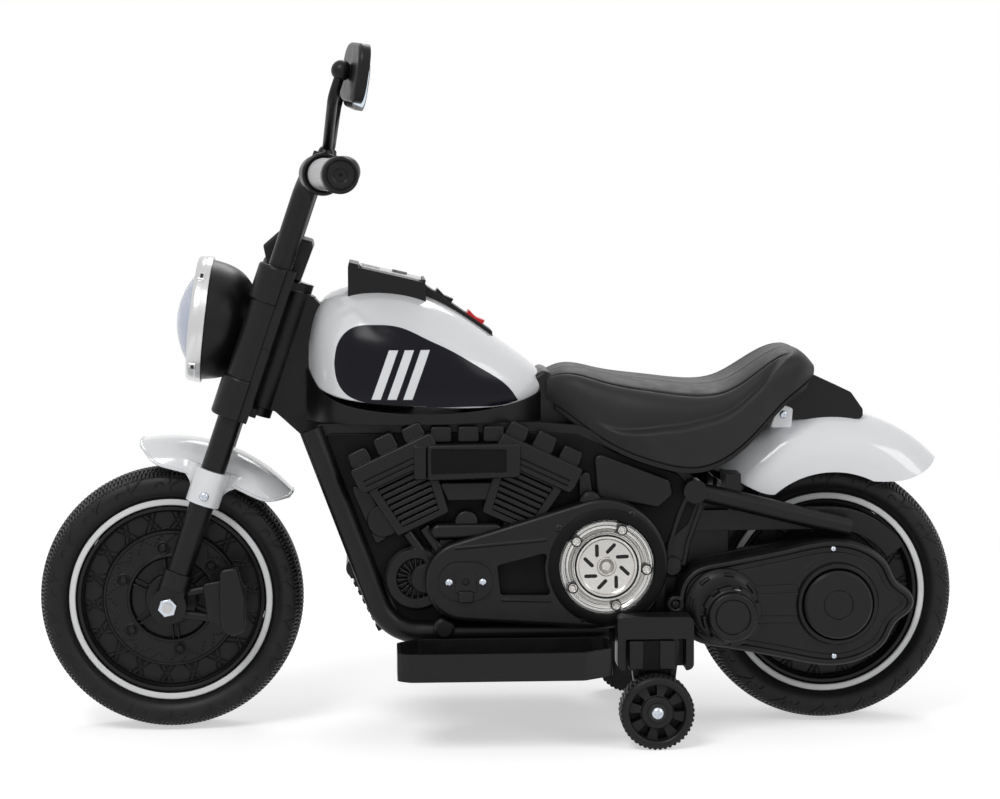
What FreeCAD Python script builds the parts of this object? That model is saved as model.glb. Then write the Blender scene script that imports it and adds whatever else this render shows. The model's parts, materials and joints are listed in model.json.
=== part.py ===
import FreeCAD, Part
import math
import os

from FreeCAD import Placement, Rotation, Vector

# Kids electric motorbike with stabilisers, in millimetres.
# The front of the bike looks along -X, +Y is its right side and +Z is up.
# The origin is on the ground, midway between the two axles.

# Wheels
WHEELBASE = 514.0
TYRE_RADIUS = 103.0
TYRE_WIDTH = 54.0
TYRE_WALL = 4.0
TYRE_HEIGHT = 30.0
RIM_WIDTH = 42.0
BARREL_WALL = 4.5
SIDEWALL_STEP = 6.0
WEB_THICKNESS = 18.0
BRAKE_DISC_SPAN = 32.0
HUB_RADIUS = 20.0
HUB_SPAN = 40.0
NECK_RADIUS = 10.0
TREAD_GROOVE_DEPTH = 1.6
TREAD_GROOVE_WIDTH = 2.0
TREAD_GROOVE_PITCH = 9.0
FRONT_AXLE_RADIUS = 4.0
REAR_AXLE_RADIUS = 5.0

# Clearances and cuts
RUNNING_GAP = 0.05
SEAT_GAP = 0.1
MOVING_GAP = 0.5
OVERRUN = 40.0
TOUCH = 0.02

# Fork, worked out along the leg from the front axle
RAKE_DEG = 18.8
LEG_SPREAD = 47.0
LEG_RADIUS = 9.5
LEG_WALL = 2.0
LEG_START = 14.0
SHOE_RADIUS = 12.0
SHOE_TOP = 27.0
BOSS_RADIUS = 14.0
BOSS_WIDTH = 16.0
CALLIPER_FRONT = 38.0
CALLIPER_REAR = 60.0
CALLIPER_TOP = 27.0
CALLIPER_BOTTOM = -24.0
CALLIPER_WIDTH = 12.0
CALLIPER_CORNER = 4.0
CALLIPER_ARM_RADIUS = 3.5
COVER_RADIUS = 13.5
COLLAR_RADIUS = 16.0
COVER_DROP = 4.0
LOWER_COLLAR_RISE = 28.0
UPPER_COLLAR_DROP = 14.0
COVER_RISE = 8.0
COLLAR_ROUND = 2.5
COVER_SEAM = 6.0
SEAM_GAP = 0.2
STRIP_BACK = 13.0
STRIP_WIDTH = 23.0
YOKE_THICKNESS = 7.0
LOWER_YOKE = 157.0
UPPER_YOKE = 259.5
YOKE_FRONT = 10.0
YOKE_END_RADIUS = 11.0
STEM_OFFSET = 18.0
STEM_RADIUS = 8.0
HEAD_TUBE_RADIUS = 15.0

# Front axle nuts
NUT_FLATS = 13.0
NUT_HEIGHT = 7.0
AXLE_END = 1.5

# Front fender
FENDER_WALL = 2.4
FENDER_ROOM = 23.0
FENDER_WIDTH = 72.0
FENDER_ROUND = 29.0
FENDER_DEPTH = 30.0
FENDER_FROM_DEG = 41.0
FENDER_SWEEP_DEG = 59.0
CLAMP_RADIUS = 13.0
CLAMP_DROP = 19.0
CLAMP_LENGTH = 33.0

# Head lamp
LAMP_FORWARD = 44.2
LAMP_DROP = 44.6
LAMP_TILT_DEG = 12.0
LAMP_RADIUS = 47.0
LAMP_DEPTH = 44.0
LAMP_WALL = 2.5
LAMP_BOSS_RADIUS = 12.0
LAMP_BRACKET_WIDTH = 30.0
LAMP_BRACKET_WALL = 5.0
LAMP_RIM_RADIUS = 49.0
LAMP_RIM_BACK = 2.0
LAMP_RIM_FRONT = 8.0
LAMP_RIM_ROUND = 2.5
LENS_RADIUS = 43.0
LENS_RISE = 19.0
LENS_WALL = 2.2

# Gauge pod between the risers
POD_WIDTH = 60.0
POD_DEPTH = 37.0
POD_HEIGHT = 34.0
POD_BACK = 19.0
POD_ROUND = 2.5

# Handlebars, grips and mirrors
BAR_RADIUS = 9.0
BAR_WALL = 2.0
BAR_RISE = 90.0
BAR_BEND_RADIUS = 22.0
GRIP_SWEEP_DEG = 9.0
GRIP_LIFT_DEG = 3.0
GRIP_START = 60.0
GRIP_LENGTH = 72.0
GRIP_RADIUS = 12.0
FLANGE_RADIUS = 16.0
FLANGE_LENGTH = 5.0
GRIP_CAP_RADIUS = 13.5
GRIP_CAP_LENGTH = 11.0
GRIP_CAP_WALL = 3.0
MIRROR_CLAMP_PLACE = 42.0
MIRROR_CLAMP_RADIUS = 14.0
MIRROR_CLAMP_LENGTH = 16.0
MIRROR_STEM_RADIUS = 3.8
MIRROR_STEM_RISE = 20.0
MIRROR_STEM_BEND = 12.0
MIRROR_BALL_FORWARD = 0.5
MIRROR_BALL_SPREAD = 142.0
MIRROR_BALL_RISE = 79.0
MIRROR_NECK_LENGTH = 20.0
MIRROR_BALL_RADIUS = 4.8
MIRROR_SOCKET_RADIUS = 7.6
MIRROR_SOCKET_GAP = 0.3
MIRROR_NECK_GAP = 0.6
MIRROR_WIDTH = 64.0
MIRROR_HEIGHT = 43.0
MIRROR_THICKNESS = 8.5
MIRROR_CORNER = 15.0
MIRROR_ROUND = 3.6
MIRROR_SETBACK = 5.6
MIRROR_TURN_DEG = 11.0
MIRROR_TILT_DEG = 10.0
GLASS_RIM = 3.0
GLASS_THICKNESS = 2.0

# Body frame, two moulded halves with a rail tube on each
BODY_FRONT_SETBACK = 111.0
BODY_REAR_GAP = 28.0
BODY_BOTTOM = 72.0
BODY_TOP = 243.0
BODY_WIDTH = 112.0
BODY_WALL = 3.0
BODY_CORNER = 6.0
RAIL_RADIUS = 9.0
RAIL_SPREAD = 59.0
RAIL_BEND = 34.0
RAIL_HEIGHT = 82.0
RAIL_LEAN_DEG = 20.0
HEAD_WEB_WIDTH = 24.0
REAR_PLATE_INNER = 36.0
REAR_PLATE_OUTER = 44.0
REAR_PLATE_HOLE = 19.0
GUARD_INNER = 54.0
GUARD_OUTER = 70.0
GUARD_SPAN = 50.0
GUARD_FROM_DEG = 36.0
STRUT_RADIUS = 7.5
STRUT_SPREAD = 62.0
STRUT_END_DEG = 78.0
STRUT_KNOB_RADIUS = 9.0
STRUT_KNOB_HEIGHT = 3.0
FENDER_LUG_LENGTH = 12.0
FENDER_LUG_HEIGHT = 20.0

# Engine side panels
PANEL_INSET = 7.0
PANEL_THICKNESS = 3.0
BARREL_FOOT_WIDTH = 41.0
BARREL_HEAD_WIDTH = 52.0
BARREL_RELIEF = 9.0
FIN_RELIEF = 13.0
FIN_COUNT = 7
FIN_THICKNESS = 2.6
CYLINDER_LEAN_DEG = 24.0
HEAD_WIDTH = 60.0
HEAD_RELIEF = 15.0
ROCKER_COUNT = 3
ROCKER_WIDTH = 13.0
ROCKER_RELIEF = 11.0
CYLINDER_SPACING = 62.0
BADGE_WIDTH = 66.0
BADGE_RELIEF = 18.0
BADGE_CORNER = 4.0
CAPSULE_RADIUS = 6.0
CAPSULE_LENGTH = 50.0
CAPSULE_RELIEF = 10.0
FAN_RADIUS = 25.0
FAN_BORE = 15.0
FAN_FORWARD = 39.0
FAN_RELIEF = 12.0
FAN_RIB_COUNT = 18
FAN_RIB_WIDTH = 1.8
SIDE_PANEL_RELIEF = 6.0
SIDE_PANEL_CORNER = 5.0

# Primary covers with the charge socket and the round side lamps
CHARGE_END_RADIUS = 31.0
SIDE_LAMP_END_RADIUS = 50.0
PRIMARY_DEPTH = 21.0
PRIMARY_WALL = 3.0
PRIMARY_ROUND = 3.0
SIDE_LAMP_RADIUS = 38.0
SIDE_LAMP_RECESS = 10.0
SIDE_LAMP_CUP_WALL = 3.0
REFLECTOR_THICKNESS = 3.0
REFLECTOR_HUB_RADIUS = 25.0
REFLECTOR_HUB_RISE = 3.5
REFLECTOR_BOSS_RADIUS = 7.0
REFLECTOR_BOSS_RISE = 1.5
SLOT_COUNT = 8
SLOT_PLACE = 14.5
SLOT_LENGTH = 9.0
SLOT_WIDTH = 2.0
SLOT_SLANT_DEG = 35.0
LENS_STEP = 2.5
PEG_COUNT = 5
PEG_RADIUS = 3.4
PEG_PLACE = 31.0
SOCKET_WIDTH = 41.0
SOCKET_HEIGHT = 30.0
SOCKET_THICKNESS = 2.0
JACK_RADIUS = 2.8
JACK_DEPTH = 10.0
JACK_WALL = 2.6
JACK_PAD = 16.0
JACK_PAD_RISE = 1.0
SOCKET_SCREW_SPREAD = 15.5

# Tank
TANK_LENGTH = 181.0
TANK_NOSE_SETBACK = 109.0
TANK_HEIGHT = 96.0
TANK_WIDTH = 140.0
TANK_WALL = 2.5
TANK_BASE_HEIGHT = 8.0
TANK_BASE_LIP = 2.0
TANK_NOTCH_GAP = 2.0

# Dash box and the switch strip behind it
DASH_WIDTH = 64.0
DASH_SINK = 26.0
DASH_ROUND = 2.0
STRIP_SPAN = 34.0
STRIP_STEP = 2.5
STRIP_SINK = 14.0
SWITCH_LENGTH = 15.0
SWITCH_WIDTH = 20.0
SWITCH_DEPTH = 7.0
SWITCH_RISE = 3.2
SWITCH_PIN_RADIUS = 1.5
SWITCH_PIN_LENGTH = 2.0
SWITCH_WELL_GAP = 1.2
BUTTON_RADIUS = 6.0
BUTTON_RISE = 3.5
BUTTON_DEPTH = 6.0
BUTTON_GAP = 0.4
BUTTON_TRAVEL = 1.5

# Seat
SEAT_GAP_FRONT = 3.0
SEAT_END_SETBACK = 12.0
SEAT_WIDTH = 142.0
SEAT_DROP = 33.0
SEAT_HEIGHT = 89.0
SEAT_WALL = 3.5
SEAT_RIB = 4.0

# Rear fender and tail
REAR_FENDER_ROOM = 13.0
REAR_FENDER_AFT = 2.0
REAR_FENDER_RISE = 28.0
REAR_FENDER_WIDTH = 92.0
REAR_FENDER_ROUND = 34.0
REAR_FENDER_DEPTH = 46.0
REAR_FENDER_FROM_DEG = 42.0
REAR_FENDER_SWEEP_DEG = 103.0
TAIL_WIDTH = 58.0
TAIL_LENGTH = 64.0
TAIL_HEIGHT = 34.0
TAIL_OVERLAP = 20.0
TAIL_SINK = 6.0
TAIL_ROUND = 4.0

# Drive covers and the gear train in the left one
DRIVE_REAR_RADIUS = 50.0
DRIVE_FRONT_RADIUS = 34.0
DRIVE_FRONT_AHEAD = 10.0
DRIVE_OUTER = 75.0
DRIVE_WALL = 3.0
DRIVE_ROUND = 4.0
DRIVE_EAR_RADIUS = 14.0
DRIVE_EAR_REACH = 53.0
AXLE_BOSS_RADIUS = 9.0
HUB_RING_RADIUS = 31.0
HUB_RING_WALL = 3.0
HUB_RING_RISE = 5.0
HUB_CAP_RISE = 9.0
HUB_CAP_ROUND = 3.0
HUB_CAP_DISC_RADIUS = 11.0
HUB_CAP_DISC_RISE = 1.5
PIN_RADIUS = 3.0
MODULE_MOTOR = 1.0
MODULE_WHEEL = 1.25
PINION_TEETH = 12
REDUCTION_TEETH = 54
SMALL_TEETH = 14
DRIVE_GEAR_TEETH = 62
PRESSURE_DEG = 20.0
TOOTH_THIN_SHARE = 0.86
GEAR_WIDTH = 7.0
GEAR_GAP = 1.5
DRIVE_SLEEVE_RADIUS = 12.0
MOTOR_RADIUS = 14.0
MOTOR_LENGTH = 36.0
MOTOR_SHAFT_RADIUS = 1.6
MOTOR_CAP_RADIUS = 22.5
MOTOR_CAP_REACH = 22.0
MOTOR_CAP_WALL = 3.0
MOTOR_CAP_NOTCHES = 8
MOTOR_CAP_NOTCH_WIDTH = 7.0
MOTOR_CAP_NOTCH_DEPTH = 3.0
MOTOR_BASE_RADIUS = 29.0
MOTOR_BASE_RISE = 5.0

# Footrests and the accelerator pedal
FOOTREST_GAP = 5.0
FOOTREST_INNER = 70.0
FOOTREST_SPAN = 66.0
FOOTREST_BOTTOM = 57.5
FOOTREST_FLOOR = 3.0
FOOTREST_HEIGHT = 21.0
FOOTREST_WALL = 3.0
FOOTREST_CORNER = 8.0
FOOTREST_FLANGE_REACH = 20.0
GRATE_COLUMNS = 7
GRATE_ROWS = 2
GRATE_SLOT_WIDTH = 3.0
PEDAL_WIDTH = 44.0
PEDAL_THICKNESS = 6.0
PEDAL_REST_DEG = 9.0
PEDAL_PIN_RADIUS = 2.5
PEDAL_PIN_HEIGHT = 5.0
PEDAL_LUG_WALL = 3.0
PEDAL_SIDE_GAP = 0.8

# Stabilisers
STAB_SETBACK = 12.0
STAB_RADIUS = 28.0
STAB_WHEEL_INNER = 97.0
STAB_WHEEL_WIDTH = 22.0
STAB_ROUND = 3.0
STAB_DISH = 5.0
STAB_BOLT_RADIUS = 3.0
STAB_BOLT_HEAD_RADIUS = 6.0
STAB_BOLT_HEAD = 3.0
BRACKET_LENGTH = 58.0
BRACKET_TOP = 99.0
BRACKET_BOTTOM = 58.0
BRACKET_INNER = 81.0
BRACKET_OUTER = 104.0
BRACKET_WALL = 6.0
BRACKET_BACK = 4.0
BRACKET_ARCH = 17.0
BRACKET_CORNER = 5.0
ARM_LENGTH = 40.0
ARM_OUTER = 95.0
ARM_FLANGE = 8.0
ARM_RECESS = 4.0

# Belly guard
GUARD_PLATE_WIDTH = 76.0
GUARD_PLATE_LENGTH = 52.0
GUARD_PLATE_DEPTH = 15.0
GUARD_LUG_RADIUS = 8.0
GUARD_RIB_COUNT = 6
GUARD_RIB_DEPTH = 2.0

# Pieces inside
BATTERY_LENGTH = 70.0
BATTERY_WIDTH = 47.0
BATTERY_HEIGHT = 101.0
TERMINAL_LENGTH = 8.0
TERMINAL_WIDTH = 5.0
TERMINAL_HEIGHT = 4.0
BOARD_LENGTH = 52.0
BOARD_HEIGHT = 36.0
BOARD_THICKNESS = 1.6
BOARD_POST_RADIUS = 2.5
BOARD_POST_LENGTH = 5.0
SPEAKER_RADIUS = 22.0
SPEAKER_HEIGHT = 16.0
SPEAKER_MAGNET_RADIUS = 12.0
SPEAKER_SINK = 3.0

# Screws
SCREW_RADIUS = 3.6
SCREW_HEIGHT = 2.2
SCREW_SLOT = 1.0
SCREW_SLOT_DEPTH = 1.1
PRIMARY_SCREWS_DEG = (60.0, 140.0, 250.0)
DRIVE_SCREWS_DEG = (90.0, 270.0)

# Outlines as shares of the sizes that they follow
BODY_OUTLINE_SHARES = (
    (0.000, 1.000), (0.640, 1.000), (0.757, 0.985), (0.923, 0.865), (1.051, 0.800), (1.125, 0.660),
    (1.088, 0.510), (1.004, 0.390), (1.000, 0.070), (0.970, 0.000), (0.300, 0.000), (0.235, 0.080),
    (0.165, 0.300),
)
TANK_X_SHARES = (0.000, 0.045, 0.140, 0.300, 0.500, 0.700, 0.880, 1.000)
TANK_TOP_SHARES = (0.590, 0.850, 0.970, 1.000, 0.925, 0.715, 0.470, 0.270)
TANK_BOTTOM_SHARES = (0.330, 0.190, 0.080, 0.020, 0.000, 0.015, 0.070, 0.165)
TANK_WIDTH_SHARES = (0.260, 0.560, 0.840, 0.980, 1.000, 0.920, 0.720, 0.420)
ARCH_WIDTH_SHARES = (0.940, 1.000, 0.880, 0.520)
ARCH_HEIGHT_SHARES = (0.000, 0.300, 0.680, 0.930)
SEAT_X_SHARES = (0.000, 0.060, 0.200, 0.400, 0.550, 0.670, 0.780, 0.880, 0.960, 1.000)
SEAT_TOP_SHARES = (0.760, 0.815, 0.775, 0.705, 0.668, 0.706, 0.855, 0.975, 0.940, 0.840)
SEAT_BOTTOM_SHARES = (0.560, 0.470, 0.240, 0.045, 0.000, 0.110, 0.330, 0.560, 0.690, 0.740)
SEAT_WIDTH_SHARES = (0.540, 0.680, 0.860, 0.990, 1.000, 0.960, 0.870, 0.760, 0.620, 0.420)
SADDLE_WIDTH_SHARES = (0.970, 1.000, 0.900, 0.560)
SADDLE_HEIGHT_SHARES = (0.000, 0.400, 0.820, 0.985)
FENDER_EDGE_SHARES = (
    (0.000, 0.970), (0.050, 0.890), (0.150, 0.830), (0.350, 0.800), (0.650, 0.800), (0.850, 0.830),
    (0.950, 0.890), (1.000, 0.970),
)
REAR_EDGE_X_SHARES = (-0.745, -0.585, -0.415, -0.210, 0.125, 0.470, 0.640, 0.720)
REAR_EDGE_Z_SHARES = (0.600, 0.515, 0.455, 0.510, 0.550, 0.545, 0.610, 0.670)
LAMP_BOWL_SHARES = ((0.00, 1.00), (0.25, 0.97), (0.58, 0.85), (0.84, 0.58), (1.00, 0.22))
POD_SHARES = ((0.00, 0.56), (0.22, 0.97), (0.94, 1.00), (1.00, 0.88), (0.97, 0.00), (0.30, 0.00))
TAIL_SHARES = ((0.00, 0.00), (0.00, 0.70), (0.30, 1.04), (0.78, 0.62), (0.93, 0.22), (0.93, 0.00))
SIDE_PANEL_SHARES = ((0.794, 0.871), (1.007, 0.743), (1.022, 0.678), (0.978, 0.614), (0.805, 0.661))
FOOTREST_SHARES = ((0.10, 0.00), (0.00, 0.24), (0.00, 0.90), (0.06, 1.00), (0.86, 1.00), (1.00, 0.74),
                   (1.00, 0.14), (0.94, 0.00))
BRAKE_DISC_SHARE = 0.726
BARREL_HEIGHT_SHARE = 0.2222
HEAD_HEIGHT_SHARE = 0.117
ROCKER_HEIGHT_SHARE = 0.0468
CYLINDER_FOOT_SHARE = 0.5614
ENGINE_CENTRE_SHARE = 0.432
BADGE_HEIGHT_SHARE = 0.1462
BADGE_BOTTOM_SHARE = 0.766
CAPSULE_HEIGHT_SHARE = 0.5240
CHARGE_X_SHARE = 0.4301
CHARGE_Z_SHARE = 0.3040
SIDE_LAMP_Z_SHARE = 0.3743
DASH_SETBACK_SHARE = 0.1713
DASH_LENGTH_SHARE = 0.3315
DASH_TOP_SHARE = 1.172
DASH_DROP_SHARE = 0.148
STRIP_LENGTH_SHARE = 0.2873
STRIP_DROP_SHARE = 0.375
SPEAKER_SHARE = 0.718
SEAT_LEG_SHARES = (0.34, 0.68, 0.93)
FOOTREST_FRONT_SHARE = 0.2353
FOOTREST_FLANGE_SHARE = 0.5556
GRATE_SLOT_SHARE = 0.5926
PEDAL_LENGTH_SHARE = 0.358
PEDAL_HINGE_SHARE = 0.58
BATTERY_FRONT_SHARE = 0.4118
BOARD_FRONT_SHARE = 0.4926
BOARD_BOTTOM_SHARE = 0.725
RAIL_TOP_SHARE = 0.985
HEAD_WEB_REACH_SHARE = 0.32
HEAD_WEB_DROP_SHARE = 0.12
STRUT_START_SHARES = (1.080, 0.690)
PLATE_LINK_SHARE = 0.78
SWITCH_PLACE_SHARES = (0.27, 0.74)
BUTTON_PLACE_SHARE = 0.66

# Places worked out from the sizes above
FRONT_AXLE = Vector(-WHEELBASE / 2, 0, TYRE_RADIUS)
REAR_AXLE = Vector(WHEELBASE / 2, 0, TYRE_RADIUS)
ACROSS = Vector(0, 1, 0)
UP = Vector(0, 0, 1)
ALONG = Vector(1, 0, 0)
ORIGIN = Vector(0, 0, 0)
FORK_PLACE = Placement(FRONT_AXLE, Rotation(ACROSS, RAKE_DEG))
BODY_HALF = BODY_WIDTH / 2
BODY_FRONT = FRONT_AXLE.x + BODY_FRONT_SETBACK
BODY_REAR = REAR_AXLE.x - TYRE_RADIUS - BODY_REAR_GAP
BODY_LENGTH = BODY_REAR - BODY_FRONT
BODY_HEIGHT = BODY_TOP - BODY_BOTTOM
BODY_END = BODY_FRONT + BODY_LENGTH * max(x for x, z in BODY_OUTLINE_SHARES)
PANEL_FACE = BODY_HALF + PANEL_THICKNESS
PRIMARY_FACE = PANEL_FACE + PRIMARY_DEPTH
TANK_NOSE = FRONT_AXLE.x + TANK_NOSE_SETBACK
TANK_BOTTOM = BODY_TOP + TANK_BASE_HEIGHT
RIM_RADIUS = TYRE_RADIUS - TYRE_HEIGHT
BRAKE_DISC_RADIUS = RIM_RADIUS * BRAKE_DISC_SHARE
FENDER_CROWN = TYRE_RADIUS + FENDER_ROOM
FENDER_SKIRT = FENDER_CROWN - FENDER_DEPTH
CLAMP_TOP = FENDER_CROWN - CLAMP_DROP
CLAMP_BOTTOM = CLAMP_TOP - CLAMP_LENGTH
REAR_FENDER_RADIUS = TYRE_RADIUS + REAR_FENDER_ROOM
REAR_FENDER_SKIRT = REAR_FENDER_RADIUS - REAR_FENDER_DEPTH
LEG_TOP = UPPER_YOKE
COVER_BOTTOM = LOWER_YOKE - COVER_DROP
LOWER_COLLAR_TOP = LOWER_YOKE + LOWER_COLLAR_RISE
UPPER_COLLAR_BOTTOM = UPPER_YOKE - UPPER_COLLAR_DROP
COVER_TOP = UPPER_YOKE + YOKE_THICKNESS + COVER_RISE
LAMP_HEIGHT = UPPER_YOKE - LAMP_DROP
BAR_HEIGHT = UPPER_YOKE + BAR_RISE
BARREL_HEIGHT = BODY_HEIGHT * BARREL_HEIGHT_SHARE
HEAD_HEIGHT = BODY_HEIGHT * HEAD_HEIGHT_SHARE
ROCKER_HEIGHT = BODY_HEIGHT * ROCKER_HEIGHT_SHARE
CYLINDER_FOOT_HEIGHT = BODY_BOTTOM + BODY_HEIGHT * CYLINDER_FOOT_SHARE
ENGINE_CENTRE = BODY_FRONT + BODY_LENGTH * ENGINE_CENTRE_SHARE
BADGE_HEIGHT = BODY_HEIGHT * BADGE_HEIGHT_SHARE
BADGE_BOTTOM = BODY_BOTTOM + BODY_HEIGHT * BADGE_BOTTOM_SHARE
CAPSULE_HEIGHT = BODY_BOTTOM + BODY_HEIGHT * CAPSULE_HEIGHT_SHARE
CHARGE_X = BODY_FRONT + BODY_LENGTH * CHARGE_X_SHARE
CHARGE_Z = BODY_BOTTOM + BODY_HEIGHT * CHARGE_Z_SHARE
SIDE_LAMP_X = BODY_REAR - SIDE_LAMP_END_RADIUS
SIDE_LAMP_Z = BODY_BOTTOM + BODY_HEIGHT * SIDE_LAMP_Z_SHARE
DASH_FRONT = TANK_NOSE + TANK_LENGTH * DASH_SETBACK_SHARE
DASH_LENGTH = TANK_LENGTH * DASH_LENGTH_SHARE
DASH_FRONT_TOP = TANK_BOTTOM + TANK_HEIGHT * DASH_TOP_SHARE
DASH_DROP = TANK_HEIGHT * DASH_DROP_SHARE
STRIP_LENGTH = TANK_LENGTH * STRIP_LENGTH_SHARE
STRIP_DROP = TANK_HEIGHT * STRIP_DROP_SHARE
SPEAKER_X = TANK_NOSE + TANK_LENGTH * SPEAKER_SHARE
SEAT_FRONT = TANK_NOSE + TANK_LENGTH + SEAT_GAP_FRONT
SEAT_LENGTH = REAR_AXLE.x - SEAT_END_SETBACK - SEAT_FRONT
SEAT_BOTTOM = BODY_TOP - SEAT_DROP
STAB_X = BODY_REAR - STAB_SETBACK
FOOTREST_FRONT = BODY_FRONT + BODY_LENGTH * FOOTREST_FRONT_SHARE
FOOTREST_LENGTH = STAB_X - BRACKET_LENGTH / 2 - FOOTREST_GAP - FOOTREST_FRONT
FOOTREST_FLANGE_LENGTH = FOOTREST_LENGTH * FOOTREST_FLANGE_SHARE
GRATE_SLOT_LENGTH = FOOTREST_LENGTH / (GRATE_COLUMNS + 1) * GRATE_SLOT_SHARE
PEDAL_LENGTH = FOOTREST_LENGTH * PEDAL_LENGTH_SHARE
PEDAL_HINGE_X = FOOTREST_FRONT + FOOTREST_LENGTH * PEDAL_HINGE_SHARE
BATTERY_FRONT = BODY_FRONT + BODY_LENGTH * BATTERY_FRONT_SHARE
BOARD_FRONT = BODY_FRONT + BODY_LENGTH * BOARD_FRONT_SHARE
BOARD_BOTTOM = BODY_BOTTOM + BODY_HEIGHT * BOARD_BOTTOM_SHARE
HUB_FACE = LEG_SPREAD - BOSS_WIDTH / 2 - MOVING_GAP
REAR_HUB_FACE = REAR_PLATE_INNER - MOVING_GAP
MOTOR_RUN = MODULE_MOTOR * (PINION_TEETH + REDUCTION_TEETH) / 2
WHEEL_RUN = MODULE_WHEEL * (SMALL_TEETH + DRIVE_GEAR_TEETH) / 2
IDLER_X = REAR_AXLE.x - WHEEL_RUN
MOTOR_X = IDLER_X - MOTOR_RUN
FIRST_GEAR_Y = -(REAR_PLATE_OUTER + GEAR_GAP)
SECOND_GEAR_Y = FIRST_GEAR_Y - GEAR_WIDTH - GEAR_GAP
MOTOR_FACE_Y = SECOND_GEAR_Y
STAB_AXLE = Vector(STAB_X, 0, STAB_RADIUS)
FENDER_CENTRE = REAR_AXLE + Vector(REAR_FENDER_AFT, 0, REAR_FENDER_RISE)


def fuse(shapes):
    """One solid from shapes that overlap or share faces."""
    return shapes[0].multiFuse(shapes[1:]).removeSplitter()


def mirrored(shape):
    """The same piece on the other side of the bike."""
    return shape.mirror(ORIGIN, ACROSS)


def pair(shape):
    """A left piece and its mirror image as one group of two solids."""
    return Part.makeCompound([shape, mirrored(shape)])


def block(x_range, y_range, z_range):
    """A box between two values along each axis."""
    corner = Vector(x_range[0], y_range[0], z_range[0])
    size = Vector(x_range[1], y_range[1], z_range[1]) - corner
    return Part.makeBox(size.x, size.y, size.z, corner)


def rod(start, end, radius):
    """A round bar from one point to another."""
    run = end - start
    return Part.makeCylinder(radius, run.Length, start, run)


def tube(start, end, outer, inner):
    """A round tube from one point to another."""
    return rod(start, end, outer).cut(rod(start, end, inner))


def rounded_wire(points, radius):
    """A closed flat wire through the points, each corner rounded as far as its sides allow."""
    edges = []
    ends = []
    count = len(points)
    for index in range(count):
        corner = points[index]
        back = points[index - 1] - corner
        ahead = points[(index + 1) % count] - corner
        turn = back.getAngle(ahead)
        reach = min(radius / math.tan(turn / 2), min(back.Length, ahead.Length) / 2.05)
        back.normalize()
        ahead.normalize()
        start = corner + back * reach
        end = corner + ahead * reach
        inward = back + ahead
        inward.normalize()
        bend = reach * math.tan(turn / 2)
        middle = corner + inward * (bend / math.sin(turn / 2) - bend)
        ends.append((start, middle, end))
    for index in range(count):
        start, middle, end = ends[index]
        edges.append(Part.Arc(start, middle, end).toShape())
        edges.append(Part.LineSegment(end, ends[(index + 1) % count][0]).toShape())
    return Part.Wire(edges)


def side_face(points, radius):
    """A flat face in the bike's side view from x, z points with rounded corners."""
    return Part.Face(rounded_wire([Vector(x, 0, z) for x, z in points], radius))


def across(face, y_from, y_to):
    """A side-view face pushed from one y to another."""
    moved = face.copy()
    moved.translate(Vector(0, y_from, 0))
    return moved.extrude(Vector(0, y_to - y_from, 0))


def side_plate(points, radius, y_from, y_to):
    """A plate with a rounded side-view outline."""
    return across(side_face(points, radius), y_from, y_to)


def plan_plate(points, radius, z_from, z_to):
    """A plate with a rounded plan outline."""
    face = Part.Face(rounded_wire([Vector(x, y, z_from) for x, y in points], radius))
    return face.extrude(Vector(0, 0, z_to - z_from))


def belt_face(first, first_radius, second, second_radius):
    """The side-view outline of a belt round two circles."""
    run = second - first
    swing = math.acos((first_radius - second_radius) / run.Length)
    heading = math.atan2(run.z, run.x)
    edges = []
    corners = []
    for centre, radius in ((first, first_radius), (second, second_radius)):
        for side in (1, -1):
            angle = heading + side * swing
            corners.append(centre + Vector(math.cos(angle), 0, math.sin(angle)) * radius)
    run.normalize()
    edges.append(Part.LineSegment(corners[0], corners[2]).toShape())
    edges.append(Part.Arc(corners[2], second + run * second_radius, corners[3]).toShape())
    edges.append(Part.LineSegment(corners[3], corners[1]).toShape())
    edges.append(Part.Arc(corners[1], first - run * first_radius, corners[0]).toShape())
    return Part.Face(Part.Wire(edges))


def bent_path(points, radius):
    """Straight runs through the points, joined by tangent arcs."""
    edges = []
    last = points[0]
    for before, corner, after in zip(points, points[1:], points[2:]):
        back = before - corner
        ahead = after - corner
        half_turn = back.getAngle(ahead) / 2
        back.normalize()
        ahead.normalize()
        reach = radius / math.tan(half_turn)
        inward = back + ahead
        inward.normalize()
        middle = corner + inward * (radius / math.sin(half_turn) - radius)
        edges.append(Part.LineSegment(last, corner + back * reach).toShape())
        edges.append(Part.Arc(corner + back * reach, middle, corner + ahead * reach).toShape())
        last = corner + ahead * reach
    edges.append(Part.LineSegment(last, points[-1]).toShape())
    return Part.Wire(edges)


def bent_bar(points, bend, radius):
    """A round bar along straight runs and arcs."""
    heading = points[1] - points[0]
    profile = Part.Wire(Part.Circle(points[0], heading, radius).toShape())
    return bent_path(points, bend).makePipeShell([profile], True, False)


def revolve(face, centre, axis, degrees=360.0):
    """A face turned about an axis."""
    return face.revolve(centre, axis, degrees)


def edges_on(shape, axis, value):
    """The edges of a shape that lie in one plane square to an axis."""
    found = []
    for edge in shape.Edges:
        box = edge.BoundBox
        low = (box.XMin, box.YMin, box.ZMin)[axis]
        high = (box.XMax, box.YMax, box.ZMax)[axis]
        if abs(low - value) < TOUCH and abs(high - value) < TOUCH:
            found.append(edge)
    return found


def soften(shape, axis, value, radius):
    """Round the edges of the face that lies at one value along an axis."""
    return shape.makeFillet(radius, edges_on(shape, axis, value))


def on_fork(shape):
    """Set a piece modelled upright on the front axle into the raked fork."""
    shape.Placement = FORK_PLACE.multiply(shape.Placement)
    return shape


def fork_point(behind, side, height):
    """A point given along the fork leg, in the bike's frame."""
    return FORK_PLACE.multVec(Vector(behind, side, height))


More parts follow.
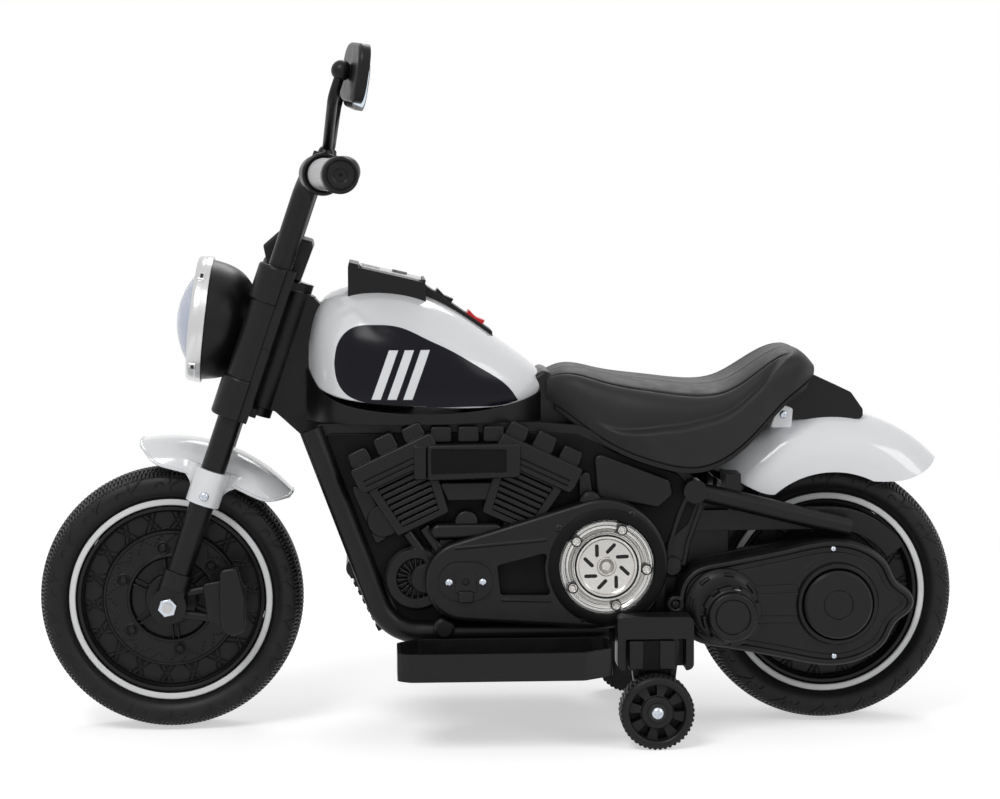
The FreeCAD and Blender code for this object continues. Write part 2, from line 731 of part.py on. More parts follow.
def tyre_section(inset, bead):
    """Half outline of the tyre, drawn inside its outer skin by an inset."""
    bead_half = RIM_WIDTH / 2 - inset
    bulge_half = TYRE_WIDTH / 2 - inset
    crown = TYRE_RADIUS - inset
    step = RIM_RADIUS + SIDEWALL_STEP
    shoulder = (crown + step) / 2 + (crown - step) / 4
    bulge = (step + shoulder) / 2
    shoulder_half = (bead_half + 3 * bulge_half) / 4
    edges = [
        Part.LineSegment(Vector(bead, bead_half, 0), Vector(step, bead_half, 0)).toShape(),
        Part.Arc(Vector(step, bead_half, 0), Vector(bulge, bulge_half, 0),
                 Vector(shoulder, shoulder_half, 0)).toShape(),
        Part.Arc(Vector(shoulder, shoulder_half, 0), Vector(crown, 0, 0),
                 Vector(shoulder, -shoulder_half, 0)).toShape(),
        Part.Arc(Vector(shoulder, -shoulder_half, 0), Vector(bulge, -bulge_half, 0),
                 Vector(step, -bead_half, 0)).toShape(),
        Part.LineSegment(Vector(step, -bead_half, 0), Vector(bead, -bead_half, 0)).toShape(),
        Part.LineSegment(Vector(bead, -bead_half, 0), Vector(bead, bead_half, 0)).toShape(),
    ]
    return Part.Face(Part.Wire(edges))


def tyre(axle):
    """A moulded tyre, open towards the rim, with grooves round its tread."""
    outer = revolve(tyre_section(0, RIM_RADIUS), ORIGIN, ACROSS)
    hollow = revolve(tyre_section(TYRE_WALL, RIM_RADIUS - OVERRUN), ORIGIN, ACROSS)
    ring = outer.cut(hollow)
    for place in (-1, 0, 1):
        centre = Vector(0, place * TREAD_GROOVE_PITCH - TREAD_GROOVE_WIDTH / 2, 0)
        end = centre + Vector(0, TREAD_GROOVE_WIDTH, 0)
        depth = TYRE_RADIUS - TREAD_GROOVE_DEPTH * (2 if place else 1)
        ring = ring.cut(tube(centre, end, TYRE_RADIUS + OVERRUN, depth))
    ring.translate(axle)
    return ring


def rim(axle, bore, hub_face):
    """A spoked-look wheel disc with its barrel, brake disc step and hub."""
    half = [
        (bore + RUNNING_GAP, hub_face), (NECK_RADIUS, hub_face), (NECK_RADIUS, HUB_SPAN / 2),
        (HUB_RADIUS, HUB_SPAN / 2), (HUB_RADIUS, BRAKE_DISC_SPAN / 2),
        (BRAKE_DISC_RADIUS, BRAKE_DISC_SPAN / 2), (BRAKE_DISC_RADIUS, WEB_THICKNESS / 2),
        (RIM_RADIUS - BARREL_WALL, WEB_THICKNESS / 2), (RIM_RADIUS - BARREL_WALL, RIM_WIDTH / 2),
        (RIM_RADIUS - SEAT_GAP, RIM_WIDTH / 2),
    ]
    points = [Vector(radius, y, 0) for radius, y in half]
    points += [Vector(radius, -y, 0) for radius, y in reversed(half)]
    wheel = revolve(Part.Face(Part.makePolygon(points + points[:1])), ORIGIN, ACROSS)
    wheel.translate(axle)
    return wheel


def fork_leg():
    """The left fork tube, in the fork's own frame."""
    foot = Vector(0, -LEG_SPREAD, LEG_START)
    return tube(foot, Vector(0, -LEG_SPREAD, LEG_TOP), LEG_RADIUS, LEG_RADIUS - LEG_WALL)


def fork_shoe():
    """The left fork foot with the axle boss and the brake calliper moulded on."""
    inner_y = -LEG_SPREAD + BOSS_WIDTH / 2
    outer_y = -LEG_SPREAD - BOSS_WIDTH / 2
    boss = rod(Vector(0, inner_y, 0), Vector(0, outer_y, 0), BOSS_RADIUS)
    stub = rod(Vector(0, -LEG_SPREAD, 0), Vector(0, -LEG_SPREAD, SHOE_TOP), SHOE_RADIUS)
    seat = rod(Vector(0, -LEG_SPREAD, LEG_START), Vector(0, -LEG_SPREAD, LEG_TOP), LEG_RADIUS + SEAT_GAP)
    inside = block((-OVERRUN, OVERRUN), (inner_y, inner_y + OVERRUN), (-BOSS_RADIUS, BOSS_RADIUS))
    outside = block((-OVERRUN, OVERRUN), (outer_y - OVERRUN, outer_y), (-BOSS_RADIUS, BOSS_RADIUS))
    shoe = on_fork(fuse([boss, stub.cut(inside).cut(outside)]))
    middle_x = (CALLIPER_FRONT + CALLIPER_REAR) / 2
    quarter = (CALLIPER_TOP - CALLIPER_BOTTOM) / 4
    outline = [
        (CALLIPER_FRONT, CALLIPER_TOP - quarter), (middle_x, CALLIPER_TOP),
        (CALLIPER_REAR, CALLIPER_TOP - quarter), (CALLIPER_REAR, CALLIPER_BOTTOM + quarter),
        (middle_x, CALLIPER_BOTTOM), (CALLIPER_FRONT, CALLIPER_BOTTOM + quarter),
    ]
    y_from = -LEG_SPREAD - CALLIPER_WIDTH / 2
    calliper = side_plate(outline, CALLIPER_CORNER, y_from, y_from + CALLIPER_WIDTH)
    pieces = [calliper]
    for height in (CALLIPER_TOP - quarter, CALLIPER_BOTTOM + quarter):
        tip = Vector(CALLIPER_FRONT + CALLIPER_ARM_RADIUS, -LEG_SPREAD, height)
        pieces.append(rod(Vector(0, -LEG_SPREAD, height / 2), tip, CALLIPER_ARM_RADIUS))
    for piece in pieces:
        piece.translate(FRONT_AXLE)
    bore = rod(FRONT_AXLE - ACROSS * OVERRUN * 3, FRONT_AXLE + ACROSS * OVERRUN * 3,
               FRONT_AXLE_RADIUS + RUNNING_GAP)
    return fuse([shoe] + pieces).cut(on_fork(seat)).cut(bore)


def cover_sleeve():
    """The stepped sleeve round the left leg, before it is split into its two shells."""
    foot = Vector(0, -LEG_SPREAD, 0)
    lower = rod(foot + UP * COVER_BOTTOM, foot + UP * LOWER_COLLAR_TOP, COLLAR_RADIUS)
    upper = rod(foot + UP * UPPER_COLLAR_BOTTOM, foot + UP * COVER_TOP, COLLAR_RADIUS)
    lower = lower.makeFillet(COLLAR_ROUND, lower.Edges[0:1] + lower.Edges[2:3])
    upper = upper.makeFillet(COLLAR_ROUND, upper.Edges[0:1] + upper.Edges[2:3])
    body = rod(foot + UP * COVER_BOTTOM, foot + UP * COVER_TOP, COVER_RADIUS)
    bore = rod(foot + UP * (COVER_BOTTOM - OVERRUN), foot + UP * (COVER_TOP + OVERRUN), LEG_RADIUS + SEAT_GAP)
    return fuse([body, lower, upper]).cut(bore)


def fork_cover():
    """The front shell of the left fork cover."""
    behind = block((COVER_SEAM, COVER_SEAM + OVERRUN), (-LEG_SPREAD - OVERRUN, -LEG_SPREAD + OVERRUN),
                   (COVER_BOTTOM - OVERRUN, COVER_TOP + OVERRUN))
    return cover_sleeve().cut(behind)


def yoke(plate_bottom, strip_bottom, strip_top):
    """A yoke plate round the stem with the rear cover strips of both legs."""
    plate_top = plate_bottom + YOKE_THICKNESS
    strip_inner = LEG_SPREAD - STRIP_WIDTH / 2
    deck = block((-YOKE_FRONT, STEM_OFFSET), (-strip_inner, strip_inner), (plate_bottom, plate_top))
    wing = block((COVER_SEAM + SEAM_GAP, STRIP_BACK), (-LEG_SPREAD, LEG_SPREAD), (plate_bottom, plate_top))
    end = rod(Vector(STEM_OFFSET, 0, plate_bottom), Vector(STEM_OFFSET, 0, plate_top), YOKE_END_RADIUS)
    pieces = [deck, wing, end]
    cuts = []
    for side in (-1, 1):
        y = side * LEG_SPREAD
        pieces.append(block((COVER_SEAM + SEAM_GAP, STRIP_BACK), (y - STRIP_WIDTH / 2, y + STRIP_WIDTH / 2),
                            (strip_bottom, strip_top)))
        cuts.append(rod(Vector(0, y, strip_bottom - OVERRUN), Vector(0, y, strip_top + OVERRUN),
                        LEG_RADIUS + SEAT_GAP))
        keep_out = rod(Vector(0, y, strip_bottom - OVERRUN), Vector(0, y, strip_top + OVERRUN),
                       COLLAR_RADIUS + SEAM_GAP)
        front = block((-OVERRUN, COVER_SEAM + SEAM_GAP), (y - OVERRUN, y + OVERRUN),
                      (strip_bottom - OVERRUN, strip_top + OVERRUN))
        cuts.append(keep_out.common(front))
    cuts.append(rod(Vector(STEM_OFFSET, 0, plate_bottom - OVERRUN),
                    Vector(STEM_OFFSET, 0, plate_top + OVERRUN), STEM_RADIUS + RUNNING_GAP))
    return fuse(pieces).cut(Part.makeCompound(cuts))


def upper_yoke():
    """The upper yoke with the bracket that carries the head lamp."""
    middle = (LOWER_YOKE + YOKE_THICKNESS + UPPER_YOKE) / 2
    bracket = block((-YOKE_FRONT, LAMP_BRACKET_WALL - YOKE_FRONT),
                    (-LAMP_BRACKET_WIDTH / 2, LAMP_BRACKET_WIDTH / 2),
                    (LOWER_YOKE + YOKE_THICKNESS, UPPER_YOKE + YOKE_THICKNESS))
    return fuse([yoke(UPPER_YOKE, middle + SEAM_GAP, COVER_TOP), bracket])


def lower_yoke():
    """The lower yoke with the lower halves of the rear strips."""
    middle = (LOWER_YOKE + YOKE_THICKNESS + UPPER_YOKE) / 2
    return yoke(LOWER_YOKE, COVER_BOTTOM, middle)


def arch_section(half_width, crown, corner, skirt):
    """A fender's cross-section as a filled face, with radius along X."""
    knee = crown - corner
    flat = half_width - corner
    bulge = corner * math.sqrt(0.5)
    edges = [
        Part.LineSegment(Vector(skirt, -half_width, 0), Vector(knee, -half_width, 0)).toShape(),
        Part.Arc(Vector(knee, -half_width, 0), Vector(knee + bulge, -flat - bulge, 0),
                 Vector(crown, -flat, 0)).toShape(),
        Part.LineSegment(Vector(crown, -flat, 0), Vector(crown, flat, 0)).toShape(),
        Part.Arc(Vector(crown, flat, 0), Vector(knee + bulge, flat + bulge, 0),
                 Vector(knee, half_width, 0)).toShape(),
        Part.LineSegment(Vector(knee, half_width, 0), Vector(skirt, half_width, 0)).toShape(),
        Part.LineSegment(Vector(skirt, half_width, 0), Vector(skirt, -half_width, 0)).toShape(),
    ]
    return Part.Face(Part.Wire(edges))


def arch_solid(section, centre, from_deg, sweep_deg):
    """A fender section swept round a wheel, angles from the rear towards the top."""
    solid = revolve(section, ORIGIN, -ACROSS, sweep_deg)
    solid.rotate(ORIGIN, -ACROSS, from_deg)
    solid.translate(centre)
    return solid


def polar(centre, degrees, radius):
    """A side-view point at an angle and distance from a centre."""
    angle = math.radians(degrees)
    return centre + Vector(math.cos(angle), 0, math.sin(angle)) * radius


def curve_region(edge_points, far_points, y_half):
    """A slab bounded below by a smooth curve and above by straight runs."""
    curve = Part.BSplineCurve()
    curve.interpolate(edge_points)
    edges = [curve.toShape()]
    loop = [edge_points[-1]] + far_points + [edge_points[0]]
    for start, end in zip(loop, loop[1:]):
        edges.append(Part.LineSegment(start, end).toShape())
    return across(Part.Face(Part.Wire(edges)), -y_half, y_half)


def front_fender():
    """The front fender with the two sleeves that clamp it to the fork legs."""
    half = FENDER_WIDTH / 2
    outer = arch_solid(arch_section(half, FENDER_CROWN, FENDER_ROUND, FENDER_SKIRT), FRONT_AXLE,
                       FENDER_FROM_DEG, FENDER_SWEEP_DEG)
    inner = arch_solid(
        arch_section(half - FENDER_WALL, FENDER_CROWN - FENDER_WALL, FENDER_ROUND - FENDER_WALL,
                     FENDER_SKIRT - OVERRUN),
        FRONT_AXLE, FENDER_FROM_DEG - FENDER_SWEEP_DEG, 3 * FENDER_SWEEP_DEG)
    edge = [polar(FRONT_AXLE, FENDER_FROM_DEG + FENDER_SWEEP_DEG * turn, FENDER_CROWN * reach)
            for turn, reach in FENDER_EDGE_SHARES]
    far = [polar(FRONT_AXLE, FENDER_FROM_DEG + FENDER_SWEEP_DEG, FENDER_CROWN + OVERRUN),
           polar(FRONT_AXLE, FENDER_FROM_DEG + FENDER_SWEEP_DEG / 2, FENDER_CROWN + OVERRUN),
           polar(FRONT_AXLE, FENDER_FROM_DEG, FENDER_CROWN + OVERRUN)]
    shell = outer.cut(inner).common(curve_region(edge, far, OVERRUN * 2))
    sleeves = []
    bores = []
    for side in (-1, 1):
        foot = Vector(0, side * LEG_SPREAD, CLAMP_BOTTOM)
        top = Vector(0, side * LEG_SPREAD, CLAMP_TOP)
        sleeves.append(on_fork(rod(foot, top, CLAMP_RADIUS)))
        bores.append(on_fork(rod(foot - UP * OVERRUN, top + UP * OVERRUN, LEG_RADIUS + SEAT_GAP)))
    wheel_room = rod(FRONT_AXLE - ACROSS * (half - FENDER_WALL), FRONT_AXLE + ACROSS * (half - FENDER_WALL),
                     FENDER_CROWN - FENDER_WALL)
    clamps = [sleeve.cut(wheel_room) for sleeve in sleeves]
    return fuse([shell] + clamps).cut(Part.makeCompound(bores))


def lamp_place(shape):
    """Set a lamp piece, modelled about X with its front at -X, into the fork."""
    seat = Placement(Vector(-LAMP_FORWARD, 0, LAMP_HEIGHT), Rotation(ACROSS, -LAMP_TILT_DEG))
    shape.Placement = FORK_PLACE.multiply(seat).multiply(shape.Placement)
    return shape


def bowl_solid(inset):
    """The filled bowl of the head lamp, drawn inside its skin by an inset."""
    points = [Vector(depth * (LAMP_DEPTH - inset), 0, reach * LAMP_RADIUS - inset)
              for depth, reach in LAMP_BOWL_SHARES]
    curve = Part.BSplineCurve()
    curve.interpolate(points)
    back = Vector(points[-1].x, 0, 0)
    edges = [curve.toShape(), Part.LineSegment(points[-1], back).toShape(),
             Part.LineSegment(back, ORIGIN).toShape(), Part.LineSegment(ORIGIN, points[0]).toShape()]
    return revolve(Part.Face(Part.Wire(edges)), ORIGIN, ALONG)


def headlight_bowl():
    """The lamp bowl with the boss that meets its bracket on the fork."""
    boss = rod(ALONG * (LAMP_DEPTH - LAMP_WALL), ALONG * (LAMP_DEPTH + OVERRUN), LAMP_BOSS_RADIUS)
    bowl = lamp_place(fuse([bowl_solid(0).cut(bowl_solid(LAMP_WALL)), boss]))
    behind = block((-YOKE_FRONT, LEG_SPREAD * 2), (-LEG_SPREAD, LEG_SPREAD), (0, COVER_TOP * 2))
    return bowl.cut(on_fork(behind))


def headlight_rim():
    """The bright rim that holds the lens on the bowl."""
    outline = [
        Vector(-LAMP_RIM_FRONT, 0, LENS_RADIUS + SEAT_GAP), Vector(-LAMP_RIM_FRONT, 0, LAMP_RIM_RADIUS),
        Vector(LAMP_RIM_BACK, 0, LAMP_RIM_RADIUS), Vector(LAMP_RIM_BACK, 0, LAMP_RADIUS + SEAT_GAP),
        Vector(0, 0, LAMP_RADIUS + SEAT_GAP), Vector(0, 0, LENS_RADIUS + SEAT_GAP),
    ]
    ring = revolve(Part.Face(Part.makePolygon(outline + outline[:1])), ORIGIN, ALONG)
    ring = soften(ring, 0, -LAMP_RIM_FRONT, LAMP_RIM_ROUND)
    return lamp_place(ring)


def headlight_lens():
    """The domed lens inside the rim."""
    bend = (LENS_RADIUS ** 2 + LENS_RISE ** 2) / (2 * LENS_RISE)
    swing = math.asin(LENS_RADIUS / bend)
    arcs = []
    for shift in (0, LENS_WALL):
        centre = bend - LENS_RISE - LENS_WALL + shift
        edge, middle, apex = [Vector(centre - bend * math.cos(turn), 0, bend * math.sin(turn))
                              for turn in (swing, swing / 2, 0)]
        arcs.append((edge, middle, apex))
    edges = [
        Part.Arc(*arcs[0]).toShape(), Part.LineSegment(arcs[0][2], arcs[1][2]).toShape(),
        Part.Arc(*reversed(arcs[1])).toShape(), Part.LineSegment(arcs[1][0], arcs[0][0]).toShape(),
    ]
    return lamp_place(revolve(Part.Face(Part.Wire(edges)), ORIGIN, ALONG))


def gauge_pod():
    """The instrument pod that stands on the upper yoke between the risers."""
    base = UPPER_YOKE + YOKE_THICKNESS
    outline = [(POD_BACK - POD_DEPTH + depth * POD_DEPTH, base + height * POD_HEIGHT)
               for depth, height in POD_SHARES]
    pod = side_plate(outline, POD_ROUND, -POD_WIDTH / 2, POD_WIDTH / 2)
    for side in (-1, 1):
        pod = soften(pod, 1, side * POD_WIDTH / 2, POD_ROUND)
    return on_fork(pod)


def grip_point(distance):
    """A point on the left grip's centre line, measured from the bar's corner."""
    sweep = math.radians(GRIP_SWEEP_DEG)
    heading = Vector(math.sin(sweep), -math.cos(sweep), math.sin(math.radians(GRIP_LIFT_DEG)))
    heading.normalize()
    return Vector(0, -LEG_SPREAD, BAR_HEIGHT) + heading * distance


GRIP_END = GRIP_START + FLANGE_LENGTH + GRIP_LENGTH


def handlebar():
    """The left riser and bar, one bent tube that stands on the fork leg."""
    end = grip_point(GRIP_END + GRIP_CAP_LENGTH - GRIP_CAP_WALL)
    route = [Vector(0, -LEG_SPREAD, LEG_TOP), grip_point(0), end]
    solid = bent_bar(route, BAR_BEND_RADIUS, BAR_RADIUS)
    return solid.cut(bent_bar(route, BAR_BEND_RADIUS, BAR_RADIUS - BAR_WALL))


def grip():
    """The left grip sleeve."""
    start = grip_point(GRIP_START + FLANGE_LENGTH)
    return tube(start, grip_point(GRIP_END), GRIP_RADIUS, BAR_RADIUS + SEAT_GAP)


def grip_caps():
    """The left grip's inner flange and end cap."""
    flange = tube(grip_point(GRIP_START), grip_point(GRIP_START + FLANGE_LENGTH), FLANGE_RADIUS,
                  BAR_RADIUS + SEAT_GAP)
    cap = rod(grip_point(GRIP_END), grip_point(GRIP_END + GRIP_CAP_LENGTH), GRIP_CAP_RADIUS)
    bore = rod(grip_point(GRIP_END), grip_point(GRIP_END + GRIP_CAP_LENGTH - GRIP_CAP_WALL),
               BAR_RADIUS + SEAT_GAP)
    return [flange, cap.cut(bore)]


MIRROR_BALL = Vector(-MIRROR_BALL_FORWARD, -MIRROR_BALL_SPREAD, BAR_HEIGHT + MIRROR_BALL_RISE)


def mirror_stem():
    """The left mirror's clamp on the bar, its bent stem and the ball on top."""
    half = MIRROR_CLAMP_LENGTH / 2
    start = grip_point(MIRROR_CLAMP_PLACE - half)
    end = grip_point(MIRROR_CLAMP_PLACE + half)
    foot = grip_point(MIRROR_CLAMP_PLACE) + UP * (BAR_RADIUS + MIRROR_CLAMP_RADIUS) / 2
    neck = MIRROR_BALL - UP * MIRROR_NECK_LENGTH
    route = [foot, grip_point(MIRROR_CLAMP_PLACE) + UP * MIRROR_STEM_RISE, neck, MIRROR_BALL]
    stem = bent_bar(route, MIRROR_STEM_BEND, MIRROR_STEM_RADIUS)
    ball = Part.makeSphere(MIRROR_BALL_RADIUS, MIRROR_BALL)
    bore = rod(grip_point(0), grip_point(GRIP_END), BAR_RADIUS + SEAT_GAP)
    return fuse([rod(start, end, MIRROR_CLAMP_RADIUS), stem, ball]).cut(bore)


def mirror_plate(rim, front, thickness):
    """A rounded plate in the mirror's shape, set in from its edge by a rim."""
    half_width = MIRROR_WIDTH / 2 - rim
    half_height = MIRROR_HEIGHT / 2 - rim
    corners = [Vector(front, y, z) for y, z in ((-half_width, -half_height), (half_width, -half_height),
                                                 (half_width, half_height), (-half_width, half_height))]
    return Part.Face(rounded_wire(corners, MIRROR_CORNER - rim)).extrude(ALONG * thickness)


def mirror_set(shape):
    """Turn a mirror piece about its ball and set it on the left stem."""
    turned = Placement(MIRROR_BALL, Rotation(UP, MIRROR_TURN_DEG))
    shape.Placement = FORK_PLACE.multiply(turned).multiply(shape.Placement)
    return shape


def mirror_tilted(shape):
    """Lean a mirror piece forward about its ball."""
    return shape.rotated(ORIGIN, ACROSS, -MIRROR_TILT_DEG)


def mirror_housing():
    """The left mirror's shell with the socket that grips the stem's ball."""
    shell = mirror_plate(0, MIRROR_SETBACK, MIRROR_THICKNESS)
    shell = soften(shell, 0, MIRROR_SETBACK, MIRROR_ROUND)
    recess = mirror_plate(GLASS_RIM, MIRROR_SETBACK + MIRROR_THICKNESS - GLASS_THICKNESS, OVERRUN)
    knob = fuse([Part.makeSphere(MIRROR_SOCKET_RADIUS), rod(ORIGIN, ALONG * (MIRROR_SETBACK + MIRROR_ROUND),
                                                           MIRROR_BALL_RADIUS + MIRROR_SOCKET_GAP)])
    hollow = Part.makeSphere(MIRROR_BALL_RADIUS + MIRROR_SOCKET_GAP)
    throat = rod(ORIGIN, -UP * OVERRUN, MIRROR_STEM_RADIUS + MIRROR_NECK_GAP)
    return mirror_set(mirror_tilted(fuse([shell, knob]).cut(recess)).cut(hollow).cut(throat))


def mirror_glass():
    """The left mirror's glass."""
    front = MIRROR_SETBACK + MIRROR_THICKNESS - GLASS_THICKNESS
    return mirror_set(mirror_tilted(mirror_plate(GLASS_RIM + SEAT_GAP, front, GLASS_THICKNESS)))


def hex_nut(axle_y):
    """A hexagon nut on the left end of the front axle."""
    reach = NUT_FLATS / math.sqrt(3)
    corners = [Vector(reach * math.cos(math.radians(60 * turn)), 0, reach * math.sin(math.radians(60 * turn)))
               for turn in range(6)]
    face = Part.Face(Part.makePolygon(corners + corners[:1]))
    nut = across(face, -axle_y, -axle_y - NUT_HEIGHT)
    nut.translate(FRONT_AXLE)
    axle = rod(FRONT_AXLE - ACROSS * OVERRUN * 3, FRONT_AXLE, FRONT_AXLE_RADIUS + RUNNING_GAP)
    return nut.cut(axle)


def screw_head(place, outward):
    """A pan head with a cross recess on a surface, its axis along outward."""
    top = place + outward * SCREW_HEIGHT
    head = rod(place, top, SCREW_RADIUS)
    floor = top - outward * SCREW_SLOT_DEPTH
    spread = SCREW_RADIUS - SCREW_SLOT
    arms = []
    y_range = sorted((floor.y, floor.y + outward.y * OVERRUN))
    for half_x, half_z in ((spread, SCREW_SLOT / 2), (SCREW_SLOT / 2, spread)):
        x_range = (floor.x - half_x, floor.x + half_x)
        arms.append(block(x_range, y_range, (floor.z - half_z, floor.z + half_z)))
    return head.cut(Part.makeCompound(arms))


def fork_fasteners():
    """The axle nuts and the screws of the fender clamps."""
    outer_y = LEG_SPREAD + BOSS_WIDTH / 2
    clamp = fork_point(0, -LEG_SPREAD - CLAMP_RADIUS, (CLAMP_BOTTOM + CLAMP_TOP) / 2)
    solids = []
    for piece in (hex_nut(outer_y), screw_head(clamp, -ACROSS)):
        solids += [piece, mirrored(piece)]
    return Part.makeCompound(solids)


def body_point(shares):
    """A side-view point of the body given as shares of its length and height."""
    return (BODY_FRONT + BODY_LENGTH * shares[0], BODY_BOTTOM + BODY_HEIGHT * shares[1])


def body_face(inset):
    """The body's side-view outline, drawn in by an inset."""
    face = side_face([body_point(shares) for shares in BODY_OUTLINE_SHARES], BODY_CORNER)
    return face.makeOffset2D(-inset) if inset else face


HEAD_LOW = LOWER_YOKE + YOKE_THICKNESS + MOVING_GAP
HEAD_HIGH = UPPER_YOKE - MOVING_GAP


def head_web(half_width, clearance):
    """The web between the head tube and the body, and the tube itself, solid."""
    behind = STEM_OFFSET + YOKE_END_RADIUS + MOVING_GAP * 4
    low = fork_point(STEM_OFFSET, 0, HEAD_LOW)
    high = fork_point(STEM_OFFSET, 0, HEAD_HIGH)
    high_back = fork_point(behind, 0, HEAD_HIGH)
    low_back = fork_point(behind, 0, HEAD_LOW)
    outline = [low, high, high_back, Vector(BODY_FRONT + BODY_LENGTH * HEAD_WEB_REACH_SHARE, 0, BODY_TOP),
               Vector(BODY_FRONT, 0, BODY_TOP - BODY_HEIGHT * HEAD_WEB_DROP_SHARE), low_back]
    web = across(Part.Face(Part.makePolygon(outline + outline[:1])), -half_width, half_width)
    return [web, rod(low, high, HEAD_TUBE_RADIUS + clearance)]


def rail_route():
    """The left rail's centre line, down the front and along the bottom."""
    y = -RAIL_SPREAD
    knee_x = BODY_FRONT + (BODY_TOP - RAIL_HEIGHT) * math.tan(math.radians(RAIL_LEAN_DEG))
    end_x = STAB_X - BRACKET_LENGTH / 2 - BRACKET_WALL / 2
    return [Vector(BODY_FRONT, y, BODY_TOP * RAIL_TOP_SHARE), Vector(knee_x, y, RAIL_HEIGHT),
            Vector(end_x, y, RAIL_HEIGHT)]


def drive_outline(inset):
    """The side-view outline of a drive cover, drawn in by an inset."""
    front = Vector(MOTOR_X - DRIVE_FRONT_AHEAD, 0, REAR_AXLE.z)
    return belt_face(front, DRIVE_FRONT_RADIUS - inset, REAR_AXLE, DRIVE_REAR_RADIUS - inset)


def rear_arm():
    """The left rear plate, the guard above it, and the link to the body."""
    plate = across(drive_outline(0), -REAR_PLATE_OUTER, -REAR_PLATE_INNER)
    link_x = BODY_FRONT + BODY_LENGTH * PLATE_LINK_SHARE
    half = DRIVE_FRONT_RADIUS / 2
    link = block((link_x, MOTOR_X), (-REAR_PLATE_OUTER, -REAR_PLATE_INNER),
                 (REAR_AXLE.z - half, REAR_AXLE.z + half))
    inner_y = Vector(0, -REAR_PLATE_INNER, 0)
    outer_y = Vector(0, -GUARD_SPAN, 0)
    ring = tube(REAR_AXLE + inner_y, REAR_AXLE + outer_y, GUARD_OUTER, GUARD_INNER)
    reach = GUARD_OUTER * 2
    wedge = [REAR_AXLE, polar(REAR_AXLE, GUARD_FROM_DEG, reach), polar(REAR_AXLE, 90, reach)]
    sector = across(Part.Face(Part.makePolygon(wedge + wedge[:1])), -GUARD_SPAN, -REAR_PLATE_INNER)
    guard_front = BODY_REAR + BODY_REAR_GAP / 2
    bar = block((guard_front, REAR_AXLE.x), (-GUARD_SPAN, -REAR_PLATE_INNER),
                (REAR_AXLE.z + GUARD_INNER, REAR_AXLE.z + GUARD_OUTER))
    hole = rod(REAR_AXLE + inner_y * 2, REAR_AXLE, REAR_PLATE_HOLE)
    return [fuse([plate, link]).cut(hole), fuse([ring.common(sector), bar])]


def strut_ends():
    """The two ends of the left rear strut."""
    x, z = body_point(STRUT_START_SHARES)
    end = polar(REAR_AXLE, STRUT_END_DEG, DRIVE_REAR_RADIUS + STRUT_RADIUS + MOVING_GAP)
    return Vector(x, -STRUT_SPREAD, z), Vector(end.x, -STRUT_SPREAD, end.z)


def rear_strut():
    """The left strut with its knob and the lug that holds the rear fender."""
    start, end = strut_ends()
    knob = rod(Vector(start.x, -BODY_HALF + BODY_WALL, start.z),
               Vector(start.x, -STRUT_SPREAD - STRUT_RADIUS - STRUT_KNOB_HEIGHT, start.z), STRUT_KNOB_RADIUS)
    middle = start + (end - start) / 4
    half = FENDER_LUG_LENGTH / 2
    inner_y = -REAR_FENDER_WIDTH / 2 + REAR_FENDER_ROUND
    lug = block((middle.x - half, middle.x + half), (-STRUT_SPREAD, inner_y),
                (middle.z, middle.z + FENDER_LUG_HEIGHT))
    lug = lug.cut(rear_fender_solid(-SEAT_GAP, REAR_FENDER_SKIRT))
    return [rod(start, end, STRUT_RADIUS), knob, lug]


def frame_half():
    """The left half of the body frame, with its rail, head, rear arm and strut."""
    shell = across(body_face(0), -BODY_HALF, 0).cut(across(body_face(BODY_WALL), -BODY_HALF + BODY_WALL, 0))
    rail = bent_bar(rail_route(), RAIL_BEND, RAIL_RADIUS)
    left = block((-WHEELBASE, WHEELBASE), (-BODY_WIDTH, 0), (0, WHEELBASE))
    head = fuse(head_web(HEAD_WEB_WIDTH / 2, 0)).common(left)
    bore = rod(fork_point(STEM_OFFSET, 0, 0), fork_point(STEM_OFFSET, 0, COVER_TOP * 2),
               STEM_RADIUS + RUNNING_GAP)
    return fuse([shell, rail, head] + rear_arm() + rear_strut()).cut(bore)


def leaned(shape, foot_x, lean_deg):
    """Stand a relief piece on its foot and lean it forwards."""
    shape.rotate(ORIGIN, ACROSS, -lean_deg)
    shape.translate(Vector(foot_x, 0, CYLINDER_FOOT_HEIGHT))
    return shape


def relief(points, depth):
    """A raised block on the left engine panel, from x, z points."""
    corners = [Vector(x, 0, z) for x, z in points]
    return across(Part.Face(Part.makePolygon(corners + corners[:1])), -PANEL_FACE + PANEL_THICKNESS,
                  -PANEL_FACE - depth)


def bar_relief(half_width, low, high, depth):
    """A raised upright rectangle about x = 0."""
    return relief([(-half_width, low), (half_width, low), (half_width, high), (-half_width, high)], depth)


